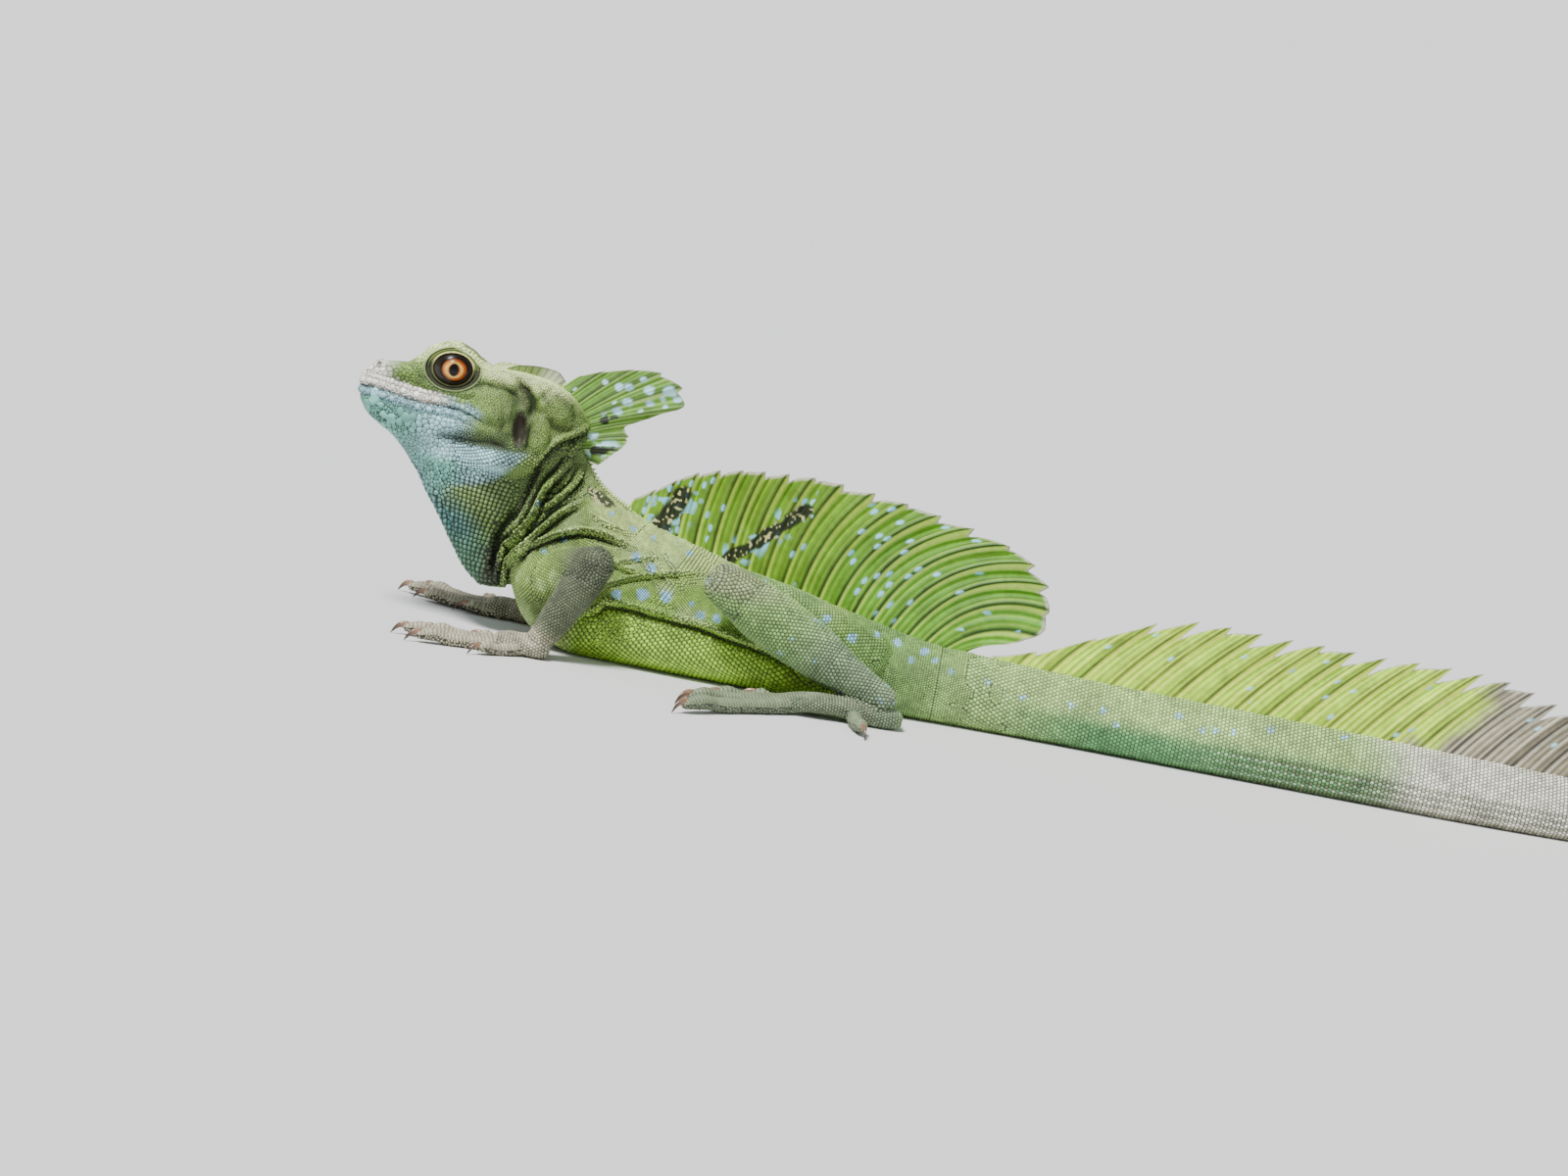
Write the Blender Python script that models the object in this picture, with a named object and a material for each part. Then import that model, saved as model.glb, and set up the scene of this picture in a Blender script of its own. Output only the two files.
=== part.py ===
"""A green basilisk, an adult male, life size, resting on its belly with its head up.

The animal faces -X, its left side is -Y and +Z is up. Sizes are in millimetres, and MM turns them
into Blender's metres. X is first counted from the vent, and the whole animal is centred at the end.
"""

import math

import bmesh
import bpy
import numpy as np
from mathutils import Matrix, Vector

MM = 0.001
GAP = 0.3

# Main body: belly point, back point and half width of each ring from the nape to the vent.
# Each row is (belly x, belly z, back x, back z, half width).
BODY_RINGS = (
    (-127.0, 52.0, -113.0, 67.0, 10.6),
    (-126.5, 40.0, -106.5, 56.0, 11.0),
    (-125.0, 28.0, -101.5, 49.2, 12.6),
    (-122.0, 17.0, -95.5, 45.6, 14.8),
    (-117.0, 8.0, -88.5, 42.3, 16.6),
    (-108.0, 2.0, -81.0, 39.7, 17.8),
    (-97.0, 0.0, -74.0, 38.0, 18.5),
    (-83.0, 0.0, -66.0, 35.9, 19.0),
    (-70.0, 0.0, -58.5, 33.7, 19.2),
    (-57.0, 0.0, -50.0, 31.7, 19.0),
    (-43.0, 0.0, -40.0, 30.0, 18.4),
    (-30.0, 0.0, -30.0, 28.0, 17.4),
    (-18.0, 0.0, -18.0, 25.6, 15.8),
    (-6.0, 0.0, -6.0, 23.2, 13.8),
    (5.0, 0.0, 5.0, 21.6, 12.0),
)
NECK_END = 3.4
BODY_STEPS_A_RING = 1.7

# Tail: length along it from the vent, height and half width.
TAIL_LENGTHS = (
    (0.0, 21.6, 12.0),
    (12.0, 20.9, 10.8),
    (30.0, 20.5, 9.8),
    (60.0, 20.1, 9.0),
    (100.0, 20.0, 8.5),
    (145.0, 19.4, 7.9),
    (185.0, 18.4, 7.3),
    (230.0, 15.4, 6.3),
    (290.0, 11.2, 5.0),
    (350.0, 8.0, 3.8),
    (410.0, 5.4, 2.7),
    (465.0, 3.2, 1.6),
    (500.0, 1.6, 0.8),
)
# Heading of the tail along its length, in degrees turned towards the right side.
TAIL_HEADINGS = ((0.0, 0.0), (120.0, 0.0), (200.0, 10.0), (290.0, 30.0), (380.0, 14.0), (500.0, -34.0))
TAIL_CUTS = (("tail_base", 0.0, 95.0), ("tail_middle", 95.0, 215.0), ("tail_rear", 215.0, 350.0),
             ("tail_tip", 350.0, 500.0))
VENT_X = 5.0

# Half profiles from belly to back: share of the height, then share of the half width.
NECK_PROFILE = ((0.0, 0.0), (0.02, 0.40), (0.10, 0.74), (0.25, 0.95), (0.45, 1.0), (0.64, 0.92),
                (0.84, 0.62), (0.96, 0.28), (1.0, 0.0))
TRUNK_PROFILE = ((0.0, 0.0), (0.0, 0.46), (0.07, 0.80), (0.22, 0.99), (0.38, 0.96), (0.56, 0.93),
                 (0.80, 0.60), (0.95, 0.20), (1.0, 0.0))
TAIL_PROFILE = ((0.0, 0.0), (0.0, 0.38), (0.08, 0.76), (0.24, 0.98), (0.42, 1.0), (0.62, 0.80),
                (0.82, 0.48), (0.95, 0.20), (1.0, 0.0))

# Lines of the head, each against x: crown, rise of the brow above it, half width, mouth and jaw edge.
CROWN = ((-176.2, 67.2), (-174.0, 70.6), (-170.0, 72.3), (-164.0, 72.6), (-157.0, 75.6), (-150.0, 77.8),
         (-141.0, 76.4), (-130.0, 77.4), (-120.0, 75.8), (-113.0, 72.0), (-107.5, 66.0))
BROW_RISE = ((-177.0, 0.0), (-163.0, 0.0), (-157.0, 2.7), (-150.5, 4.6), (-144.5, 3.1), (-139.0, 0.3),
             (-107.5, 0.0))
HEAD_HALF_WIDTH = ((-176.2, 1.8), (-174.5, 4.0), (-170.0, 6.2), (-162.0, 8.6), (-150.0, 11.4),
                   (-140.0, 13.0), (-130.0, 14.6), (-123.0, 14.6), (-116.0, 12.0), (-110.0, 8.0), (-107.5, 4.5))
MOUTH = ((-180.0, 65.6), (-170.0, 64.0), (-163.0, 62.9), (-157.0, 62.4), (-150.0, 62.6), (-144.0, 61.8),
         (-138.0, 59.6), (-130.0, 58.5), (-107.5, 60.5))
JAW_EDGE = ((-176.2, 63.0), (-174.0, 59.2), (-171.0, 56.0), (-166.0, 53.0), (-155.0, 50.6), (-140.0, 48.6), (-127.0, 46.4),
            (-120.0, 48.0), (-112.0, 55.0), (-107.5, 61.0))
JAW_HINGE = ((-138.0, 59.6), (-131.0, 55.0), (-126.0, 44.0))
HEAD_X = (-176.2, -107.5)
HEAD_RINGS = 21
HEAD_SAMPLES = 11

# Throat pouch: front point, rear point and half width of each ring, from the jaw down.
THROAT_RINGS = (
    (-170.0, 57.5, -117.0, 57.0, 9.0),
    (-162.5, 50.3, -117.0, 47.0, 9.6),
    (-154.0, 41.4, -117.0, 38.0, 8.8),
    (-147.0, 32.4, -117.5, 30.0, 7.4),
    (-141.0, 24.0, -119.0, 22.5, 6.0),
    (-135.4, 16.8, -121.0, 16.4, 4.2),
    (-131.0, 13.4, -124.5, 13.6, 1.6),
)

EYE_CENTRE = (-149.8, 7.0, 74.7)
EYE_RADII = (6.3, 4.7, 5.4)
EYE_OPENING = (5.9, 4.6)
LID_RADII = (6.9, 5.6)
LID_THICKNESS = 1.25
LID_TILT_UP = math.radians(16.0)
EAR_CENTRE = (-126.8, 15.6, 60.6)
EAR_RADII = (2.2, 2.6, 5.0)
NOSTRIL_CENTRE = (-170.6, 5.0, 70.4)
NOSTRIL_RADIUS = 0.85

# Crests: x of the first and last ray's root, then the line of the tips, and the rays' number.
SAIL_ROOTS = (-92.5, 11.0)
SAIL_TIPS = ((0.0, -91.0, 46.9), (0.2, -69.0, 59.6), (0.42, -40.5, 62.8), (0.66, 3.0, 57.8),
             (0.78, 26.0, 50.5), (0.86, 33.0, 42.0), (0.92, 33.8, 33.0), (0.96, 28.0, 27.4), (1.0, 17.0, 23.9))
SAIL_RAYS = 18
SAIL_BOW = ((0.0, 0.02), (0.4, 0.05), (0.7, 0.14), (0.9, 0.16), (1.0, 0.05))
TAIL_CREST_ROOTS = (14.0, 216.0)
TAIL_CREST_HEIGHTS = ((14.0, 0.8), (22.0, 4.0), (30.0, 10.0), (38.0, 17.0), (46.0, 22.5), (60.0, 23.0),
                      (100.0, 23.0), (132.0, 24.0), (152.0, 21.5), (170.0, 17.0), (190.0, 11.0), (216.0, 2.0))
TAIL_CREST_LEAN = 0.95
TAIL_CREST_RAYS = 18
HEAD_CREST_ROOTS = ((0.0, -116.0, 74.0), (0.35, -108.5, 66.5), (0.7, -108.0, 61.0), (1.0, -105.5, 55.4))
HEAD_CREST_TIPS = ((0.0, -113.0, 78.9), (0.14, -104.0, 82.3), (0.3, -92.0, 84.7), (0.42, -85.0, 81.8),
                   (0.5, -82.5, 76.4), (0.6, -89.0, 71.6), (0.7, -97.0, 66.4), (0.8, -95.6, 63.2),
                   (0.9, -99.0, 58.6), (1.0, -103.2, 54.2))
HEAD_CREST_RAYS = 9
FRONT_CREST_X = (-134.0, -119.0)
FRONT_CREST_HEIGHT = 2.6

# Joints of the legs for the left side, and the turn of each hand or foot away from straight ahead.
LEGS = {
    "left": {
        "arm": ((-112.0, 9.0, 18.5), (-97.0, 26.5, 30.0), (-108.5, 25.5, 6.4)),
        "leg": ((-17.0, 8.5, 14.5), (-60.5, 28.0, 31.5), (-9.5, 30.5, 7.6)),
        "hand_turn": 2.0,
        "foot_turn": 8.0,
    },
    "right": {
        "arm": ((-112.0, 9.0, 18.5), (-98.0, 27.5, 28.5), (-116.0, 27.0, 6.2)),
        "leg": ((-17.0, 8.5, 14.5), (-57.5, 29.0, 30.5), (-7.0, 32.0, 7.4)),
        "hand_turn": 10.0,
        "foot_turn": 18.0,
    },
}
# Half thickness along each length of a leg: share of the length, seen from the side, seen from above.
UPPER_ARM = ((0.0, 9.0, 8.0), (0.35, 8.6, 7.6), (0.75, 6.4, 5.8), (1.0, 5.2, 5.0))
FOREARM = ((0.0, 5.2, 5.0), (0.3, 5.6, 5.4), (0.7, 4.8, 4.6), (1.0, 3.9, 4.3))
THIGH = ((0.0, 9.0, 8.5), (0.4, 9.4, 8.4), (0.8, 7.4, 6.6), (1.0, 6.0, 5.8))
SHANK = ((0.0, 6.0, 5.6), (0.3, 8.3, 6.4), (0.55, 7.6, 6.0), (0.8, 5.2, 4.8), (1.0, 4.1, 4.3))

# Digits in the plane of the hand or foot: root forward and outward, bearing in degrees, length, half width.
FINGERS = (
    (7.0, -3.6, -16.0, 11.0, 1.9),
    (10.5, -1.9, -4.0, 21.0, 2.0),
    (11.5, 0.4, 4.0, 27.0, 2.1),
    (10.5, 2.8, 16.0, 25.0, 2.1),
    (7.0, 4.4, 38.0, 13.0, 1.9),
)
TOES = (
    (23.0, -4.2, -12.0, 13.0, 2.0),
    (26.0, -2.4, 14.0, 23.0, 2.3),
    (27.0, -0.2, 24.0, 33.0, 2.4),
    (25.5, 2.6, 34.0, 42.0, 2.4),
    (8.0, 4.2, 88.0, 15.0, 2.1),
)
CLAW_LENGTHS = {"hand": 4.6, "foot": 5.4}
PALM = {"hand": (12.0, 5.4, 3.4), "foot": (27.0, 5.0, 3.3)}
DIGIT_SIDES = 6
DIGIT_CURL = 0.06
DIGIT_ROOT_SHARE = 0.18
FLAT = 0.35
# Along the palm: share of its length, of its height and of its width.
PALM_STATIONS = ((-0.22, 0.55, 0.7), (-0.12, 0.85, 0.92), (0.1, 1.0, 1.0), (0.45, 0.86, 1.0),
                 (0.8, 0.8, 1.15), (1.0, 0.66, 1.1), (1.12, 0.4, 0.7))
# Along a digit and its claw: share of the length, then thickness and height of the middle in half widths.
DIGIT_STATIONS = ((0.0, 1.05, 1.25), (0.35, 0.92, 0.98), (0.66, 0.84, 1.05), (0.86, 0.84, 1.45),
                  (1.0, 0.66, 1.25))
CLAW_STATIONS = ((0.12, 0.46, 1.15), (0.6, 0.30, 0.85), (1.0, 0.10, 0.12))

COLOURS = {
    "leaf_green_skin": ((0.30, 0.46, 0.13), 0.55),
    "pale_green_skin": ((0.38, 0.50, 0.27), 0.55),
    "blue_throat_skin": ((0.25, 0.45, 0.47), 0.50),
    "grey_green_skin": ((0.24, 0.31, 0.22), 0.60),
    "crest_skin": ((0.36, 0.50, 0.08), 0.50),
    "eye": ((0.75, 0.30, 0.05), 0.12),
}


def curve_through(knots, at):
    """Values at the given places of a smooth curve through the knots that never overshoots them."""
    knots = np.array(knots, float)
    at = np.clip(np.atleast_1d(at).astype(float), knots[0, 0], knots[-1, 0])
    place, value = knots[:, 0], knots[:, 1:]
    step = np.diff(place)[:, None]
    slope = np.diff(value, axis=0) / step
    tangent = np.vstack([slope[:1], np.zeros_like(slope[1:]), slope[-1:]])
    before, after = slope[:-1], slope[1:]
    near, far = 2 * step[1:] + step[:-1], step[1:] + 2 * step[:-1]
    rising = before * after > 0
    safe_before = np.where(rising, before, 1.0)
    safe_after = np.where(rising, after, 1.0)
    mean = (near + far) / (near / safe_before + far / safe_after)
    tangent[1:-1] = np.where(rising, mean, 0.0)
    i = np.clip(np.searchsorted(place, at, side="right") - 1, 0, len(place) - 2)
    u = ((at - place[i]) / step[i, 0])[:, None]
    h = step[i]
    return (
        value[i] * (1 + 2 * u) * (1 - u) ** 2
        + tangent[i] * h * u * (1 - u) ** 2
        + value[i + 1] * u * u * (3 - 2 * u)
        + tangent[i + 1] * h * u * u * (u - 1)
    )


def line_at(knots, x):
    """One number read from a line of (x, value) knots."""
    return float(curve_through(knots, x)[0, 0])


def smoothstep(x):
    """0 below 0 and 1 above 1, with a soft rise between."""
    x = min(1.0, max(0.0, x))
    return x * x * (3 - 2 * x)


def spaced_profile(profile, samples):
    """A half profile at equal steps of its own length."""
    fine = curve_through([(i, *p) for i, p in enumerate(profile)], np.linspace(0, len(profile) - 1, 200))
    run = np.concatenate([[0], np.cumsum(np.linalg.norm(np.diff(fine, axis=0), axis=1))])
    at = np.linspace(0, run[-1], samples)
    return np.column_stack([np.interp(at, run, fine[:, k]) for k in range(2)])


def new_object(name, bm, collection):
    """A named object made from a bmesh, whose faces are turned outwards first."""
    bmesh.ops.recalc_face_normals(bm, faces=bm.faces)
    mesh = bpy.data.meshes.new(name)
    bm.to_mesh(mesh)
    bm.free()
    obj = bpy.data.objects.new(name, mesh)
    collection.objects.link(obj)
    return obj


def loft(name, rings, collection):
    """A closed skin over rings of points, each ring joined to the next and both ends filled."""
    bm = bmesh.new()
    loops = [[bm.verts.new(Vector(p) * MM) for p in ring] for ring in rings]
    count = len(loops[0])
    for first, second in zip(loops, loops[1:]):
        for i in range(count):
            j = (i + 1) % count
            bm.faces.new((first[i], first[j], second[j], second[i]))
    for ring in (loops[0], loops[-1]):
        middle = bm.verts.new(sum((v.co for v in ring), Vector()) / count)
        for i in range(count):
            bm.faces.new((ring[i], ring[(i + 1) % count], middle))
    bmesh.ops.triangulate(bm, faces=bm.faces)
    return new_object(name, bm, collection)


def whole_ring(half):
    """Both sides of a half ring of points whose first and last lie on the middle plane."""
    other = [(x, -y, z) for x, y, z in half[-2:0:-1]]
    return [*half, *other]


def tube(name, points, radii, collection, sides=12):
    """A tube along the points; each radius is (across the side view, across the plan)."""
    points = [Vector(p) for p in points]
    rings = []
    for i, point in enumerate(points):
        ahead = (points[min(i + 1, len(points) - 1)] - points[max(i - 1, 0)]).normalized()
        flat = ahead.cross(Vector((0, 0, 1))).normalized()
        upright = flat.cross(ahead)
        tall, wide = radii[i]
        ring = []
        for k in range(sides):
            angle = math.tau * k / sides
            ring.append(point + flat * (wide * math.cos(angle)) + upright * (tall * math.sin(angle)))
        rings.append(ring)
    return loft(name, rings, collection)


def ellipsoid(name, centre, radii, collection, segments=24, rings=14, turn=None):
    """A sphere with three radii."""
    bm = bmesh.new()
    bmesh.ops.create_uvsphere(bm, u_segments=segments, v_segments=rings, radius=1.0)
    shape = Matrix.Diagonal((*(r * MM for r in radii), 1.0))
    place = Matrix.Translation(Vector(centre) * MM) @ (turn or Matrix.Identity(4))
    bmesh.ops.transform(bm, matrix=place @ shape, verts=bm.verts)
    return new_object(name, bm, collection)


def apply_modifiers(obj):
    """The object's evaluated shape becomes its own mesh."""
    graph = bpy.context.evaluated_depsgraph_get()
    mesh = bpy.data.meshes.new_from_object(obj.evaluated_get(graph))
    obj.modifiers.clear()
    obj.data = mesh


def combine(obj, operation, others, solver="EXACT", remove=True):
    """Joins, cuts or keeps the shared space of an object and others, then keeps the largest closed surface."""
    group = bpy.data.collections.new("operands")
    bpy.context.scene.collection.children.link(group)
    for other in others:
        for home in list(other.users_collection):
            home.objects.unlink(other)
        group.objects.link(other)
    modifier = obj.modifiers.new(operation.lower(), "BOOLEAN")
    modifier.operation = operation
    modifier.operand_type = "COLLECTION"
    modifier.collection = group
    modifier.solver = solver
    bpy.context.view_layer.update()
    apply_modifiers(obj)
    if remove:
        for other in others:
            bpy.data.objects.remove(other)
    bpy.data.collections.remove(group)
    keep_largest(obj)


def keep_largest(obj):
    """Drops every loose piece of a mesh but the one with the largest volume."""
    bm = bmesh.new()
    bm.from_mesh(obj.data)
    bmesh.ops.triangulate(bm, faces=bm.faces)
    left = set(bm.faces)
    pieces = []
    while left:
        stack = [left.pop()]
        piece = list(stack)
        while stack:
            for edge in stack.pop().edges:
                for face in edge.link_faces:
                    if face in left:
                        left.remove(face)
                        stack.append(face)
                        piece.append(face)
        volume = sum(f.verts[0].co.dot(f.verts[1].co.cross(f.verts[2].co)) for f in piece)
        pieces.append((volume, piece))
    pieces.sort(key=lambda entry: -entry[0])
    scraps = [face for _, piece in pieces[1:] for face in piece]
    bmesh.ops.delete(bm, geom=scraps, context="FACES")
    bm.to_mesh(obj.data)
    bm.free()


def grown_copy(obj, by=GAP):
    """A copy of a node with its surface moved out by the gap that touching nodes keep."""
    copy = bpy.data.objects.new(obj.name + "_grown", obj.data.copy())
    bpy.context.scene.collection.objects.link(copy)
    grow = copy.modifiers.new("grow", "DISPLACE")
    grow.strength = by * MM
    grow.mid_level = 0.0
    bpy.context.view_layer.update()
    apply_modifiers(copy)
    return copy


def cut_clear(obj, *nodes):
    """Cuts a node back from others, so that they meet face to face across the gap."""
    for node in nodes:
        combine(obj, "DIFFERENCE", [grown_copy(node)])


def cut_by_plane(obj, point, normal, keep_gap=True):
    """Keeps the part of a node behind a plane, less half the gap, and closes the cut."""
    normal = Vector(normal).normalized()
    place = Vector(point) * MM - normal * (GAP / 2 * MM if keep_gap else 0.0)
    bm = bmesh.new()
    bm.from_mesh(obj.data)
    geometry = [*bm.verts, *bm.edges, *bm.faces]
    bmesh.ops.bisect_plane(bm, geom=geometry, dist=1e-7, plane_co=place, plane_no=normal, clear_outer=True)
    rim = [edge for edge in bm.edges if edge.is_boundary]
    bmesh.ops.holes_fill(bm, edges=rim, sides=0)
    bmesh.ops.triangulate(bm, faces=bm.faces)
    bm.to_mesh(obj.data)
    bm.free()
    keep_largest(obj)


def body_ring(bottom, top, half_width, profile, side=(0.0, 1.0)):
    """One ring of the trunk or tail between its belly and back points."""
    half = []
    for share, width in profile:
        x = bottom[0] + (top[0] - bottom[0]) * share
        y = bottom[1] + (top[1] - bottom[1]) * share
        z = bottom[2] + (top[2] - bottom[2]) * share
        out = half_width * width
        half.append((x, y, z, out))
    near = [(x + side[0] * o, y + side[1] * o, z) for x, y, z, o in half]
    far = [(x - side[0] * o, y - side[1] * o, z) for x, y, z, o in half[-2:0:-1]]
    return [*near, *far]


def trunk_rings(start, end, samples=12):
    """Rings of the neck and trunk between two places counted in rows of BODY_RINGS."""
    neck = spaced_profile(NECK_PROFILE, samples)
    trunk = spaced_profile(TRUNK_PROFILE, samples)
    count = max(3, round((end - start) * BODY_STEPS_A_RING) + 1)
    knots = [(i, *row) for i, row in enumerate(BODY_RINGS)]
    rings = []
    for place in np.linspace(start, end, count):
        belly_x, belly_z, back_x, back_z, half_width = curve_through(knots, place)[0]
        blend = smoothstep((place - 2.0) / 4.0)
        profile = neck * (1 - blend) + trunk * blend
        rings.append(body_ring((belly_x, 0.0, belly_z), (back_x, 0.0, back_z), half_width, profile))
    return rings


def tail_line(lengths):
    """Points and headings of the tail's middle line in plan at the given lengths from the vent."""
    fine = np.linspace(0.0, TAIL_LENGTHS[-1][0], 1001)
    heading = np.radians(curve_through(TAIL_HEADINGS, fine)[:, 0])
    step = fine[1] - fine[0]
    x = VENT_X + np.concatenate([[0], np.cumsum(np.cos(heading)[:-1] * step)])
    y = np.concatenate([[0], np.cumsum(np.sin(heading)[:-1] * step)])
    return np.column_stack([np.interp(lengths, fine, v) for v in (x, y, heading)])


def tail_rings(start, end, spacing, samples):
    """Rings of the tail between two lengths from the vent."""
    trunk = spaced_profile(TRUNK_PROFILE, samples)
    tail = spaced_profile(TAIL_PROFILE, samples)
    lengths = np.linspace(start, end, max(3, round((end - start) / spacing) + 1))
    rings = []
    for length, (x, y, heading) in zip(lengths, tail_line(lengths)):
        height, half_width = curve_through(TAIL_LENGTHS, length)[0]
        blend = min(1.0, length / 40.0)
        profile = trunk * (1 - blend) + tail * blend
        side = (-math.sin(heading), math.cos(heading))
        rings.append(body_ring((x, y, 0.0), (x, y, height), half_width, profile, side))
    return rings


def build_trunk(nodes):
    """Neck, torso and four lengths of tail, which meet at flat faces across the gap."""
    shave = GAP / 2 / 12.0
    last = len(BODY_RINGS) - 1
    loft("neck", trunk_rings(0.0, NECK_END - shave), nodes)
    loft("torso", trunk_rings(NECK_END + shave, last), nodes)
    for name, start, end in TAIL_CUTS:
        spacing = 8.0 if start < 200 else 13.0
        samples = 9 if start < 200 else 7
        first = start + GAP if start == 0 else start + GAP / 2
        final = end - GAP / 2 if end < TAIL_LENGTHS[-1][0] else end
        loft(name, tail_rings(first, final, spacing, samples), nodes)


def head_half_ring(x):
    """Half of the head's outline at one x, from under the chin to the crown."""
    crown = line_at(CROWN, x)
    brow = line_at(BROW_RISE, x)
    wide = line_at(HEAD_HALF_WIDTH, x)
    mouth = line_at(MOUTH, x)
    jaw = line_at(JAW_EDGE, x)
    tall, deep = crown - mouth, mouth - jaw
    profile = (
        (jaw, 0.0),
        (jaw + 0.04 * deep, 0.42 * wide),
        (jaw + 0.22 * deep, 0.80 * wide),
        (mouth - 0.40 * deep, 0.97 * wide),
        (mouth, wide),
        (mouth + 0.22 * tall, 0.98 * wide),
        (mouth + 0.55 * tall, 0.90 * wide),
        (crown + 0.68 * brow - 0.10 * tall, 0.81 * wide),
        (crown + brow, 0.60 * wide),
        (crown + 0.3 * brow, 0.28 * wide),
        (crown, 0.0),
    )
    return [(x, y, z) for z, y in spaced_profile(profile, HEAD_SAMPLES)]


def below_mouth(shift):
    """The outline, in side view, of the space under the mouth's line, with that line moved out by shift."""
    line = [(x, line_at(MOUTH, x)) for x in np.linspace(MOUTH[0][0], JAW_HINGE[0][0], 12)]
    line = np.array([*line, *JAW_HINGE[1:], (JAW_HINGE[-1][0], 30.0)])
    run = np.gradient(line, axis=0)
    out = np.column_stack([-run[:, 1], run[:, 0]]) / np.linalg.norm(run, axis=1)[:, None]
    return [tuple(p) for p in line + out * shift] + [(MOUTH[0][0], 30.0)]


def slab(name, outline, half_width, collection):
    """A flat outline in side view, carried across the animal."""
    bm = bmesh.new()
    near = [bm.verts.new(Vector((x, -half_width, z)) * MM) for x, z in outline]
    face = bm.faces.new(near)
    moved = bmesh.ops.extrude_face_region(bm, geom=[face])["geom"]
    verts = [v for v in moved if isinstance(v, bmesh.types.BMVert)]
    bmesh.ops.translate(bm, verts=verts, vec=Vector((0, 2 * half_width * MM, 0)))
    bmesh.ops.triangulate(bm, faces=bm.faces)
    return new_object(name, bm, collection)


def eyelid(side, collection):
    """The raised ring of skin round one eye."""
    bpy.ops.mesh.primitive_torus_add(major_segments=22, minor_segments=6, major_radius=1.0, minor_radius=0.2)
    ring = bpy.context.active_object
    for home in list(ring.users_collection):
        home.objects.unlink(ring)
    collection.objects.link(ring)
    ring.name = f"eyelid_{side}"
    sign = -1 if side == "left" else 1
    tall = LID_THICKNESS / 0.2
    size = Matrix.Diagonal((LID_RADII[0] * MM, LID_RADII[1] * MM, tall * MM, 1.0))
    lean = Matrix.Rotation(math.pi / 2 + sign * LID_TILT_UP, 4, "X")
    x, y, z = EYE_CENTRE
    place = Matrix.Translation(Vector((x, sign * (y + 2.7), z)) * MM)
    ring.data.transform(place @ lean @ size)
    return ring


def build_head(nodes):
    """Upper head with its lids, ears and nostrils, the lower jaw, and both eyes."""
    places = np.linspace(0.0, 1.0, HEAD_RINGS)
    places = HEAD_X[0] + (HEAD_X[1] - HEAD_X[0]) * (places - 0.10 * np.sin(math.tau * places) / math.tau * 2)
    head = loft("head", [whole_ring(head_half_ring(x)) for x in places], nodes)
    combine(head, "UNION", [eyelid(side, nodes) for side in ("left", "right")])
    cutters = []
    for side, sign in (("left", -1), ("right", 1)):
        centre = (EYE_CENTRE[0], sign * EYE_CENTRE[1], EYE_CENTRE[2])
        socket_radii = [r + GAP for r in EYE_RADII]
        cutters.append(ellipsoid(f"socket_{side}", centre, socket_radii, nodes, 18, 10))
        opening = (EYE_CENTRE[0], sign * (EYE_CENTRE[1] + 6.0), EYE_CENTRE[2] + 0.6)
        cutters.append(ellipsoid(f"opening_{side}", opening, (EYE_OPENING[0], 6.5, EYE_OPENING[1]), nodes, 16, 8))
        ear = (EAR_CENTRE[0], sign * EAR_CENTRE[1], EAR_CENTRE[2])
        cutters.append(ellipsoid(f"ear_{side}", ear, EAR_RADII, nodes, 14, 8))
        nostril = (NOSTRIL_CENTRE[0], sign * NOSTRIL_CENTRE[1], NOSTRIL_CENTRE[2])
        cutters.append(ellipsoid(f"nostril_{side}", nostril, (NOSTRIL_RADIUS,) * 3, nodes, 8, 6))
    combine(head, "DIFFERENCE", cutters)
    jaw = bpy.data.objects.new("lower_jaw", head.data.copy())
    nodes.objects.link(jaw)
    combine(head, "DIFFERENCE", [slab("under_mouth", below_mouth(GAP / 2), 40.0, nodes)])
    combine(jaw, "INTERSECT", [slab("under_mouth", below_mouth(-GAP / 2), 40.0, nodes)])
    for side, sign in (("left", -1), ("right", 1)):
        centre = (EYE_CENTRE[0], sign * EYE_CENTRE[1], EYE_CENTRE[2])
        ellipsoid(f"eye_{side}", centre, EYE_RADII, nodes, 16, 10)


def build_throat(nodes):
    """The pouch of skin under the jaw, thin at its front edge."""
    knots = [(i, *row) for i, row in enumerate(THROAT_RINGS)]
    rings = []
    sides = 22
    for place in np.linspace(0.0, len(THROAT_RINGS) - 1, 13):
        front_x, front_z, rear_x, rear_z, half_width = curve_through(knots, place)[0]
        ring = []
        for k in range(sides):
            angle = math.tau * k / sides
            share = (1 - math.cos(angle)) / 2
            out = half_width * math.sin(angle) * (0.72 + 0.4 * share)
            ring.append((front_x + (rear_x - front_x) * share, out, front_z + (rear_z - front_z) * share))
        rings.append(ring)
    return loft("throat", rings, nodes)


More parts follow.
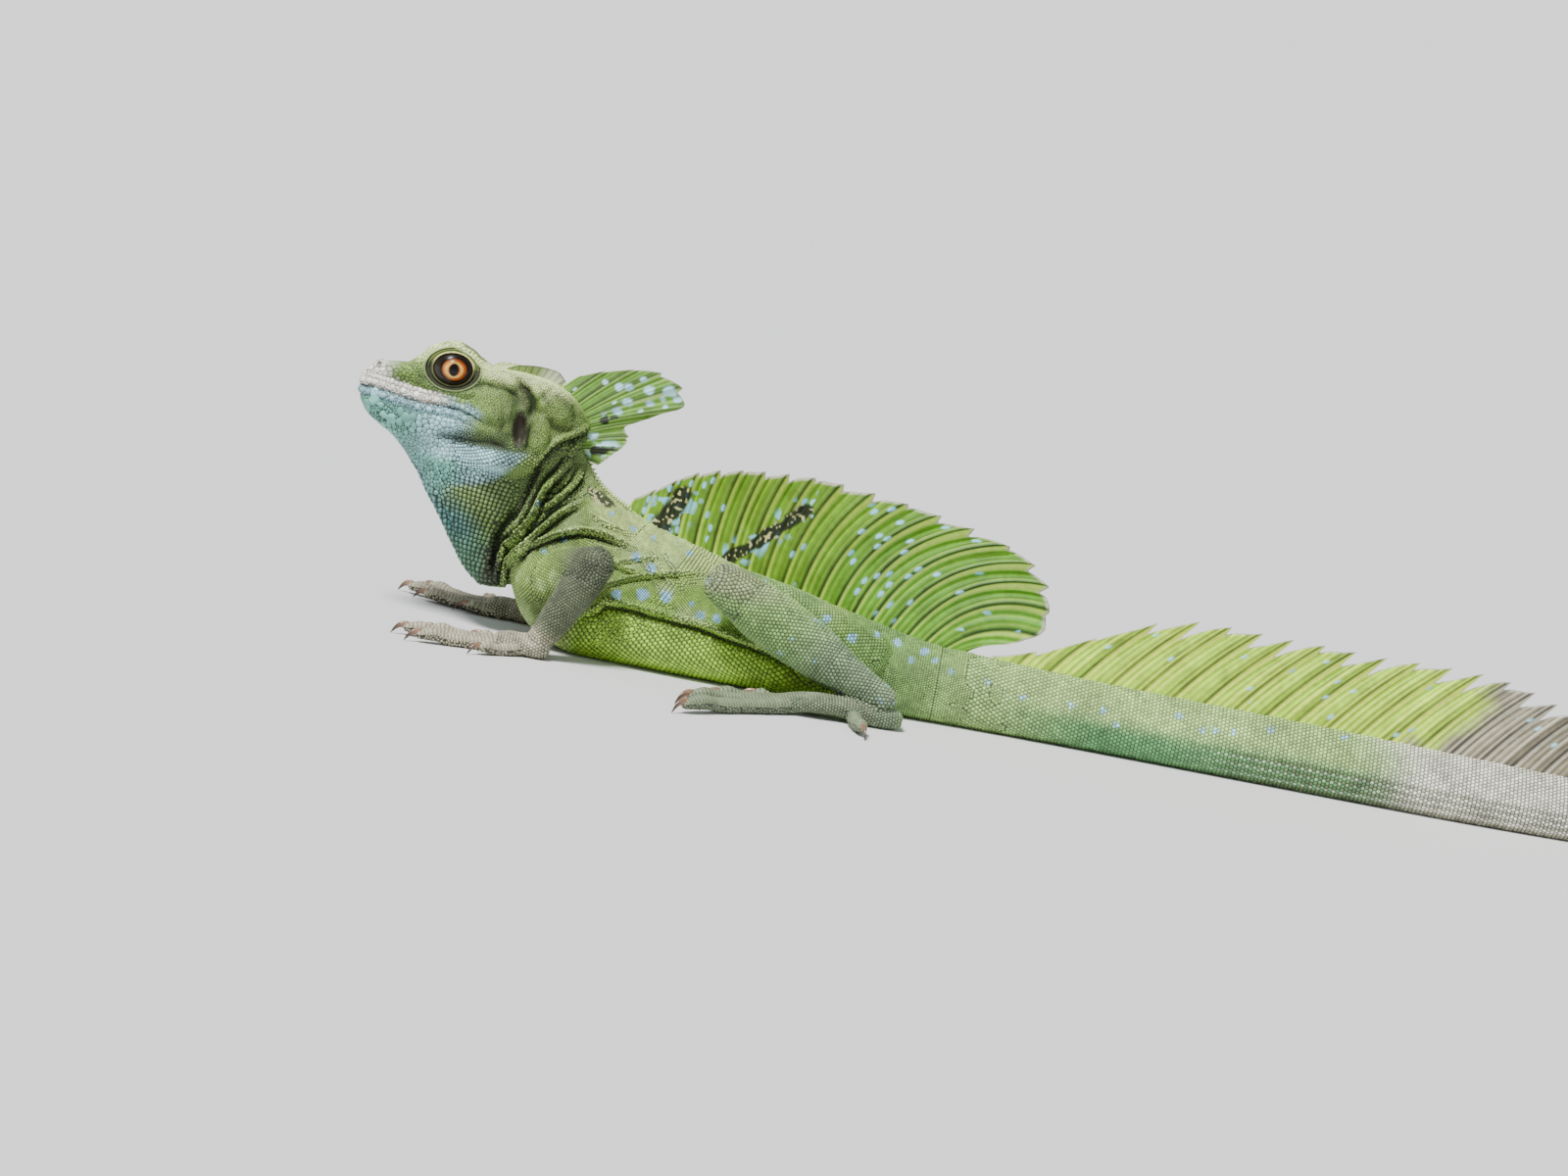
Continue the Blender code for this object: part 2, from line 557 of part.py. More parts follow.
def fin(name, root_at, tip_at, bow_at, rays, rows, widths, collection, columns=4, notch=0.1, wave=0.0):
    """A crest of skin stretched over rays, each ray a ridge in both faces, with both faces split alike.

    root_at, tip_at and bow_at read the root, the tip and the bend of the ray at a share of the crest's
    length; widths are the half thicknesses at the root, on a ray's tip and between two rays.
    """
    root_half, ray_half, skin_half = widths
    total = rays * columns + 1
    bm = bmesh.new()
    faces = ([], [])
    for c in range(total):
        share = c / (total - 1)
        phase = (c % columns) / columns
        ridge = (1 + math.cos(math.tau * phase)) / 2
        root, tip = Vector(root_at(share)), Vector(tip_at(share))
        if 0 < phase:
            tip = root + (tip - root) * (1 - notch * (1 - phase) ** 1.3)
        along = tip - root
        bend = Vector((-along.z, 0, along.x)) * bow_at(share)
        column = ([], [])
        for r in range(rows + 1):
            v = r / rows
            point = root + along * v + bend * (4 * v * (1 - v))
            edge_half = skin_half + (ray_half - skin_half) * ridge
            half = root_half * (1 - v) ** 2.2 + edge_half * (1 - (1 - v) ** 2.2) * (1 - 0.25 * v)
            sway = wave * math.sin(9.0 * share + 2.0 * v) * v
            for side in (0, 1):
                y = sway + (half if side else -half)
                column[side].append(bm.verts.new((point + Vector((0, y, 0))) * MM))
        faces[0].append(column[0])
        faces[1].append(column[1])
    for c in range(total - 1):
        for r in range(rows):
            for side in (0, 1):
                a, b = faces[side][c][r], faces[side][c + 1][r]
                d, e = faces[side][c + 1][r + 1], faces[side][c][r + 1]
                bm.faces.new((a, b, d))
                bm.faces.new((a, d, e))
    left, right = faces
    rim = [(c, 0) for c in range(total)] + [(total - 1, r) for r in range(1, rows + 1)]
    rim += [(c, rows) for c in range(total - 2, -1, -1)] + [(0, r) for r in range(rows - 1, 0, -1)]
    for (c, r), (c2, r2) in zip(rim, rim[1:] + rim[:1]):
        bm.faces.new((left[c][r], left[c2][r2], right[c2][r2]))
        bm.faces.new((left[c][r], right[c2][r2], right[c][r]))
    return new_object(name, bm, collection)


def back_height(x):
    """Height of the back's ridge at one x, on the trunk or on the straight part of the tail."""
    if x < VENT_X:
        return line_at([(row[2], row[3]) for row in BODY_RINGS], x)
    return float(curve_through(TAIL_LENGTHS, x - VENT_X)[0, 0])


def sail_root(share):
    """Root of the back's sail, sunk a little under the ridge."""
    x = SAIL_ROOTS[0] + (SAIL_ROOTS[1] - SAIL_ROOTS[0]) * share
    return x, 0.0, back_height(x) - 0.8


def sail_tip(share):
    """Tip line of the back's sail."""
    x, z = curve_through(SAIL_TIPS, share)[0]
    return x, 0.0, z


def tail_crest_root(share):
    """Root of the tail's crest, along the tail's own bend."""
    length = TAIL_CREST_ROOTS[0] + (TAIL_CREST_ROOTS[1] - TAIL_CREST_ROOTS[0]) * share
    x, y, _ = tail_line([length])[0]
    return x, y, float(curve_through(TAIL_LENGTHS, length)[0, 0]) - 0.8


def tail_crest_tip(share):
    """Tip of the tail's crest, leaning back over the tail."""
    length = TAIL_CREST_ROOTS[0] + (TAIL_CREST_ROOTS[1] - TAIL_CREST_ROOTS[0]) * share
    rise = line_at(TAIL_CREST_HEIGHTS, length)
    x, y, heading = tail_line([length + TAIL_CREST_LEAN * rise])[0]
    root = tail_crest_root(share)
    return x, y, root[2] + 0.8 + rise


def front_crest_root(share):
    """Root of the small crest on the crown."""
    x = FRONT_CREST_X[0] + (FRONT_CREST_X[1] - FRONT_CREST_X[0]) * share
    return x, 0.0, line_at(CROWN, x) - 0.9


def front_crest_tip(share):
    """Tip line of the small crest on the crown."""
    x, _, z = front_crest_root(share)
    rise = FRONT_CREST_HEIGHT * math.sin(math.pi * (0.08 + 0.84 * share)) ** 0.8
    return x + 2.0 * share, 0.0, z + 0.9 + rise


def build_crests(nodes):
    """Sail on the back, crest on the tail, and both crests of the head."""
    fin("back_crest", sail_root, sail_tip, lambda s: line_at(SAIL_BOW, s), SAIL_RAYS, 5,
        (1.5, 0.62, 0.34), nodes, columns=3, notch=0.07, wave=0.8)
    fin("tail_crest", tail_crest_root, tail_crest_tip, lambda s: 0.03, TAIL_CREST_RAYS, 3,
        (1.4, 0.6, 0.34), nodes, columns=3, notch=0.16, wave=0.5)

    def head_root(share):
        x, z = curve_through(HEAD_CREST_ROOTS, share)[0]
        return x, 0.0, z

    def head_tip(share):
        x, z = curve_through(HEAD_CREST_TIPS, share)[0]
        return x, 0.0, z

    fin("head_crest", head_root, head_tip, lambda s: 0.02, HEAD_CREST_RAYS, 5, (1.9, 0.65, 0.4), nodes,
        columns=2, notch=0.04, wave=0.5)
    fin("front_crest", front_crest_root, front_crest_tip, lambda s: 0.0, 6, 2, (1.1, 0.5, 0.34), nodes,
        columns=2, notch=0.12)


def limb_length(name, start, end, shape, collection, overshoot=(0.0, 0.0), rings=9):
    """One length of a leg as a closed tube with round ends."""
    start, end = Vector(start), Vector(end)
    run = end - start
    points, radii = [], []
    first_half = curve_through(shape, 0.0)[0]
    last_half = curve_through(shape, 1.0)[0]
    for k in (3, 2, 1):
        angle = math.pi / 2 * k / 3.35
        points.append(start - run.normalized() * (first_half[0] * 0.85 * math.sin(angle)))
        radii.append(tuple(first_half * math.cos(angle)))
    for share in np.linspace(0.0, 1.0, rings):
        points.append(start + run * share)
        radii.append(tuple(curve_through(shape, share)[0]))
    for k in (1, 2, 3):
        angle = math.pi / 2 * k / 3.35
        points.append(end + run.normalized() * (last_half[0] * 0.85 * math.sin(angle)))
        radii.append(tuple(last_half * math.cos(angle)))
    return tube(name, points, radii, collection, sides=12)


def palm_or_sole(name, kind, wrist, forward, nodes):
    """The flat part of a hand or foot, from behind the wrist to the roots of the digits."""
    length, half, tall = PALM[kind]
    points, radii = [], []
    for share, height, width in PALM_STATIONS:
        arch = 0.35 * math.sin(math.pi * min(1.0, max(0.0, share))) if kind == "foot" else 0.0
        points.append(wrist + forward * (share * length) + Vector((0, 0, tall * (1.0 + arch))))
        radii.append((tall * height, half * width))
    return tube(name, points, radii, nodes, sides=10)


def digit(name, kind, root, aim, curl, length, half, nodes):
    """One finger or toe, arched over its last joint, with its claw."""
    claw = CLAW_LENGTHS[kind]
    knuckle = -DIGIT_ROOT_SHARE * min(length, 20.0) - 1.5
    stations = [(knuckle, half, PALM[kind][2] * 0.9)]
    stations += [(length * run, half * thick, half * high - FLAT) for run, thick, high in DIGIT_STATIONS]
    stations += [(length + claw * run, half * thick, half * high) for run, thick, high in CLAW_STATIONS]
    points, radii = [], []
    for run, thick, height in stations:
        bend = curl * (DIGIT_CURL * length * (max(run, 0.0) / length) ** 2)
        points.append(root + aim * run + bend + Vector((0, 0, height)))
        radii.append((thick, thick))
    return tube(name, points, radii, nodes, sides=DIGIT_SIDES)


def extremity(name, kind, wrist, turn, sign, nodes):
    """A hand or foot: palm and five clawed digits, joined, resting on the floor on small flats."""
    heading = math.radians(turn)
    forward = Vector((-math.cos(heading), sign * math.sin(heading), 0.0))
    outward = Vector((math.sin(heading), sign * math.cos(heading), 0.0))
    base = Vector((wrist.x, wrist.y, -FLAT))
    palm = palm_or_sole(name, kind, base, forward, nodes)
    pieces = []
    for i, (ahead, out, bearing, length, half) in enumerate(FINGERS if kind == "hand" else TOES):
        angle = math.radians(bearing)
        aim = forward * math.cos(angle) + outward * math.sin(angle)
        curl = outward * math.cos(angle) - forward * math.sin(angle)
        root = Vector((wrist.x, wrist.y, 0.0)) + forward * ahead + outward * out
        pieces.append(digit(f"{name}_digit_{i + 1}", kind, root, aim, curl, length, half, nodes))
    combine(palm, "UNION", pieces)
    cut_by_plane(palm, (0.0, 0.0, 0.0), (0.0, 0.0, -1.0), keep_gap=False)
    return palm


def meeting_plane(before, joint, after):
    """The plane through a joint that halves the angle between the two lengths that meet there."""
    back = (Vector(before) - Vector(joint)).normalized()
    ahead = (Vector(after) - Vector(joint)).normalized()
    return (ahead - back).normalized()


def build_legs(nodes):
    """Four legs, each an upper length, a lower length and a hand or foot."""
    for side, sign in (("left", -1), ("right", 1)):
        data = LEGS[side]
        for limb, upper, lower, end, upper_shape, lower_shape, turn in (
            ("arm", "upper_arm", "forearm", "hand", UPPER_ARM, FOREARM, "hand_turn"),
            ("leg", "thigh", "shank", "foot", THIGH, SHANK, "foot_turn"),
        ):
            root, joint, wrist = [Vector((x, sign * y, z)) for x, y, z in data[limb]]
            top = limb_length(f"{side}_{upper}", root, joint, upper_shape, nodes)
            low = limb_length(f"{side}_{lower}", joint, wrist, lower_shape, nodes)
            last = extremity(f"{side}_{end}", end, wrist, data[turn], sign, nodes)
            knee = meeting_plane(root, joint, wrist)
            cut_by_plane(top, joint, knee)
            cut_by_plane(low, joint, -knee)
            toes = wrist + Vector((-20.0, 0.0, -wrist.z + 3.0))
            ankle = meeting_plane(joint, wrist, toes)
            cut_by_plane(low, wrist, ankle)
            cut_by_plane(last, wrist, -ankle)
            cut_clear(top, bpy.data.objects["torso"])
            cut_clear(low, bpy.data.objects["torso"])


def dress(nodes):
    """Each node's own material, from the colour of its place on the animal."""
    finishes = {
        "head": "pale_green_skin", "lower_jaw": "blue_throat_skin", "throat": "blue_throat_skin",
        "neck": "pale_green_skin", "torso": "leaf_green_skin", "tail": "pale_green_skin",
        "eye": "eye", "back_crest": "crest_skin", "tail_crest": "crest_skin",
        "head_crest": "crest_skin", "front_crest": "crest_skin",
    }
    for obj in nodes.objects:
        keys = [key for key in finishes if obj.name.startswith(key)]
        finish = finishes[max(keys, key=len)] if keys else "grey_green_skin"
        colour, roughness = COLOURS[finish]
        material = bpy.data.materials.new(obj.name)
        material.use_nodes = True
        shader = material.node_tree.nodes["Principled BSDF"]
        shader.inputs["Base Color"].default_value = (*colour, 1.0)
        shader.inputs["Roughness"].default_value = roughness
        obj.data.materials.clear()
        obj.data.materials.append(material)
        obj.data.shade_smooth()


def centre_on_floor(nodes):
    """Moves the whole animal so that the middle of its footprint is the origin."""
    corners = np.array([v.co for obj in nodes.objects for v in obj.data.vertices])
    low, high = corners.min(0), corners.max(0)
    shift = Matrix.Translation((-(low[0] + high[0]) / 2, -(low[1] + high[1]) / 2, 0.0))
    for obj in nodes.objects:
        obj.data.transform(shift)


def main():
    """Builds the animal from the trunk outwards."""
    for obj in list(bpy.data.objects):
        bpy.data.objects.remove(obj)
    nodes = bpy.data.collections.new("green_basilisk")
    bpy.context.scene.collection.children.link(nodes)
    build_trunk(nodes)
    build_head(nodes)
    throat = build_throat(nodes)
    build_crests(nodes)
    build_legs(nodes)
    get = bpy.data.objects
    cut_clear(get["neck"], get["head"], get["lower_jaw"])
    cut_clear(throat, get["head"], get["lower_jaw"], get["neck"])
    cut_clear(get["back_crest"], get["neck"], get["torso"], get["tail_base"])
    cut_clear(get["tail_crest"], get["tail_base"], get["tail_middle"], get["tail_rear"])
    cut_clear(get["head_crest"], get["head"], get["neck"])
    cut_clear(get["front_crest"], get["head"])
    for side in ("left", "right"):
        cut_clear(get[f"{side}_upper_arm"], get["neck"])
        cut_clear(get[f"{side}_thigh"], get["tail_base"])
    dress(nodes)
    centre_on_floor(nodes)


main()
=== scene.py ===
"""The looks of a green basilisk: one scaled skin, rayed crests, eyes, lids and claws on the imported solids.

Shapes are worked out in millimetres, with X counted from the vent, the head towards -X, the left side
towards -Y and Z up from the floor. Placement turns them into the frame's metres.
"""

from __future__ import annotations

import logging
import math
from dataclasses import dataclass, field
from enum import Enum
from typing import Callable

import bpy
import numpy as np
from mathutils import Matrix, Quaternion, Vector
from mathutils.bvhtree import BVHTree
from mathutils.kdtree import KDTree

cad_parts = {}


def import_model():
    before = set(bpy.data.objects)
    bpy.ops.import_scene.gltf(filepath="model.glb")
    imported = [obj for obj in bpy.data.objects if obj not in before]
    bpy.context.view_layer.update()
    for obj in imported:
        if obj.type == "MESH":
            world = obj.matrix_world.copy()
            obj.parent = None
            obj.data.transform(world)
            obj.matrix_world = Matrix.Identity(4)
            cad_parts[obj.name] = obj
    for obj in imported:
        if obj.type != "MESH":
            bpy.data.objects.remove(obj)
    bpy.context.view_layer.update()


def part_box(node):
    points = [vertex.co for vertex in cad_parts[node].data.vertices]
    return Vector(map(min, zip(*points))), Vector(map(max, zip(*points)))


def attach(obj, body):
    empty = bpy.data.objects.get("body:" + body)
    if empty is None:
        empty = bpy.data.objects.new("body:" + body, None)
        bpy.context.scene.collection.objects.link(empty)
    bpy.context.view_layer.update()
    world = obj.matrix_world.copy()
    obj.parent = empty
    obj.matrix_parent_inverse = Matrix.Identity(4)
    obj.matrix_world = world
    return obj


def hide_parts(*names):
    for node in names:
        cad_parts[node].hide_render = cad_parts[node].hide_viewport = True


LOG = logging.getLogger("green_basilisk")
Array = np.ndarray
Knots = tuple[tuple[float, ...], ...]

SNOUT_X = -176.2
SIGHT_SLOPE = 0.158
SIGHT_AIM = (-43.4, 29.3)
SIGHT_RANGE = 1300.0
SEED = 20
BUMP_DISTANCE = 0.0002
HASH_FACTORS = (73856093, 19349663, 83492791, 2654435761, 1274126177)
HASH_TOP = 0xFFFF
ROW_STEP = 0.28
STRETCH = 1.1
PATCH_RADIUS = 0.0015
PATCH_EDGE = 0.004
PLATE_ROOM = 1.6
SCALE_LIGHT = (0.74, 1.22)
SCALE_HEIGHT = (0.85, 1.15)

BODY_RINGS: Knots = (
    (-127.0, 52.0, -113.0, 67.0, 10.6),
    (-126.5, 40.0, -106.5, 56.0, 11.0),
    (-125.0, 28.0, -101.5, 49.2, 12.6),
    (-122.0, 17.0, -95.5, 45.6, 14.8),
    (-117.0, 8.0, -88.5, 42.3, 16.6),
    (-108.0, 2.0, -81.0, 39.7, 17.8),
    (-97.0, 0.0, -74.0, 38.0, 18.5),
    (-83.0, 0.0, -66.0, 35.9, 19.0),
    (-70.0, 0.0, -58.5, 33.7, 19.2),
    (-57.0, 0.0, -50.0, 31.7, 19.0),
    (-43.0, 0.0, -40.0, 30.0, 18.4),
    (-30.0, 0.0, -30.0, 28.0, 17.4),
    (-18.0, 0.0, -18.0, 25.6, 15.8),
    (-6.0, 0.0, -6.0, 23.2, 13.8),
    (5.0, 0.0, 5.0, 21.6, 12.0),
)
TAIL_LENGTHS: Knots = (
    (0.0, 21.6, 12.0),
    (12.0, 20.9, 10.8),
    (30.0, 20.5, 9.8),
    (60.0, 20.1, 9.0),
    (100.0, 20.0, 8.5),
    (145.0, 19.4, 7.9),
    (185.0, 18.4, 7.3),
    (230.0, 15.4, 6.3),
    (290.0, 11.2, 5.0),
    (350.0, 8.0, 3.8),
    (410.0, 5.4, 2.7),
    (465.0, 3.2, 1.6),
    (500.0, 1.6, 0.8),
)
TAIL_HEADINGS: Knots = ((0.0, 0.0), (120.0, 0.0), (200.0, 10.0), (290.0, 30.0), (380.0, 14.0),
                        (500.0, -34.0))
VENT_X = 5.0
NECK_PROFILE: Knots = ((0.0, 0.0), (0.02, 0.40), (0.10, 0.74), (0.25, 0.95), (0.45, 1.0), (0.64, 0.92),
                       (0.84, 0.62), (0.96, 0.28), (1.0, 0.0))
TRUNK_PROFILE: Knots = ((0.0, 0.0), (0.0, 0.46), (0.07, 0.80), (0.22, 0.99), (0.38, 0.96), (0.56, 0.93),
                        (0.80, 0.60), (0.95, 0.20), (1.0, 0.0))
TAIL_PROFILE: Knots = ((0.0, 0.0), (0.0, 0.38), (0.08, 0.76), (0.24, 0.98), (0.42, 1.0), (0.62, 0.80),
                       (0.82, 0.48), (0.95, 0.20), (1.0, 0.0))

CROWN: Knots = ((-176.2, 67.2), (-174.0, 70.6), (-170.0, 72.3), (-164.0, 72.6), (-157.0, 75.6),
                (-150.0, 77.8), (-141.0, 75.8), (-130.0, 76.7), (-120.0, 75.6), (-113.0, 72.0),
                (-107.5, 66.0))
BROW_RISE: Knots = ((-177.0, 0.0), (-163.0, 0.0), (-160.6, 1.0), (-158.0, 2.7), (-155.5, 3.5), (-150.5, 3.6),
                    (-144.8, 3.0), (-141.0, 1.4), (-138.5, 0.3), (-107.5, 0.0))
HEAD_HALF_WIDTH: Knots = ((-176.2, 1.8), (-174.5, 4.0), (-170.0, 6.2), (-162.0, 8.6), (-150.0, 11.4),
                          (-140.0, 13.0), (-130.0, 14.6), (-123.0, 14.6), (-116.0, 12.0), (-110.0, 8.0),
                          (-107.5, 4.5))
MOUTH: Knots = ((-180.0, 65.6), (-170.0, 64.0), (-163.0, 62.9), (-157.0, 62.4), (-150.0, 62.6),
                (-144.0, 61.8), (-138.0, 59.6), (-130.0, 58.5), (-107.5, 60.5))
LIP: Knots = ((-180.0, 64.4), (-171.0, 64.3), (-164.3, 63.4), (-155.2, 62.4), (-150.5, 62.7),
              (-146.9, 62.4), (-143.2, 61.8), (-138.0, 60.0), (-130.0, 57.5), (-107.5, 59.0))
JAW_EDGE: Knots = ((-176.2, 63.0), (-174.0, 59.2), (-171.0, 56.0), (-166.0, 53.0), (-155.0, 50.6),
                   (-140.0, 48.6), (-127.0, 46.4), (-120.0, 48.0), (-112.0, 55.0), (-107.5, 61.0))
HEAD_X = (-176.2, -107.5)
MOUTH_CORNER_X = -137.5
THROAT_RINGS: Knots = (
    (-170.0, 57.5, -117.0, 57.0, 9.0),
    (-162.5, 50.3, -117.0, 47.0, 9.6),
    (-154.0, 41.4, -117.0, 38.0, 8.8),
    (-147.0, 32.4, -117.5, 30.0, 7.4),
    (-141.0, 24.0, -119.0, 22.5, 6.0),
    (-135.4, 16.8, -121.0, 16.4, 4.2),
    (-131.0, 13.4, -124.5, 13.6, 1.6),
)
EYE_CENTRE = (-148.7, 7.0, 74.7)
EYE_RADII = (6.3, 4.7, 5.4)
LID_CENTRE = (-148.7, 74.9)
LID_OPENING = (5.9, 4.75)
LID_ROOT = (8.7, 6.3)
LID_TILT = math.radians(-5.0)


class Side(Enum):
    """A side of the animal, with the sign that Y has there."""

    LEFT = -1
    RIGHT = 1

    @property
    def word(self) -> str:
        """The side in lower case."""
        return self.name.lower()


class Shape(Enum):
    """The outline and relief of one scale."""

    GRANULE = "granule"
    DOME = "dome"
    KEELED = "keeled"
    PLATE = "plate"


def smooth(low: float, high: float, value: Array | float) -> Array:
    """A soft step.

    Args:
        low: Where the step starts.
        high: Where it ends; it may lie below low for a falling step.
        value: Places to read it at.

    Returns:
        0 before low, 1 past high, and a soft rise between.
    """
    x = np.clip((np.asarray(value, float) - low) / (high - low), 0.0, 1.0)
    return x * x * (3.0 - 2.0 * x)


def bump(value: Array, centre: float, width: float) -> Array:
    """A soft bump, 1 where value is at its centre."""
    return np.exp(-((value - centre) / width) ** 2)


def curve_through(knots: Knots | Array, at: Array | float) -> Array:
    """Reads a smooth curve through knots that never overshoots them.

    Args:
        knots: Rows of a place and its values, with rising places.
        at: Places to read, held within the first and last.

    Returns:
        One row of values for each place.
    """
    table = np.array(knots, float)
    at = np.clip(np.atleast_1d(at).astype(float), table[0, 0], table[-1, 0])
    place, value = table[:, 0], table[:, 1:]
    step = np.diff(place)[:, None]
    slope = np.diff(value, axis=0) / step
    tangent = np.vstack([slope[:1], np.zeros_like(slope[1:]), slope[-1:]])
    before, after = slope[:-1], slope[1:]
    near, far = 2 * step[1:] + step[:-1], step[1:] + 2 * step[:-1]
    rising = before * after > 0
    mean = (near + far) / (near / np.where(rising, before, 1.0) + far / np.where(rising, after, 1.0))
    tangent[1:-1] = np.where(rising, mean, 0.0)
    i = np.clip(np.searchsorted(place, at, side="right") - 1, 0, len(place) - 2)
    u = ((at - place[i]) / step[i, 0])[:, None]
    h = step[i]
    return (
        value[i] * (1 + 2 * u) * (1 - u) ** 2
        + tangent[i] * h * u * (1 - u) ** 2
        + value[i + 1] * u * u * (3 - 2 * u)
        + tangent[i + 1] * h * u * u * (u - 1)
    )


def line_at(knots: Knots, x: Array | float) -> Array:
    """Reads a line of (x, value) knots at many places."""
    return curve_through(knots, x)[:, 0]


def spaced_profile(profile: Knots, samples: int) -> Array:
    """Samples a half profile at equal steps of its own length.

    Args:
        profile: Points of the half profile.
        samples: How many points to give back.

    Returns:
        An array of that many points.
    """
    fine = curve_through([(i, *p) for i, p in enumerate(profile)], np.linspace(0, len(profile) - 1, 400))
    run = np.concatenate([[0], np.cumsum(np.linalg.norm(np.diff(fine, axis=0), axis=1))])
    at = np.linspace(0, run[-1], samples)
    return np.column_stack([np.interp(at, run, fine[:, k]) for k in range(2)])


def unit(vectors: Array) -> Array:
    """Vectors made one long."""
    return vectors / np.maximum(np.linalg.norm(vectors, axis=-1, keepdims=True), 1e-9)


def sight(points: Array) -> tuple[Array, Array]:
    """Where places appear in the photograph's side view, which is the same for both sides.

    Args:
        points: Places in millimetres.

    Returns:
        Their lengths and heights in the plane through the animal's middle.
    """
    x, y, z = points.T
    near = 1.0 - np.abs(y) / SIGHT_RANGE
    return (SIGHT_AIM[0] + (x - SIGHT_AIM[0]) / near,
            SIGHT_AIM[1] + (z - SIGHT_SLOPE * np.abs(y) - SIGHT_AIM[1]) / near)


def cell_value(cell: Array, seed: int) -> Array:
    """A fixed chance value from 0 to 1 for each whole-numbered cell."""
    a, b, c = cell.astype(np.int64).T
    h = (a * HASH_FACTORS[0]) ^ (b * HASH_FACTORS[1]) ^ (c * HASH_FACTORS[2]) ^ (seed * HASH_FACTORS[3])
    h = (h ^ (h >> 13)) * HASH_FACTORS[4]
    return ((h ^ (h >> 16)) & HASH_TOP) / HASH_TOP


def value_noise(points: Array, size: float, seed: int = 0) -> Array:
    """Soft noise in space.

    Args:
        points: Places, in millimetres.
        size: Size of its lumps, in millimetres.
        seed: Another number gives another pattern.

    Returns:
        Values from -1 to 1.
    """
    p = points / size + seed * 17.31
    cell = np.floor(p).astype(np.int64)
    f = p - cell
    f = f * f * (3 - 2 * f)
    total = np.zeros(len(points))
    for corner in range(8):
        d = np.array([(corner >> k) & 1 for k in range(3)])
        c = cell + d
        value = cell_value(c, seed) * 2.0 - 1.0
        weight = np.prod(np.where(d == 1, f, 1 - f), axis=1)
        total += weight * value
    return total


def shade(red: int, green: int, blue: int) -> Array:
    """A colour named by its 0 to 255 screen values, as linear light."""
    c = np.array([red, green, blue]) / 255.0
    return np.where(c <= 0.04045, c / 12.92, ((c + 0.055) / 1.055) ** 2.4)


def mix(a: Array, b: Array, share: Array) -> Array:
    """Colours a and b, each one colour or one for each row, mixed by a share for each row."""
    share = np.asarray(share, float)
    return a + (b - a) * (share[:, None] if share.ndim == 1 else share)


@dataclass
class Placement:
    """Turns millimetres on the animal into the frame's metres."""

    shift: Array

    @classmethod
    def from_frame(cls) -> Placement:
        """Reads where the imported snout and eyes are.

        Returns:
            The placement that puts this script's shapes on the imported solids.
        """
        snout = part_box("head")[0][0]
        middle = (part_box("eye_left")[0][1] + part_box("eye_right")[1][1]) / 2
        return cls(np.array([snout - SNOUT_X * 0.001, middle, 0.0]))

    def metres(self, points: Array) -> Array:
        """Millimetres on the animal as metres in the frame."""
        return np.asarray(points, float) * 0.001 + self.shift


@dataclass
class Surface:
    """Plain mesh arrays in millimetres, with one colour for each vertex and UVs where asked."""

    points: Array
    faces: Array
    tint: Array | None = None
    uv: Array | None = None

    @staticmethod
    def joined(parts: list[Surface]) -> Surface:
        """Joins surfaces whose faces have the same number of corners."""
        offsets = np.cumsum([0] + [len(p.points) for p in parts[:-1]])
        faces = np.vstack([p.faces + o for p, o in zip(parts, offsets)])
        tint = np.vstack([p.tint for p in parts]) if parts[0].tint is not None else None
        uv = np.vstack([p.uv for p in parts]) if parts[0].uv is not None else None
        return Surface(np.vstack([p.points for p in parts]), faces, tint, uv)

    def build(self, name: str, place: Placement, material: bpy.types.Material | None) -> bpy.types.Object:
        """Makes the Blender object.

        Args:
            name: The object's name.
            place: Where the animal stands in the frame.
            material: Its finish, or none.

        Returns:
            The new object, smooth shaded and linked to the scene.
        """
        mesh = bpy.data.meshes.new(name)
        corners = self.faces.shape[1]
        mesh.vertices.add(len(self.points))
        mesh.vertices.foreach_set("co", place.metres(self.points).astype(np.float32).ravel())
        mesh.loops.add(self.faces.size)
        mesh.loops.foreach_set("vertex_index", self.faces.astype(np.int32).ravel())
        mesh.polygons.add(len(self.faces))
        mesh.polygons.foreach_set("loop_start", np.arange(0, self.faces.size, corners, dtype=np.int32))
        mesh.update(calc_edges=True)
        mesh.validate()
        mesh.shade_smooth()
        if self.tint is not None:
            layer = mesh.color_attributes.new("tint", "FLOAT_COLOR", "POINT")
            rgba = np.ones((len(self.points), 4), np.float32)
            rgba[:, :3] = np.clip(self.tint, 0.0, 1.0)
            layer.data.foreach_set("color", rgba.ravel())
        if self.uv is not None:
            layer = mesh.uv_layers.new(name="OFBake")
            index = np.empty(len(mesh.loops), np.int32)
            mesh.loops.foreach_get("vertex_index", index)
            layer.uv.foreach_set("vector", self.uv[index].astype(np.float32).ravel())
        if material is not None:
            mesh.materials.append(material)
        obj = bpy.data.objects.new(name, mesh)
        bpy.context.scene.collection.objects.link(obj)
        return obj


def grid_faces(rows: int, columns: int, closed: bool) -> Array:
    """Quads over a grid of rows of points.

    Args:
        rows: Number of rows.
        columns: Points in each row.
        closed: Whether each row runs round to its start.

    Returns:
        An array of corner numbers.
    """
    r = np.arange(rows - 1)[:, None]
    c = np.arange(columns if closed else columns - 1)[None, :]
    n = (c + 1) % columns
    a, b = r * columns + c, r * columns + n
    d, e = (r + 1) * columns + n, (r + 1) * columns + c
    return np.stack([a, b, d, e], axis=-1).reshape(-1, 4)


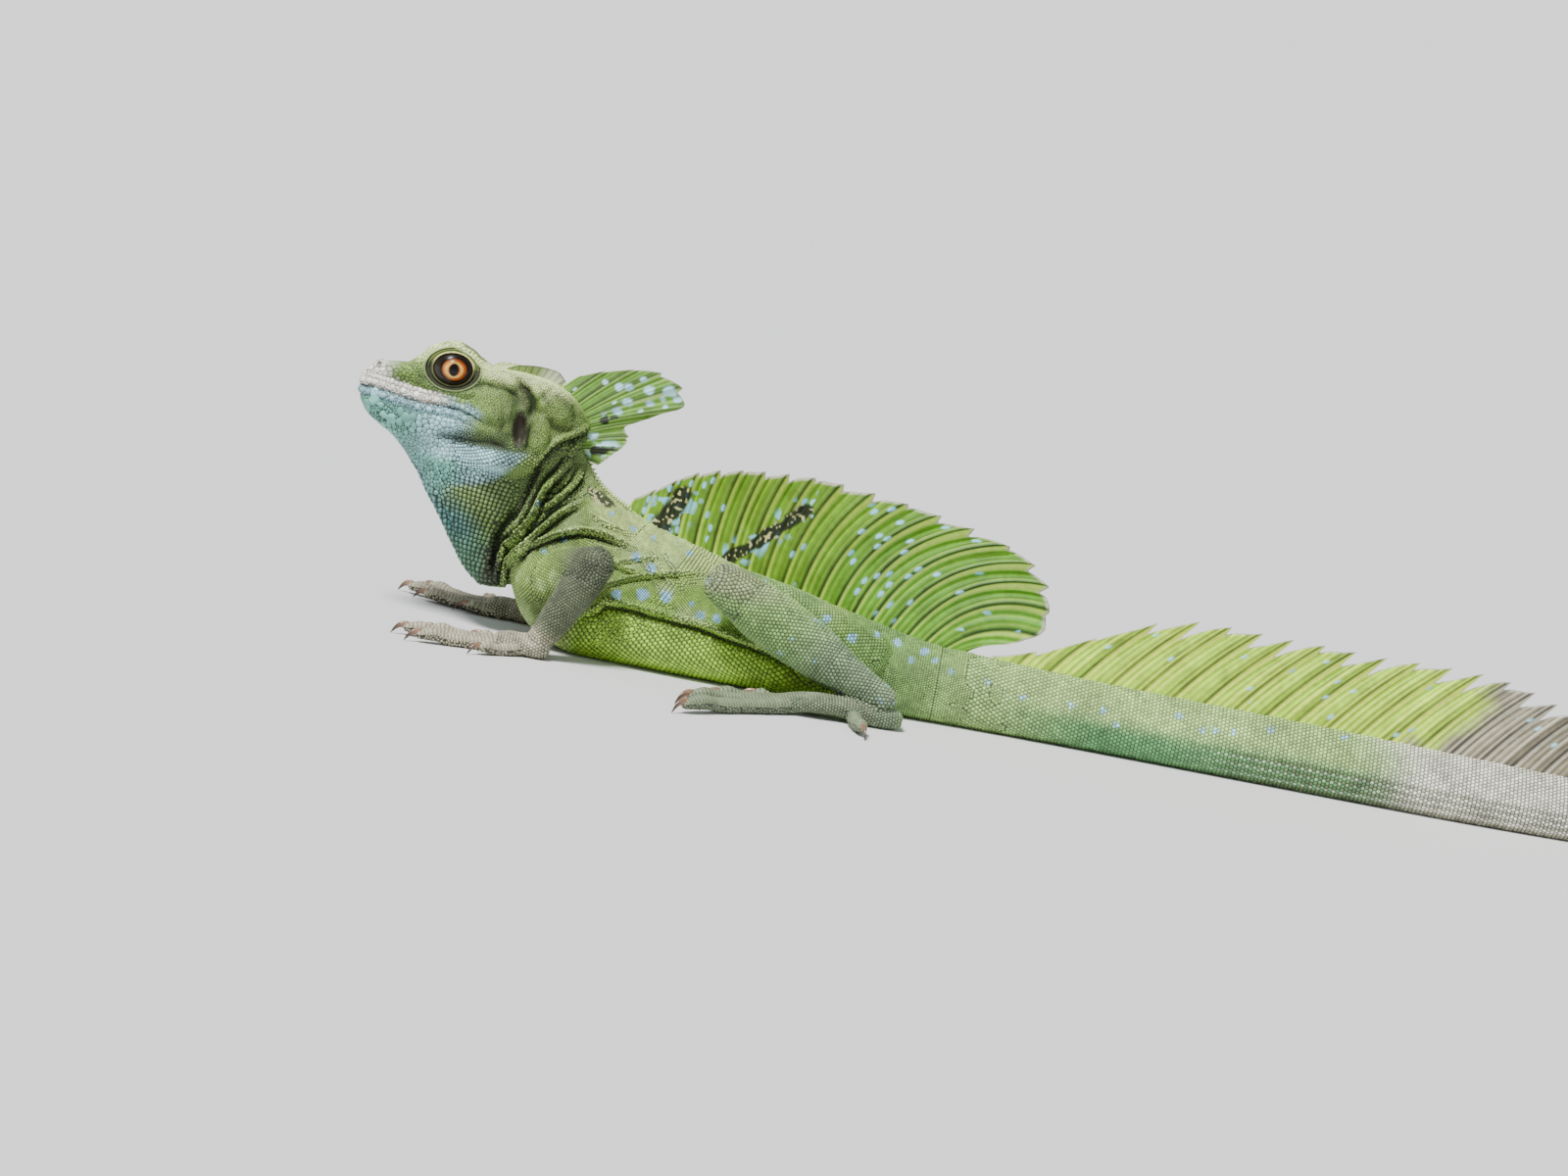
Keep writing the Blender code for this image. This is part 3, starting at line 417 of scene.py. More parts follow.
@dataclass
class Loft:
    """A closed form over rings of points, all with the same count."""

    rings: Array

    def triangles(self) -> tuple[Array, Array]:
        """Points and triangles of the form with both ends closed."""
        rows, columns, _ = self.rings.shape
        points = self.rings.reshape(-1, 3)
        quads = grid_faces(rows, columns, True)
        tris = np.vstack([quads[:, [0, 1, 2]], quads[:, [0, 2, 3]]])
        ends = []
        centres = []
        for k, start in enumerate((0, (rows - 1) * columns)):
            centres.append(self.rings[0 if k == 0 else -1].mean(0))
            middle = len(points) + k
            ring = start + np.arange(columns)
            after = start + (np.arange(columns) + 1) % columns
            fan = np.column_stack([after, ring, np.full(columns, middle)])
            ends.append(fan if k == 0 else fan[:, [1, 0, 2]])
        return np.vstack([points, centres]), np.vstack([tris, *ends])

    def run(self) -> Array:
        """Length along the form to each ring, through the rings' middles."""
        middle = self.rings.mean(1)
        return np.concatenate([[0], np.cumsum(np.linalg.norm(np.diff(middle, axis=0), axis=1))])


def ring_between(bottom: Array, top: Array, half_width: float, profile: Array, side: Array) -> Array:
    """One ring between a belly and a back point.

    Args:
        bottom: Belly point.
        top: Back point.
        half_width: Half the ring's width.
        profile: Half profile as shares of height and of half width.
        side: Direction across the animal.

    Returns:
        The ring's points, up the +side and down the other.
    """
    spine = bottom + (top - bottom) * profile[:, :1]
    out = half_width * profile[:, 1:] * side
    return np.vstack([spine + out, (spine - out)[-2:0:-1]])


def tail_line(lengths: Array) -> Array:
    """Points in plan and headings of the tail's middle line at lengths from the vent."""
    fine = np.linspace(0.0, TAIL_LENGTHS[-1][0], 1001)
    heading = np.radians(curve_through(TAIL_HEADINGS, fine)[:, 0])
    step = fine[1] - fine[0]
    x = VENT_X + np.concatenate([[0], np.cumsum(np.cos(heading)[:-1] * step)])
    y = np.concatenate([[0], np.cumsum(np.sin(heading)[:-1] * step)])
    return np.column_stack([np.interp(lengths, fine, v) for v in (x, y, heading)])


def body_loft(rows_a_ring: float = 9.0, samples: int = 49) -> Loft:
    """Neck and trunk as one form."""
    neck = spaced_profile(NECK_PROFILE, samples)
    trunk = spaced_profile(TRUNK_PROFILE, samples)
    last = len(BODY_RINGS) - 1
    knots = [(i, *row) for i, row in enumerate(BODY_RINGS)]
    places = np.linspace(0, last, int(last * rows_a_ring) + 1)
    rings = []
    for place, row in zip(places, curve_through(knots, places)):
        blend = float(smooth(2.0, 6.0, place))
        bottom, top = np.array([row[0], 0.0, row[1]]), np.array([row[2], 0.0, row[3]])
        profile = neck * (1 - blend) + trunk * blend
        rings.append(ring_between(bottom, top, row[4], profile, np.array([0.0, 1.0, 0.0])))
    return Loft(np.array(rings))


def tail_loft(spacing: float = 1.5, samples: int = 31) -> Loft:
    """The whole tail as one form."""
    trunk = spaced_profile(TRUNK_PROFILE, samples)
    tail = spaced_profile(TAIL_PROFILE, samples)
    end = TAIL_LENGTHS[-1][0]
    lengths = np.linspace(0.0, end, int(end / spacing) + 1)
    rings = []
    sizes = curve_through(TAIL_LENGTHS, lengths)
    for length, (x, y, heading), (height, half) in zip(lengths, tail_line(lengths), sizes):
        blend = min(1.0, length / 40.0)
        side = np.array([-math.sin(heading), math.cos(heading), 0.0])
        profile = trunk * (1 - blend) + tail * blend
        rings.append(ring_between(np.array([x, y, 0.0]), np.array([x, y, height]), half, profile, side))
    return Loft(np.array(rings))


def head_loft(rows: int = 120, samples: int = 49) -> Loft:
    """The head with its mouth shut."""
    xs = np.linspace(*HEAD_X, rows)
    lines = [line_at(k, xs) for k in (CROWN, BROW_RISE, HEAD_HALF_WIDTH, MOUTH, JAW_EDGE)]
    rings = []
    for x, crown, brow, wide, mouth, jaw in zip(xs, *lines):
        tall, deep = crown - mouth, mouth - jaw
        profile = (
            (jaw, 0.0),
            (jaw + 0.04 * deep, 0.42 * wide),
            (jaw + 0.22 * deep, 0.80 * wide),
            (mouth - 0.40 * deep, 0.97 * wide),
            (mouth, wide),
            (mouth + 0.22 * tall, 0.98 * wide),
            (mouth + 0.55 * tall, 0.90 * wide),
            (crown + 0.68 * brow - 0.10 * tall, 0.81 * wide),
            (crown + brow, 0.60 * wide),
            (crown + 0.3 * brow, 0.28 * wide),
            (crown, 0.0),
        )
        half = spaced_profile(profile, samples)
        near = np.column_stack([np.full(samples, x), half[:, 1], half[:, 0]])
        far = near[-2:0:-1] * np.array([1.0, -1.0, 1.0])
        rings.append(np.vstack([near, far]))
    return Loft(np.array(rings))


def throat_loft(rows: int = 60, sides: int = 64) -> Loft:
    """The pouch of skin under the jaw."""
    knots = [(i, *row) for i, row in enumerate(THROAT_RINGS)]
    angle = np.linspace(0.0, math.tau, sides, endpoint=False)
    share = (1 - np.cos(angle)) / 2
    rings = []
    stations = curve_through(knots, np.linspace(0, len(THROAT_RINGS) - 1, rows))
    for front_x, front_z, rear_x, rear_z, half in stations:
        out = half * np.sin(angle) * (0.72 + 0.4 * share)
        rings.append(np.column_stack([front_x + (rear_x - front_x) * share, out,
                                      front_z + (rear_z - front_z) * share]))
    return Loft(np.array(rings))


def tube(points: Array, radii: Array, sides: int = 24) -> Loft:
    """A tube along points.

    Args:
        points: Middle of each ring.
        radii: For each ring, its half size across the side view and across the plan.
        sides: Points in each ring.

    Returns:
        The tube as a loft.
    """
    points, radii = np.asarray(points, float), np.asarray(radii, float)
    ahead = np.empty_like(points)
    ahead[1:-1] = points[2:] - points[:-2]
    ahead[0], ahead[-1] = points[1] - points[0], points[-1] - points[-2]
    ahead = unit(ahead)
    flat = unit(np.cross(ahead, [0.0, 0.0, 1.0]))
    upright = np.cross(flat, ahead)
    angle = np.linspace(0, math.tau, sides, endpoint=False)
    rings = (points[:, None] + flat[:, None] * (radii[:, 1:, None] * np.cos(angle)[None, :, None])
             + upright[:, None] * (radii[:, :1, None] * np.sin(angle)[None, :, None]))
    return Loft(rings)


@dataclass(frozen=True)
class LegPlan:
    """Joints of one leg, for the left side, and the turn of its hand or foot."""

    root: tuple[float, float, float]
    joint: tuple[float, float, float]
    wrist: tuple[float, float, float]
    turn: float
    hind: bool
    side: Side

    def points(self) -> Array:
        """Root, joint and wrist on this leg's own side."""
        return np.array([self.root, self.joint, self.wrist]) * np.array([1.0, self.side.value, 1.0])


LEGS = (
    LegPlan((-112.0, 9.0, 18.5), (-97.0, 26.5, 30.0), (-108.5, 25.5, 6.4), 2.0, False, Side.LEFT),
    LegPlan((-17.0, 8.5, 14.5), (-60.5, 28.0, 31.5), (-9.5, 30.5, 7.6), 8.0, True, Side.LEFT),
    LegPlan((-112.0, 9.0, 18.5), (-98.0, 27.5, 28.5), (-116.0, 27.0, 6.2), 10.0, False, Side.RIGHT),
    LegPlan((-17.0, 8.5, 14.5), (-57.5, 29.0, 30.5), (-7.0, 32.0, 7.4), 18.0, True, Side.RIGHT),
)
UPPER_ARM: Knots = ((0.0, 9.0, 8.0), (0.35, 8.6, 7.6), (0.75, 6.4, 5.8), (1.0, 5.2, 5.0))
FOREARM: Knots = ((0.0, 5.2, 5.0), (0.3, 5.6, 5.4), (0.7, 4.8, 4.6), (1.0, 3.9, 4.3))
THIGH: Knots = ((0.0, 9.0, 8.5), (0.4, 9.4, 8.4), (0.8, 7.4, 6.6), (1.0, 6.0, 5.8))
SHANK: Knots = ((0.0, 6.0, 5.6), (0.3, 8.3, 6.4), (0.55, 7.6, 6.0), (0.8, 5.2, 4.8), (1.0, 4.1, 4.3))
FINGERS: Knots = (
    (7.0, -3.6, -16.0, 11.0, 1.9),
    (10.5, -1.9, -4.0, 21.0, 2.0),
    (11.5, 0.4, 4.0, 27.0, 2.1),
    (10.5, 2.8, 16.0, 25.0, 2.1),
    (7.0, 4.4, 38.0, 13.0, 1.9),
)
TOES: Knots = (
    (23.0, -4.2, -12.0, 13.0, 2.0),
    (26.0, -2.4, 14.0, 23.0, 2.3),
    (27.0, -0.2, 24.0, 33.0, 2.4),
    (25.5, 2.6, 34.0, 42.0, 2.4),
    (8.0, 4.2, 88.0, 15.0, 2.1),
)
HAND_PALM = (12.0, 5.4, 3.4)
FOOT_PALM = (27.0, 5.0, 3.3)
PALM_STATIONS: Knots = ((-0.22, 0.55, 0.7), (-0.12, 0.85, 0.92), (0.1, 1.0, 1.0), (0.45, 0.86, 1.0),
                        (0.8, 0.8, 1.15), (1.0, 0.66, 1.1), (1.12, 0.4, 0.7))
DIGIT_STATIONS: Knots = ((0.0, 1.05, 1.25), (0.35, 0.92, 0.98), (0.66, 0.84, 1.05), (0.86, 0.84, 1.45),
                         (1.0, 0.66, 1.25))
CLAW_LENGTH = {False: 4.6, True: 5.4}
DIGIT_CURL = 0.06
FLAT = 0.35


@dataclass
class Digit:
    """One finger or toe: its middle line and thickness, and the claw that goes on from it."""

    root: Array
    aim: Array
    curl: Array
    length: float
    half: float
    palm_tall: float
    claw: float

    def line(self, run: Array, height: Array) -> Array:
        """Points of the middle line at runs from the root, at given heights."""
        bend = self.curl * (DIGIT_CURL * self.length * (np.maximum(run, 0.0)[:, None] / self.length) ** 2)
        return self.root + self.aim * run[:, None] + bend + np.array([0, 0, 1.0]) * height[:, None]

    def flesh(self) -> Loft:
        """The digit without its claw, with swollen joints and a round end."""
        start = -0.18 * min(self.length, 20.0) - 1.5
        rows = [(start, self.half, self.palm_tall * 0.9)]
        rows += [(self.length * r, self.half * t, self.half * h - FLAT) for r, t, h in DIGIT_STATIONS]
        run = np.linspace(start, self.length, 60)
        thick, height = curve_through(rows, run).T
        joints = sum(np.exp(-(((run / self.length) - k) / 0.06) ** 2) for k in (0.28, 0.62, 0.86))
        thick = thick * (1.0 + 0.10 * joints - 0.04)
        tip_run = self.length + np.array([0.25, 0.5, 0.68]) * self.half * 0.8
        tip_thick = thick[-1] * np.array([0.93, 0.72, 0.42])
        run = np.concatenate([run, tip_run])
        thick = np.concatenate([thick, tip_thick])
        height = np.concatenate([height, np.full(3, height[-1])])
        return tube(self.line(run, height), np.column_stack([thick, thick]), 16)

    def nail(self) -> Loft:
        """The claw, deep and narrow, hooked down to the floor."""
        share = np.linspace(0.0, 1.0, 14)
        run = self.length + self.half * 0.1 + self.claw * share * 0.93
        height = self.half * (1.32 + 0.30 * np.sin(share * math.pi * 0.62) - 1.62 * share ** 2.2) + 0.1
        tall = self.half * 0.56 * (1 - share) ** 0.75 + 0.05
        wide = self.half * 0.36 * (1 - share) ** 0.8 + 0.05
        return tube(self.line(run, height), np.column_stack([tall, wide]), 14)


@dataclass
class Leg:
    """One leg: an upper and a lower length, and a hand or foot with five digits."""

    plan: LegPlan

    def length(self, start: Array, end: Array, shape: Knots, rows: int = 60) -> Loft:
        """One length of the leg as a tube with round ends.

        Args:
            start: Joint at its root.
            end: Joint at its far end.
            shape: Half thickness at shares of the length.
            rows: Rings between the joints.

        Returns:
            The length as a loft.
        """
        run = end - start
        way = unit(run)
        angles = np.linspace(1.46, 0.0, 12, endpoint=False)
        first, last = curve_through(shape, np.array([0.0, 1.0]))
        head = [(start - way * first[0] * 0.85 * math.sin(a), first * math.cos(a)) for a in angles]
        body = [(start + run * s, curve_through(shape, s)[0]) for s in np.linspace(0.0, 1.0, rows)]
        foot = [(end + way * last[0] * 0.85 * math.sin(a), last * math.cos(a)) for a in angles[::-1]]
        rings = [*head, *body, *foot]
        return tube(np.array([r[0] for r in rings]), np.array([r[1] for r in rings]), 40)

    def directions(self) -> tuple[Array, Array]:
        """Forward and outward directions of the hand or foot."""
        heading, sign = math.radians(self.plan.turn), self.plan.side.value
        forward = np.array([-math.cos(heading), sign * math.sin(heading), 0.0])
        outward = np.array([math.sin(heading), sign * math.cos(heading), 0.0])
        return forward, outward

    def palm(self) -> Loft:
        """The flat of the hand or foot."""
        length, half, tall = FOOT_PALM if self.plan.hind else HAND_PALM
        forward, _ = self.directions()
        wrist = self.plan.points()[2]
        base = np.array([wrist[0], wrist[1], -FLAT])
        share = np.linspace(PALM_STATIONS[0][0], PALM_STATIONS[-1][0], 50)
        high, wide = curve_through(PALM_STATIONS, share).T
        arch = 0.35 * np.sin(math.pi * np.clip(share, 0, 1)) if self.plan.hind else np.zeros_like(share)
        rise = np.array([0, 0, 1.0]) * (tall * (1 + arch))[:, None]
        points = base + forward * (share * length)[:, None] + rise
        return tube(points, np.column_stack([tall * high, half * wide]), 40)

    def digits(self) -> list[Digit]:
        """The five fingers or toes."""
        forward, outward = self.directions()
        wrist = self.plan.points()[2]
        found = []
        for ahead, out, bearing, length, half in TOES if self.plan.hind else FINGERS:
            angle = math.radians(bearing)
            aim = forward * math.cos(angle) + outward * math.sin(angle)
            curl = outward * math.cos(angle) - forward * math.sin(angle)
            root = np.array([wrist[0], wrist[1], 0.0]) + forward * ahead + outward * out
            tall = (FOOT_PALM if self.plan.hind else HAND_PALM)[2]
            found.append(Digit(root, aim, curl, length, half, tall, CLAW_LENGTH[self.plan.hind]))
        return found

    def segments(self) -> list[tuple[Loft, float]]:
        """Upper and lower length, each with its order along the leg."""
        root, joint, wrist = self.plan.points()
        upper, lower = (THIGH, SHANK) if self.plan.hind else (UPPER_ARM, FOREARM)
        return [(self.length(root, joint, upper), 0.0), (self.length(joint, wrist, lower), 1.0)]


@dataclass(frozen=True)
class Fold:
    """A fold or crease of skin along a line in side view, the same on both sides.

    Heights are as the camera sees them, so that a point further out lies a little higher. A fold has a
    valley on the right of its line, or on both sides; a crease has a height below zero.
    """

    line: Knots
    width: float
    height: float
    groove: float = 0.6
    both: bool = False

    def relief(self, x: Array, seen: Array) -> Array:
        """How far the fold lifts or sinks the skin.

        Args:
            x: Places along the body.
            seen: Their seen heights.

        Returns:
            Lift along the normal, in millimetres.
        """
        reach = 3.4 * self.width
        line = np.array(self.line)
        near = ((x > line[:, 0].min() - reach) & (x < line[:, 0].max() + reach)
                & (seen > line[:, 1].min() - reach) & (seen < line[:, 1].max() + reach))
        lift = np.zeros(len(x))
        if not near.any():
            return lift
        fine = curve_through([(i, *p) for i, p in enumerate(self.line)], np.linspace(0, len(line) - 1, 80))
        p = np.column_stack([x[near], seen[near]])
        away = np.linalg.norm(p[:, None] - fine[None], axis=2)
        nearest = away.argmin(1)
        d = away[np.arange(len(p)), nearest]
        ahead = np.gradient(fine, axis=0)[nearest]
        off = p - fine[nearest]
        left = np.sign(ahead[:, 0] * off[:, 1] - ahead[:, 1] * off[:, 0]) * d
        taper = np.clip(np.sin(math.pi * np.clip(nearest / 79.0, 0.015, 0.985)) * 1.6, 0, 1) ** 0.7
        ridge = np.exp(-(d / self.width) ** 2)
        valley = np.exp(-((left + 1.5 * self.width) / (0.85 * self.width)) ** 2)
        if self.both:
            valley = valley + np.exp(-((left - 1.5 * self.width) / (0.85 * self.width)) ** 2)
        lift[near] = taper * self.height * (ridge - self.groove * valley)
        return lift


FOLDS = (
    Fold(((-101.0, 10.0), (-96.0, 13.0), (-93.6, 15.5), (-86.0, 15.8), (-80.0, 15.2), (-66.0, 14.2),
          (-57.0, 12.7), (-43.6, 10.5), (-31.0, 5.0)), 1.1, 1.9, 0.9),
    Fold(((-120.3, 11.5), (-122.2, 16.0), (-121.6, 21.0), (-120.0, 26.0), (-117.0, 28.4), (-113.0, 31.0),
          (-109.0, 33.0), (-104.0, 34.6), (-100.0, 34.8), (-95.0, 34.0), (-89.0, 32.6)), 0.8, 2.6, 0.95),
    Fold(((-123.4, 12.5), (-124.2, 18.0), (-121.6, 25.0), (-118.0, 30.0), (-114.6, 34.6), (-110.6, 39.2),
          (-106.0, 42.6)), 0.85, 2.6, 0.8, True),
    Fold(((-118.6, 37.4), (-114.4, 40.8), (-111.0, 44.6), (-108.4, 48.6), (-107.4, 52.6)), 0.75, 2.2, 0.9,
         True),
    Fold(((-126.6, 16.0), (-126.2, 22.0), (-122.6, 29.5), (-119.6, 35.5), (-118.2, 40.6), (-116.8, 45.0),
          (-113.6, 50.0), (-110.6, 54.6)), 0.95, 2.8, 0.9, True),
    Fold(((-119.0, 42.6), (-115.6, 42.4), (-112.0, 44.0)), 0.6, 1.4, 0.8, True),
    Fold(((-126.6, 14.5), (-128.2, 22.0), (-127.4, 29.0), (-124.6, 36.0), (-122.4, 41.4), (-120.5, 47.0),
          (-119.0, 52.0), (-115.4, 56.0)), 1.0, -2.6, 0.0),
    Fold(((-120.8, 49.6), (-119.6, 54.4), (-115.6, 59.4), (-110.6, 62.4), (-107.0, 65.6)), 0.9, 1.9, 0.9),
    Fold(((-110.6, 59.6), (-111.4, 55.4), (-113.6, 51.6)), 0.6, 1.2, 0.8, True),
    Fold(((-116.6, 14.6), (-117.8, 19.0), (-116.2, 23.6), (-113.0, 26.0)), 0.45, -0.7, 0.0),
    Fold(((-115.2, 14.0), (-116.4, 18.8), (-114.8, 22.8)), 0.42, -0.7, 0.0),
    Fold(((-113.8, 13.6), (-115.0, 18.6), (-113.6, 21.8)), 0.4, -0.6, 0.0),
    Fold(((-95.0, 20.0), (-88.0, 23.5), (-79.0, 26.4), (-68.0, 29.0)), 0.7, 1.0, 0.9),
    Fold(((-96.0, 25.5), (-88.0, 29.0), (-80.0, 31.0)), 0.6, 0.7, 0.8),
    Fold(((-104.0, 40.0), (-96.0, 37.4), (-88.0, 36.0)), 0.6, 0.5, 0.8),
    Fold(((-103.0, 29.6), (-94.0, 26.8), (-84.0, 25.2)), 0.7, 0.9, 0.8),
    Fold(((-86.0, 31.0), (-82.5, 26.5), (-78.0, 21.0)), 0.5, 0.6, 0.8),
    Fold(((-83.5, 33.0), (-79.5, 28.0), (-74.5, 23.0)), 0.5, 0.6, 0.8),
    Fold(((-80.5, 34.0), (-76.5, 29.5), (-71.5, 25.0)), 0.5, 0.5, 0.8),
    Fold(((-152.0, 48.0), (-143.0, 48.2), (-133.0, 49.6), (-126.0, 51.0), (-122.4, 52.4)), 2.6, 1.2, 0.0),
    Fold(((-151.0, 54.2), (-145.0, 53.8), (-137.0, 54.3), (-130.0, 55.0)), 1.3, -1.1, 0.0),
    Fold(((-137.0, 58.0), (-131.0, 55.6), (-128.0, 54.0)), 1.0, 0.5, 0.5),
    Fold(((-125.6, 64.0), (-124.4, 67.4), (-125.6, 70.0), (-127.6, 72.4), (-130.6, 74.4)), 1.0, -2.4, 0.0),
    Fold(((-124.0, 68.0), (-121.6, 71.6), (-119.6, 75.0)), 0.9, -0.8, 0.0),
    Fold(((-123.6, 63.0), (-124.6, 58.0), (-124.0, 53.6)), 0.7, -1.4, 0.0),
    Fold(((-121.0, 65.6), (-116.6, 63.0), (-111.6, 63.6)), 0.9, -0.7, 0.0),
    Fold(((-120.6, 72.6), (-115.8, 69.4), (-111.4, 66.4)), 0.7, -0.8, 0.0),
    Fold(((-143.0, 69.0), (-138.0, 71.6), (-132.6, 71.0), (-128.6, 67.0)), 0.9, -0.9, 0.0),
    Fold(((-122.0, 67.0), (-123.4, 70.4), (-125.4, 73.6)), 1.1, 1.1, 0.4),
    Fold(((-131.5, 66.0), (-130.8, 61.0), (-131.2, 56.6)), 1.0, 0.9, 0.5),
    Fold(((-159.6, 68.6), (-153.0, 67.4), (-145.4, 67.2), (-140.4, 69.4)), 0.8, 0.6, 0.7),
    Fold(((-129.5, 30.5), (-128.0, 25.0), (-127.6, 19.0)), 0.8, -0.7, 0.0),
    Fold(((-145.0, 41.0), (-138.0, 42.0), (-131.0, 41.0), (-127.0, 38.0)), 1.0, -0.4, 0.0),
    Fold(((-152.0, 46.0), (-148.0, 36.0), (-141.0, 25.0)), 0.6, 0.4, 0.8, True),
    Fold(((-149.0, 46.0), (-145.0, 36.0), (-138.0, 25.0)), 0.6, 0.4, 0.8, True),
)


@dataclass(frozen=True)
class Pit:
    """An oval pit or boss on each side of the head, in seen height."""

    x: float
    seen: float
    half_length: float
    half_height: float
    depth: float
    rim: float
    tilt: float = 0.0

    def spread(self, x: Array, seen: Array) -> Array:
        """0 at the middle, 1 on the oval's line."""
        c, s = math.cos(self.tilt), math.sin(self.tilt)
        dx, dz = x - self.x, seen - self.seen
        return np.hypot((dx * c + dz * s) / self.half_length, (dz * c - dx * s) / self.half_height)

    def relief(self, x: Array, seen: Array) -> Array:
        """Lift along the normal, in millimetres."""
        e = self.spread(x, seen)
        return -self.depth * smooth(1.0, 0.62, e) + self.rim * np.exp(-((e - 1.2) / 0.22) ** 2)


EAR = Pit(-127.3, 60.0, 1.9, 5.0, 2.4, 0.5, 0.06)
NOSTRIL = Pit(-170.8, 71.4, 0.8, 0.55, 0.9, 0.3, 0.3)
CHEEK_BOSS = Pit(-135.5, 65.5, 7.5, 5.5, -1.8, 0.0)
TEMPLE_BOSS = Pit(-134.5, 73.5, 6.0, 3.4, -1.5, 0.0)
NAPE_BOSS = Pit(-118.0, 68.5, 5.5, 5.4, -2.1, 0.0)
EAR_BOSS = Pit(-121.6, 60.4, 3.2, 6.2, -1.8, 0.0)


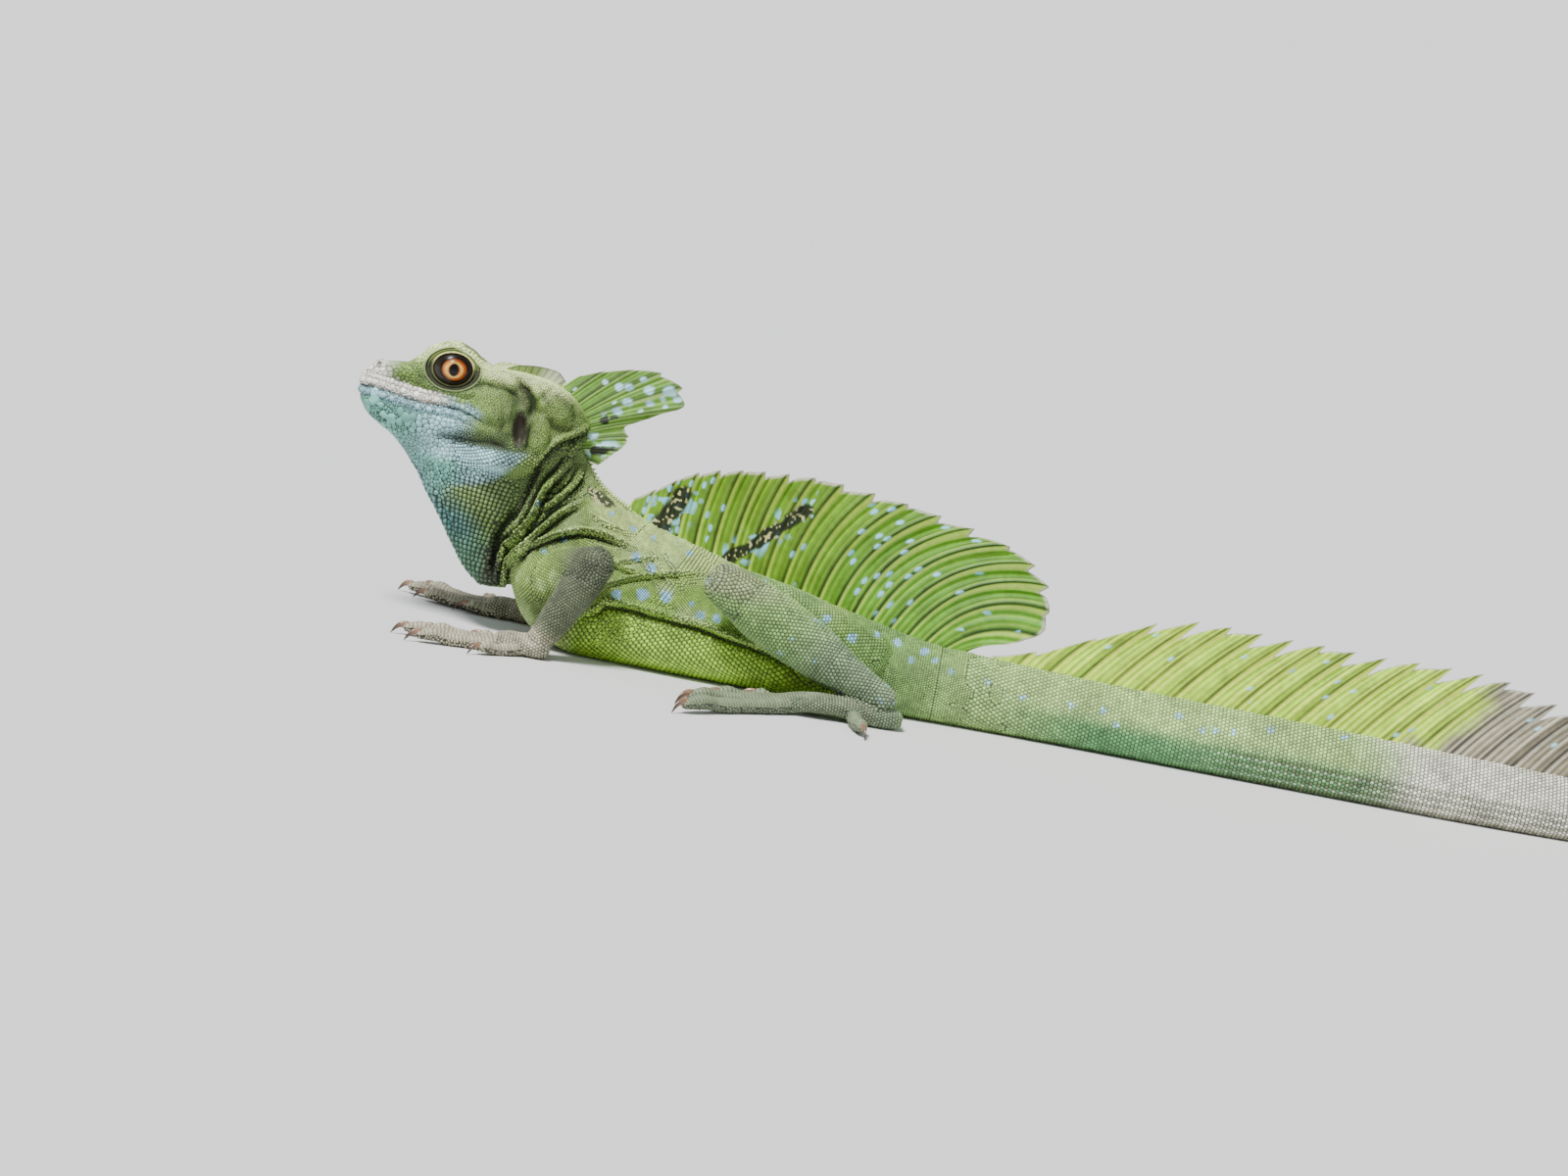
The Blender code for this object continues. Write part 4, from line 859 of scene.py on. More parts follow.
@dataclass
class Hide:
    """The skin: every form of flesh fused into one surface, softened, folded and painted."""

    lofts: list[Loft]
    voxel: float = 0.70
    rounds: int = 10
    jaw_rounds: int = 70
    points: Array = field(default_factory=lambda: np.zeros((0, 3)))
    faces: Array = field(default_factory=lambda: np.zeros((0, 4), int))
    normals: Array = field(default_factory=lambda: np.zeros((0, 3)))
    # painted light on fold ridges and painted shade in fold grooves, as a factor on colour
    tone: Array = field(default_factory=lambda: np.ones(0))
    tree: BVHTree | None = None

    def fuse(self) -> None:
        """Joins the forms by a voxel remesh and keeps the result as arrays."""
        parts, faces, start = [], [], 0
        for loft in self.lofts:
            p, f = loft.triangles()
            parts.append(p)
            faces.append(f + start)
            start += len(p)
        rough = Surface(np.vstack(parts), np.vstack(faces))
        obj = rough.build("fusing", Placement(np.zeros(3)), None)
        remesh = obj.modifiers.new("fuse", "REMESH")
        remesh.mode = "VOXEL"
        remesh.voxel_size = self.voxel * 0.001
        bpy.context.view_layer.update()
        fused = bpy.data.meshes.new_from_object(obj.evaluated_get(bpy.context.evaluated_depsgraph_get()))
        co = np.empty(len(fused.vertices) * 3, np.float32)
        fused.vertices.foreach_get("co", co)
        self.points = co.reshape(-1, 3).astype(float) * 1000.0
        index = np.empty(len(fused.loops), np.int32)
        fused.loops.foreach_get("vertex_index", index)
        self.faces = index.reshape(-1, 4)
        self.keep_outer()
        bpy.data.objects.remove(obj)
        bpy.data.meshes.remove(fused)

    def keep_outer(self) -> None:
        """Drops any loose inner shell, keeping the surface with the most points."""
        count = len(self.points)
        label = np.arange(count)
        a = self.faces.ravel()
        b = np.roll(self.faces, -1, axis=1).ravel()
        while True:
            low = np.minimum(label[a], label[b])
            new = label.copy()
            np.minimum.at(new, a, low)
            np.minimum.at(new, b, low)
            new = new[new]
            if (new == label).all():
                break
            label = new
        names, sizes = np.unique(label, return_counts=True)
        keep = label == names[sizes.argmax()]
        number = np.cumsum(keep) - 1
        self.faces = number[self.faces[keep[self.faces[:, 0]]]]
        self.points = self.points[keep]

    def neighbours(self) -> Array:
        """Pairs of points that share an edge, each both ways round."""
        pairs = np.vstack([self.faces[:, [k, (k + 1) % 4]] for k in range(4)])
        return np.vstack([pairs, pairs[:, ::-1]])

    def sums(self, pairs: Array) -> Array:
        """For each point, the sum of the places that it is paired with."""
        first, second = pairs.T
        count = len(self.points)
        return np.column_stack([np.bincount(first, self.points[second, k], count) for k in range(3)])

    def soften(self) -> None:
        """Smooths the steps of the voxels without shrinking the toes."""
        pairs = self.neighbours()
        count = np.bincount(pairs[:, 0], minlength=len(self.points)).astype(float)
        for _ in range(self.rounds):
            for push in (0.55, -0.57):
                near = self.sums(pairs) / count[:, None]
                self.points += push * (near - self.points)
        self.points[:, 0] += 0.9 * smooth(-168.0, -176.5, self.points[:, 0])

    def blend_jaw(self) -> None:
        """Rounds the step between the jaw's edge and the pouch, more in front than under the ear."""
        x, _, z = self.points.T
        share = smooth(-121.0, -127.0, x) * smooth(38.0, 44.0, z) * smooth(58.0, 54.5, z)
        share *= 0.35 + 0.65 * smooth(-134.0, -146.0, x)
        pick = np.where(share > 0.01)[0]
        pairs = self.neighbours()
        pairs = pairs[share[pairs[:, 0]] > 0.01]
        count = np.bincount(pairs[:, 0], minlength=len(self.points)).astype(float)[pick]
        for _ in range(self.jaw_rounds):
            near = self.sums(pairs)[pick] / count[:, None]
            self.points[pick] += 0.5 * share[pick, None] * (near - self.points[pick])

    def find_normals(self) -> None:
        """Works out a normal for each point."""
        p = self.points[self.faces]
        face = np.cross(p[:, 2] - p[:, 0], p[:, 3] - p[:, 1])
        total = np.zeros_like(self.points)
        for k in range(4):
            for axis in range(3):
                total[:, axis] += np.bincount(self.faces[:, k], face[:, axis], len(self.points))
        self.normals = unit(total)

    def carve(self) -> None:
        """Raises the folds and sinks the ear, nostrils, mouth and eye sockets, and keeps painted light and
        shade for the folds.
        """
        self.find_normals()
        p, n = self.points, self.normals
        x, seen = sight(p)
        y, z = p[:, 1], p[:, 2]
        sideways = smooth(0.15, 0.5, np.sign(y) * n[:, 1])
        trunk = 1.0 - limb_places(p)[1]
        folds = np.zeros(len(p))
        for fold in FOLDS:
            folds += fold.relief(x, seen) * trunk
        folds = np.clip(folds, -2.8, 2.8)
        lift = folds.copy()
        for pit in (EAR, NOSTRIL, CHEEK_BOSS, TEMPLE_BOSS, NAPE_BOSS, EAR_BOSS):
            lift += pit.relief(x, seen) * (x < -105.0)
        lift *= sideways
        # tone paints light on the folds' ridges and shade in their grooves
        self.tone = 1.0 + sideways * (0.55 * np.clip(folds / 1.8, 0, 1) - 0.70 * np.clip(-folds / 1.3, 0, 1))
        gape = seen - line_at(LIP, x)
        lips = smooth(MOUTH_CORNER_X, MOUTH_CORNER_X - 4.0, x) * (np.abs(gape) < 8.0)
        slit = -0.8 * bump(gape, 0.0, 0.36) + 0.30 * bump(np.abs(gape), 1.3, 0.8)
        lift += lips * (slit - 0.40 * bump(gape, -2.9, 0.35) - 0.22 * bump(gape, 2.6, 0.4))
        wrinkle = value_noise(p * np.array([1.0, 1.0, 0.45]), 3.2, 3)
        neck = smooth(-130.0, -122.0, x) * smooth(-92.0, -104.0, x) * smooth(6.0, 14.0, z)
        lift += neck * trunk * 0.35 * wrinkle * sideways
        self.points = p + n * lift[:, None]
        self.sink_sockets()
        self.points[:, 2] = np.maximum(self.points[:, 2], 0.03)
        self.find_normals()
        self.tree = BVHTree.FromPolygons([tuple(v) for v in self.points], [tuple(f) for f in self.faces])

    def sink_sockets(self) -> None:
        """Pushes the skin inside each lid behind the eyeball's face."""
        e = lid_spread(self.points, LID_ROOT)
        y = self.points[:, 1]
        inside = (e < 1.0) & (np.abs(y) > 3.0) & (self.points[:, 0] < -135.0)
        target = EYE_CENTRE[1] + 0.2
        depth = np.minimum(np.abs(y), target + (np.abs(y) - target) * smooth(0.80, 1.0, e))
        self.points[:, 1] = np.where(inside, np.sign(y) * depth, y)

    def seat(self, places: Array, reach: float = 6.0) -> tuple[Array, Array, Array, Array]:
        """Finds the nearest places on the skin.

        Args:
            places: Points near the skin.
            reach: The furthest that a point may be from it.

        Returns:
            Points on the skin, its soft normals there, the distance moved, and the painted light and shade
            of its folds there.
        """
        spot = np.zeros((len(places), 3))
        normal = np.tile([0.0, 0.0, 1.0], (len(places), 1))
        away = np.full(len(places), 1e9)
        tone = np.ones(len(places))
        find = self.tree.find_nearest
        for i, place in enumerate(places):
            hit, _, face, distance = find(Vector(place), reach)
            if hit is not None:
                spot[i] = hit
                corners = self.faces[face]
                normal[i] = self.normals[corners].sum(0)
                tone[i] = self.tone[corners[0]]
                away[i] = distance
        return spot, unit(normal), away, tone


def lid_spread(points: Array, half: tuple[float, float] = LID_OPENING) -> Array:
    """How far points are from an eye's middle in side view: 1 on an oval of the given half sizes."""
    dx = points[:, 0] - LID_CENTRE[0]
    dz = points[:, 2] - LID_CENTRE[1]
    u = dx * math.cos(LID_TILT) - dz * math.sin(LID_TILT)
    v = dz * math.cos(LID_TILT) + dx * math.sin(LID_TILT)
    return np.hypot(u / half[0], v / half[1])


def limb_places(points: Array) -> tuple[Array, Array]:
    """Where points are on the legs.

    Args:
        points: Places in millimetres.

    Returns:
        For each point, its place along the nearest leg (0 at the root, 1 at the elbow or knee, 2 at the
        wrist, past 2 on the hand or foot; 10 more on a hind leg), and its share of being on a leg.
    """
    best = np.full(len(points), 1e9)
    where = np.zeros(len(points))
    for plan in LEGS:
        leg = Leg(plan)
        joints = plan.points()
        forward, _ = leg.directions()
        palm = FOOT_PALM if plan.hind else HAND_PALM
        shapes = (THIGH, SHANK) if plan.hind else (UPPER_ARM, FOREARM)
        low = np.array([joints[2][0], joints[2][1], palm[2]])
        lines = [(joints[0], joints[1], 0.0), (joints[1], joints[2], 0.0),
                 (low, low + forward * palm[0], palm[1])]
        for digit in leg.digits():
            first, last = digit.line(np.array([0.0, digit.length + digit.claw]), np.array([palm[2], 2.0]))
            lines.append((first, last, digit.half + 0.4))
        for k, (start, end, half) in enumerate(lines):
            run = end - start
            on = np.where(np.abs(points - (start + end) / 2).max(1) < np.linalg.norm(run) / 2 + 14.0)[0]
            t = np.clip(((points[on] - start) @ run) / (run @ run), 0.0, 1.0)
            d = np.linalg.norm(points[on] - (start + run * t[:, None]), axis=1)
            d = d - (curve_through(shapes[k], t).mean(1) if k < 2 else half)
            closer = d < best[on]
            best[on[closer]] = d[closer]
            where[on[closer]] = min(k, 2) + t[closer] + (10.0 if plan.hind else 0.0)
    return where, smooth(2.4, 0.6, best)


def tail_lengths_at(points: Array) -> Array:
    """Length along the tail of the place nearest each point, and less than 0 before the vent."""
    out = points[:, 0] - VENT_X
    on = np.where(out > 60.0)[0]
    if len(on):
        lengths = np.linspace(40.0, TAIL_LENGTHS[-1][0], 461)
        line = tail_line(lengths)[:, :2]
        for chunk in np.array_split(on, max(1, len(on) // 20000)):
            d = np.linalg.norm(points[chunk][:, None, :2] - line[None], axis=2)
            out[chunk] = lengths[d.argmin(1)]
    return out


BELLY_LINE: Knots = ((-130.0, 9.0), (-101.0, 10.2), (-93.0, 14.2), (-80.0, 14.2), (-57.0, 11.6),
                     (-43.0, 9.4), (-30.0, 4.0), (0.0, -4.0))
HEAD_REAR: Knots = ((10.0, -125.0), (16.0, -125.3), (22.0, -126.4), (30.0, -126.2), (36.4, -124.6),
                    (41.4, -122.2), (47.0, -120.4), (52.0, -119.6), (56.0, -118.0), (60.0, -114.6),
                    (63.0, -110.6), (66.0, -107.6), (74.0, -106.0), (85.0, -106.0))
JOWL_LINE: Knots = ((-180.0, 50.0), (-162.0, 49.5), (-153.0, 44.0), (-150.0, 38.5), (-141.5, 40.9),
                    (-130.8, 44.2), (-122.5, 47.6), (-100.0, 50.0))
FLANK_SPOTS: Knots = ((-90.9, 18.0, 1.6), (-83.3, 19.5, 2.0), (-76.8, 20.2, 1.9), (-65.7, 16.8, 1.5),
                      (-61.0, 16.6, 1.4), (-87.4, 30.1, 1.5), (-82.3, 27.5, 1.5), (-72.3, 34.0, 1.1),
                      (-89.6, 38.0, 0.9), (-83.4, 36.5, 0.9), (-96.5, 41.0, 0.8), (-69.0, 19.5, 0.9),
                      (-118.0, 40.0, 0.8), (-114.0, 26.5, 0.9), (-109.0, 31.0, 0.9))
HIP_SPOTS: Knots = ((-29.3, 22.9, 1.3), (-21.2, 18.6, 1.5), (-14.0, 21.0, 1.0), (-7.9, 19.8, 1.3),
                    (0.3, 18.8, 1.3), (3.9, 16.9, 1.1), (-27.6, 12.7, 1.2), (-3.0, 15.5, 1.0),
                    (9.0, 14.5, 0.9))
TAIL_SPOTS: Knots = ((20.0, 13.5, 0.9), (30.8, 10.9, 1.1), (45.2, 11.5, 1.1), (54.6, 11.6, 0.9),
                     (59.5, 8.3, 1.0), (76.7, 14.6, 1.1), (84.1, 11.4, 1.0), (88.2, 12.2, 0.9),
                     (93.2, 13.1, 1.0), (103.8, 15.6, 1.0), (125.2, 17.7, 0.9))


class Paint:
    """The animal's colours by place, which skin, scales and lids all share."""

    crown = shade(226, 244, 164)
    cheek = shade(136, 168, 84)
    temple = shade(112, 136, 64)
    snout = shade(255, 250, 240)
    snout_side = shade(108, 140, 54)
    snout_mark = shade(52, 72, 30)
    upper_lip = shade(250, 244, 232)
    upper_lip_rear = shade(150, 190, 186)
    lower_lip = shade(156, 202, 210)
    chin = shade(112, 176, 160)
    throat_front = shade(76, 132, 132)
    throat_low = shade(80, 126, 96)
    throat_rear = shade(88, 116, 46)
    throat_pale = shade(128, 156, 92)
    throat_brown = shade(72, 62, 36)
    jowl = shade(164, 206, 212)
    # painted shade for the head's creases and hollows
    hollow_shade = shade(54, 74, 36)
    ear = shade(104, 90, 70)
    nape = shade(88, 108, 50)
    neck = shade(132, 162, 76)
    neck_light = shade(184, 210, 134)
    shoulder = shade(158, 186, 92)
    back = shade(196, 220, 132)
    flank = shade(130, 170, 60)
    flank_pale = shade(174, 200, 124)
    belly = shade(158, 204, 60)
    pelvis = shade(122, 162, 84)
    tail_root = shade(160, 194, 114)
    tail_mid = shade(92, 150, 92)
    tail_pale = shade(226, 226, 206)
    tail_brown = shade(92, 82, 54)
    tail_dark = shade(52, 46, 32)
    fore_leg = shade(96, 104, 78)
    hand = shade(174, 168, 144)
    hind_leg = shade(128, 166, 92)
    hind_dark = shade(120, 142, 108)
    leg_tan = shade(150, 158, 116)
    foot = shade(126, 138, 108)
    blue_spot = shade(150, 210, 240)
    # near black, used for dark markings and for painted shade in gaps, creases and openings
    dark = shade(22, 28, 10)
    gold = shade(204, 198, 148)
    clouds = ((9.0, 1, 0.14), (3.2, 2, 0.20), (1.3, 18, 0.14))

    @classmethod
    def hide(cls, p: Array) -> Array:
        """The hide's colour.

        Args:
            p: Places on the skin, in millimetres.

        Returns:
            Linear colours, one row for each place.
        """
        x, seen = sight(p)
        z = p[:, 2]
        length = tail_lengths_at(p)
        colour = cls.trunk(p, x, seen)
        head = smooth(0.9, -0.9, x - line_at(HEAD_REAR, seen))
        colour = mix(colour, cls.head(p, x, seen, z), head)
        soft = 1.5 + 0.8 * value_noise(p, 2.4, 29) + 4.0 * smooth(-142.0, -152.0, x)
        throat = head * smooth(1.0, -1.0, (seen - line_at(JOWL_LINE, x)) / soft)
        colour = mix(colour, cls.throat(p, x, z), throat)
        colour = mix(colour, cls.tail(p, length, z), smooth(-16.0, 26.0, length))
        where, share = limb_places(p)
        start = smooth(0.10, 0.55, (where % 10.0) - 0.34 * (where < 10.0))
        colour = mix(colour, cls.leg(p, where, z), share * start)
        for sx, sz, radius in FLANK_SPOTS + HIP_SPOTS + TAIL_SPOTS:
            near = (np.abs(x - sx) < 2 * radius) & (np.abs(seen - sz) < 2 * radius)
            if near.any():
                d = np.hypot(x[near] - sx, seen[near] - sz) / radius + 0.25 * value_noise(p[near], 1.1, 19)
                leg = share[near] * ((where[near] % 10.0) > 1.35)
                colour[near] = mix(colour[near], cls.blue_spot, 0.92 * smooth(1.15, 0.65, d) * (1 - leg))
        bristle = smooth(1.3, 0.8, np.hypot((x + 100.5) / 3.8, (seen - 45.0 + 0.4 * (x + 100.5)) / 1.9)
                         + 0.4 * value_noise(p, 2.0, 16))
        gold = (value_noise(p, 0.9, 17) > 0.15)[:, None]
        colour = mix(colour, np.where(gold, cls.gold, cls.dark * 0.5), 0.9 * bristle)
        cloud = sum(depth * value_noise(p, size, seed) for size, seed, depth in cls.clouds)
        return colour * (1.0 + cloud)[:, None]

    @classmethod
    def trunk(cls, p: Array, x: Array, seen: Array) -> Array:
        """Neck and trunk."""
        fold = line_at(BELLY_LINE, x)
        colour = mix(cls.flank, cls.back, smooth(22.0, 34.0, seen))
        colour = mix(colour, cls.flank_pale, 0.7 * smooth(0.05, 0.6, value_noise(p, 6.0, 12)))
        colour = mix(colour, cls.shoulder, smooth(-88.0, -99.0, x) * smooth(40.0, 30.0, seen))
        neck = smooth(-100.0, -107.0, x - 0.15 * (seen - 30.0))
        colour = mix(colour, cls.neck, neck)
        light = neck * smooth(0.0, 0.5, value_noise(p, 4.0, 13)) * 0.6
        colour = mix(colour, cls.neck_light, light)
        # a darker nape, partly its own colour and partly painted shade under the back of the head
        colour = mix(colour, cls.nape, 0.6 * smooth(-102.0, -107.0, x) * smooth(46.0, 52.0, seen))
        colour = mix(colour, cls.pelvis, smooth(-34.0, -16.0, x))
        return mix(colour, cls.belly, smooth(fold + 0.4, fold - 0.6, seen) * smooth(-10.0, -26.0, x)
                   * smooth(-104.0, -99.0, x))

    @classmethod
    def head(cls, p: Array, x: Array, seen: Array, z: Array) -> Array:
        """The head above and below the mouth, with painted shade under the lip, round the ear and eye, in
        the nostrils and along the mouth.
        """
        gape = seen - line_at(LIP, x)
        colour = mix(cls.cheek, cls.crown, smooth(69.0, 75.0, seen + 0.1 * (x + 130.0)))
        colour = mix(colour, cls.temple, smooth(-139.0, -134.0, x) * smooth(73.5, 70.5, seen) * 0.55)
        side = smooth(-152.0, -158.0, x) * smooth(71.5, 69.5, seen)
        colour = mix(colour, cls.snout_side, side)
        streak = value_noise(p * np.array([0.6, 1.0, 1.0]), 2.6, 14)
        mark = smooth(0.05, 0.45, streak) * side * smooth(-171.0, -168.0, x)
        colour = mix(colour, cls.snout_mark, 0.75 * mark * smooth(69.6, 68.4, seen))
        colour = mix(colour, cls.snout, smooth(-166.0, -173.0, x - 0.35 * (z - 66.0)))
        upper = mix(cls.upper_lip, cls.upper_lip_rear, smooth(-153.0, -147.0, x))
        band = 3.9 - 1.2 * smooth(-153.0, -147.0, x) + 0.6 * value_noise(p, 1.6, 28)
        colour = mix(colour, upper, smooth(-137.0, -141.0, x) * smooth(0.4, -0.4, gape - band))
        jaw = mix(cls.chin, cls.jowl, smooth(-162.0, -150.0, x) * smooth(46.0, 50.0, seen))
        lower = mix(cls.lower_lip, jaw, smooth(-2.7, -3.1, gape))
        cheek = mix(cls.cheek, cls.jowl, smooth(54.5, 52.0, seen))
        under = mix(lower, cheek, smooth(-146.0, -138.0, x))
        below = smooth(0.1, -0.1, gape) * smooth(-120.0, -124.0, x + 0.8 * (56.0 - seen))
        colour = mix(colour, under, below)
        # painted shade in the crease along the lower jaw, under the mouth
        ceiling = line_at(((-150.0, 54.6), (-142.0, 57.4), (-131.0, 58.6)), x)
        hollow_shade = (smooth(-152.0, -148.0, x) * smooth(-128.0, -131.0, x) * smooth(52.0, 53.4, seen)
                  * smooth(ceiling + 0.8, ceiling - 0.8, seen))
        colour = mix(colour, cls.hollow_shade, 0.62 * hollow_shade)
        # painted shade round the ear, in the groove above it and as a dark ring at the drum's sunken edge;
        # the drum's brown is its own colour
        drum = EAR.spread(x, seen)
        groove = np.hypot((x + 127.6 + 0.42 * (seen - 69.0)) / 1.0, (seen - 69.5) / 3.4)
        near_ear = np.hypot((x + 128.6) / 2.4, (seen - 60.5) / 6.0)
        colour = mix(colour, cls.hollow_shade, 0.5 * smooth(3.0, 1.0, near_ear))
        bare = np.maximum(smooth(1.1, 0.85, drum), 0.5 * smooth(1.2, 0.7, groove))
        colour = mix(colour, cls.ear, bare)
        colour = mix(colour, cls.dark, 0.75 * np.exp(-((drum - 1.02) / 0.14) ** 2))
        # painted shade in the nostril
        colour = mix(colour, cls.dark, 0.9 * smooth(1.15, 0.8, NOSTRIL.spread(x, seen)))
        # painted shade round the eye socket, below the brow
        around = np.hypot((x + 150.4) / 9.8, (seen - 73.6) / 7.4)
        colour = mix(colour, cls.hollow_shade, 0.45 * smooth(1.2, 0.9, around) * smooth(75.0, 71.0, z))
        # painted shade along the slit of the mouth
        return mix(colour, cls.dark, smooth(-135.0, -141.0, x) * 0.85 * np.exp(-(gape / 0.28) ** 2))

    @classmethod
    def throat(cls, p: Array, x: Array, z: Array) -> Array:
        """The pouch, blue in front and green behind."""
        front = line_at(((13.0, -131.0), (24.0, -141.0), (38.0, -152.0), (52.0, -165.0)), z)
        ahead = smooth(17.0, 4.0, x - front + 2.0 * value_noise(p, 5.0, 15))
        blue = mix(cls.throat_front, cls.throat_low, smooth(34.0, 20.0, z))
        colour = mix(cls.throat_rear, blue, ahead)
        colour = mix(colour, cls.throat_brown, 0.7 * smooth(-133.0, -129.0, x) * smooth(28.0, 22.0, z))
        upper = smooth(30.0, 44.0, z)
        pale = upper * smooth(-152.0, -144.0, x) * smooth(-122.0, -130.0, x)
        colour = mix(colour, cls.throat_pale, 0.8 * pale)
        return mix(colour, cls.jowl, 0.3 * upper * smooth(-142.0, -150.0, x))

    @classmethod
    def tail(cls, p: Array, length: Array, z: Array) -> Array:
        """Green at the root, pale and striped further on, banded to the tip, with painted shade along its
        underside.
        """
        height = curve_through(TAIL_LENGTHS, length)[:, 0]
        share = z / np.maximum(height, 0.5)
        deep = smooth(0.62, 0.35, share) * smooth(10.0, 50.0, length)
        colour = mix(cls.tail_root, cls.tail_mid, deep)
        pale = smooth(112.0, 150.0, length + 12.0 * value_noise(p, 12.0, 5))
        colour = mix(colour, cls.tail_pale, pale)
        row = (share * 8.5) % 1.0
        low = smooth(0.52, 0.40, share) * smooth(64.0, 110.0, length) * smooth(330.0, 260.0, length)
        line = smooth(0.30, 0.42, row) * smooth(0.95, 0.8, row)
        colour = mix(colour, cls.tail_brown, 0.55 * low * line)
        colour = mix(colour, cls.tail_pale, 0.55 * low * np.exp(-((row - 0.12) / 0.10) ** 2))
        wave = np.sin(length / 6.2 + 0.8 * value_noise(p, 8.0, 7))
        band = smooth(0.1, 0.7, wave) * smooth(172.0, 186.0, length)
        ragged = share + 0.25 * smooth(230.0, 300.0, length) + 0.22 * value_noise(p, 2.2, 33)
        saddle = band * smooth(0.30, 0.62, ragged) * smooth(-0.7, 0.1, value_noise(p, 1.4, 34))
        colour = mix(colour, cls.tail_dark, 0.8 * saddle)
        # painted shade along the underside, in the brown of the stripes
        under = smooth(0.12, 0.02, share) * smooth(8.0, 30.0, length)
        return mix(colour, cls.tail_brown, 0.35 * under)

    @classmethod
    def leg(cls, p: Array, where: Array, z: Array) -> Array:
        """Grey green fore legs, greener hind legs, paler feet."""
        hind = (where >= 10.0).astype(float)
        at = where % 10.0
        fore = mix(cls.fore_leg, cls.hand, smooth(1.82, 2.15, at))
        rear = mix(cls.hind_leg, cls.hind_dark, smooth(1.30, 1.75, at))
        # a tan patch on top of the knee, partly its own colour and partly a painted highlight
        tan = smooth(0.85, 1.0, at) * smooth(1.5, 1.05, at) * smooth(27.0, 31.0, z)
        rear = mix(rear, cls.leg_tan, 0.8 * tan)
        rear = mix(rear, cls.foot, smooth(1.92, 2.2, at))
        patch = smooth(0.68, 0.85, value_noise(p, 2.6, 9)) * smooth(2.2, 1.9, at) * hind
        colour = mix(fore, rear, hind)
        colour = mix(colour, cls.blue_spot, 0.5 * patch)
        return mix(colour, cls.dark, 0.35 * smooth(0.3, 0.8, value_noise(p, 5.0, 10)))


@dataclass(frozen=True)
class Form:
    """How a scale fills its cell.

    Each ring gives, for the front, sides and rear: its reach as a share of the cell's, its height as a
    share of the scale's, and its lightness, where 0 is the colour between scales; this paints shade low
    at the rim and a highlight towards the top and the raised rear.
    """

    corners: int
    rim_up: tuple[float, float, float]
    rim_light: tuple[float, float, float]
    shelf: float
    shelf_up: tuple[float, float, float]
    shelf_light: tuple[float, float, float]
    top: tuple[float, float]
    beyond: float = 1.4

    def round(self, values: tuple[float, float, float]) -> Array:
        """Spreads front, side and rear values over the corners."""
        front, side, rear = values
        c = np.cos(np.arange(self.corners) * math.tau / self.corners)
        return side + np.where(c > 0, (front - side) * c, (rear - side) * -c)


RING_STEP = {Shape.KEELED: 0.76}
FORMS = {
    Shape.GRANULE: Form(corners=6, rim_up=(0, 0, 0), rim_light=(0.3, 0.3, 0.3), shelf=0.74,
                        shelf_up=(0.8, 0.8, 0.8), shelf_light=(0.96, 0.96, 0.96), top=(1.0, 1.06)),
    Shape.DOME: Form(corners=6, rim_up=(0, 0, 0), rim_light=(0.2, 0.2, 0.2), shelf=0.78,
                     shelf_up=(0.76, 0.76, 0.80), shelf_light=(0.90, 0.94, 1.0), top=(1.0, 1.08)),
    Shape.KEELED: Form(corners=6, rim_up=(0, 0, 0.35), rim_light=(0.1, 0.1, 0.4), shelf=0.78,
                       shelf_up=(0.42, 0.54, 1.0), shelf_light=(0.82, 0.94, 1.10), top=(0.92, 1.14)),
    Shape.PLATE: Form(corners=12, rim_up=(0, 0, 0), rim_light=(0, 0, 0), shelf=0.90,
                      shelf_up=(0.9, 0.9, 0.9), shelf_light=(0.92, 0.95, 0.98), top=(1.0, 1.02), beyond=1.7),
}


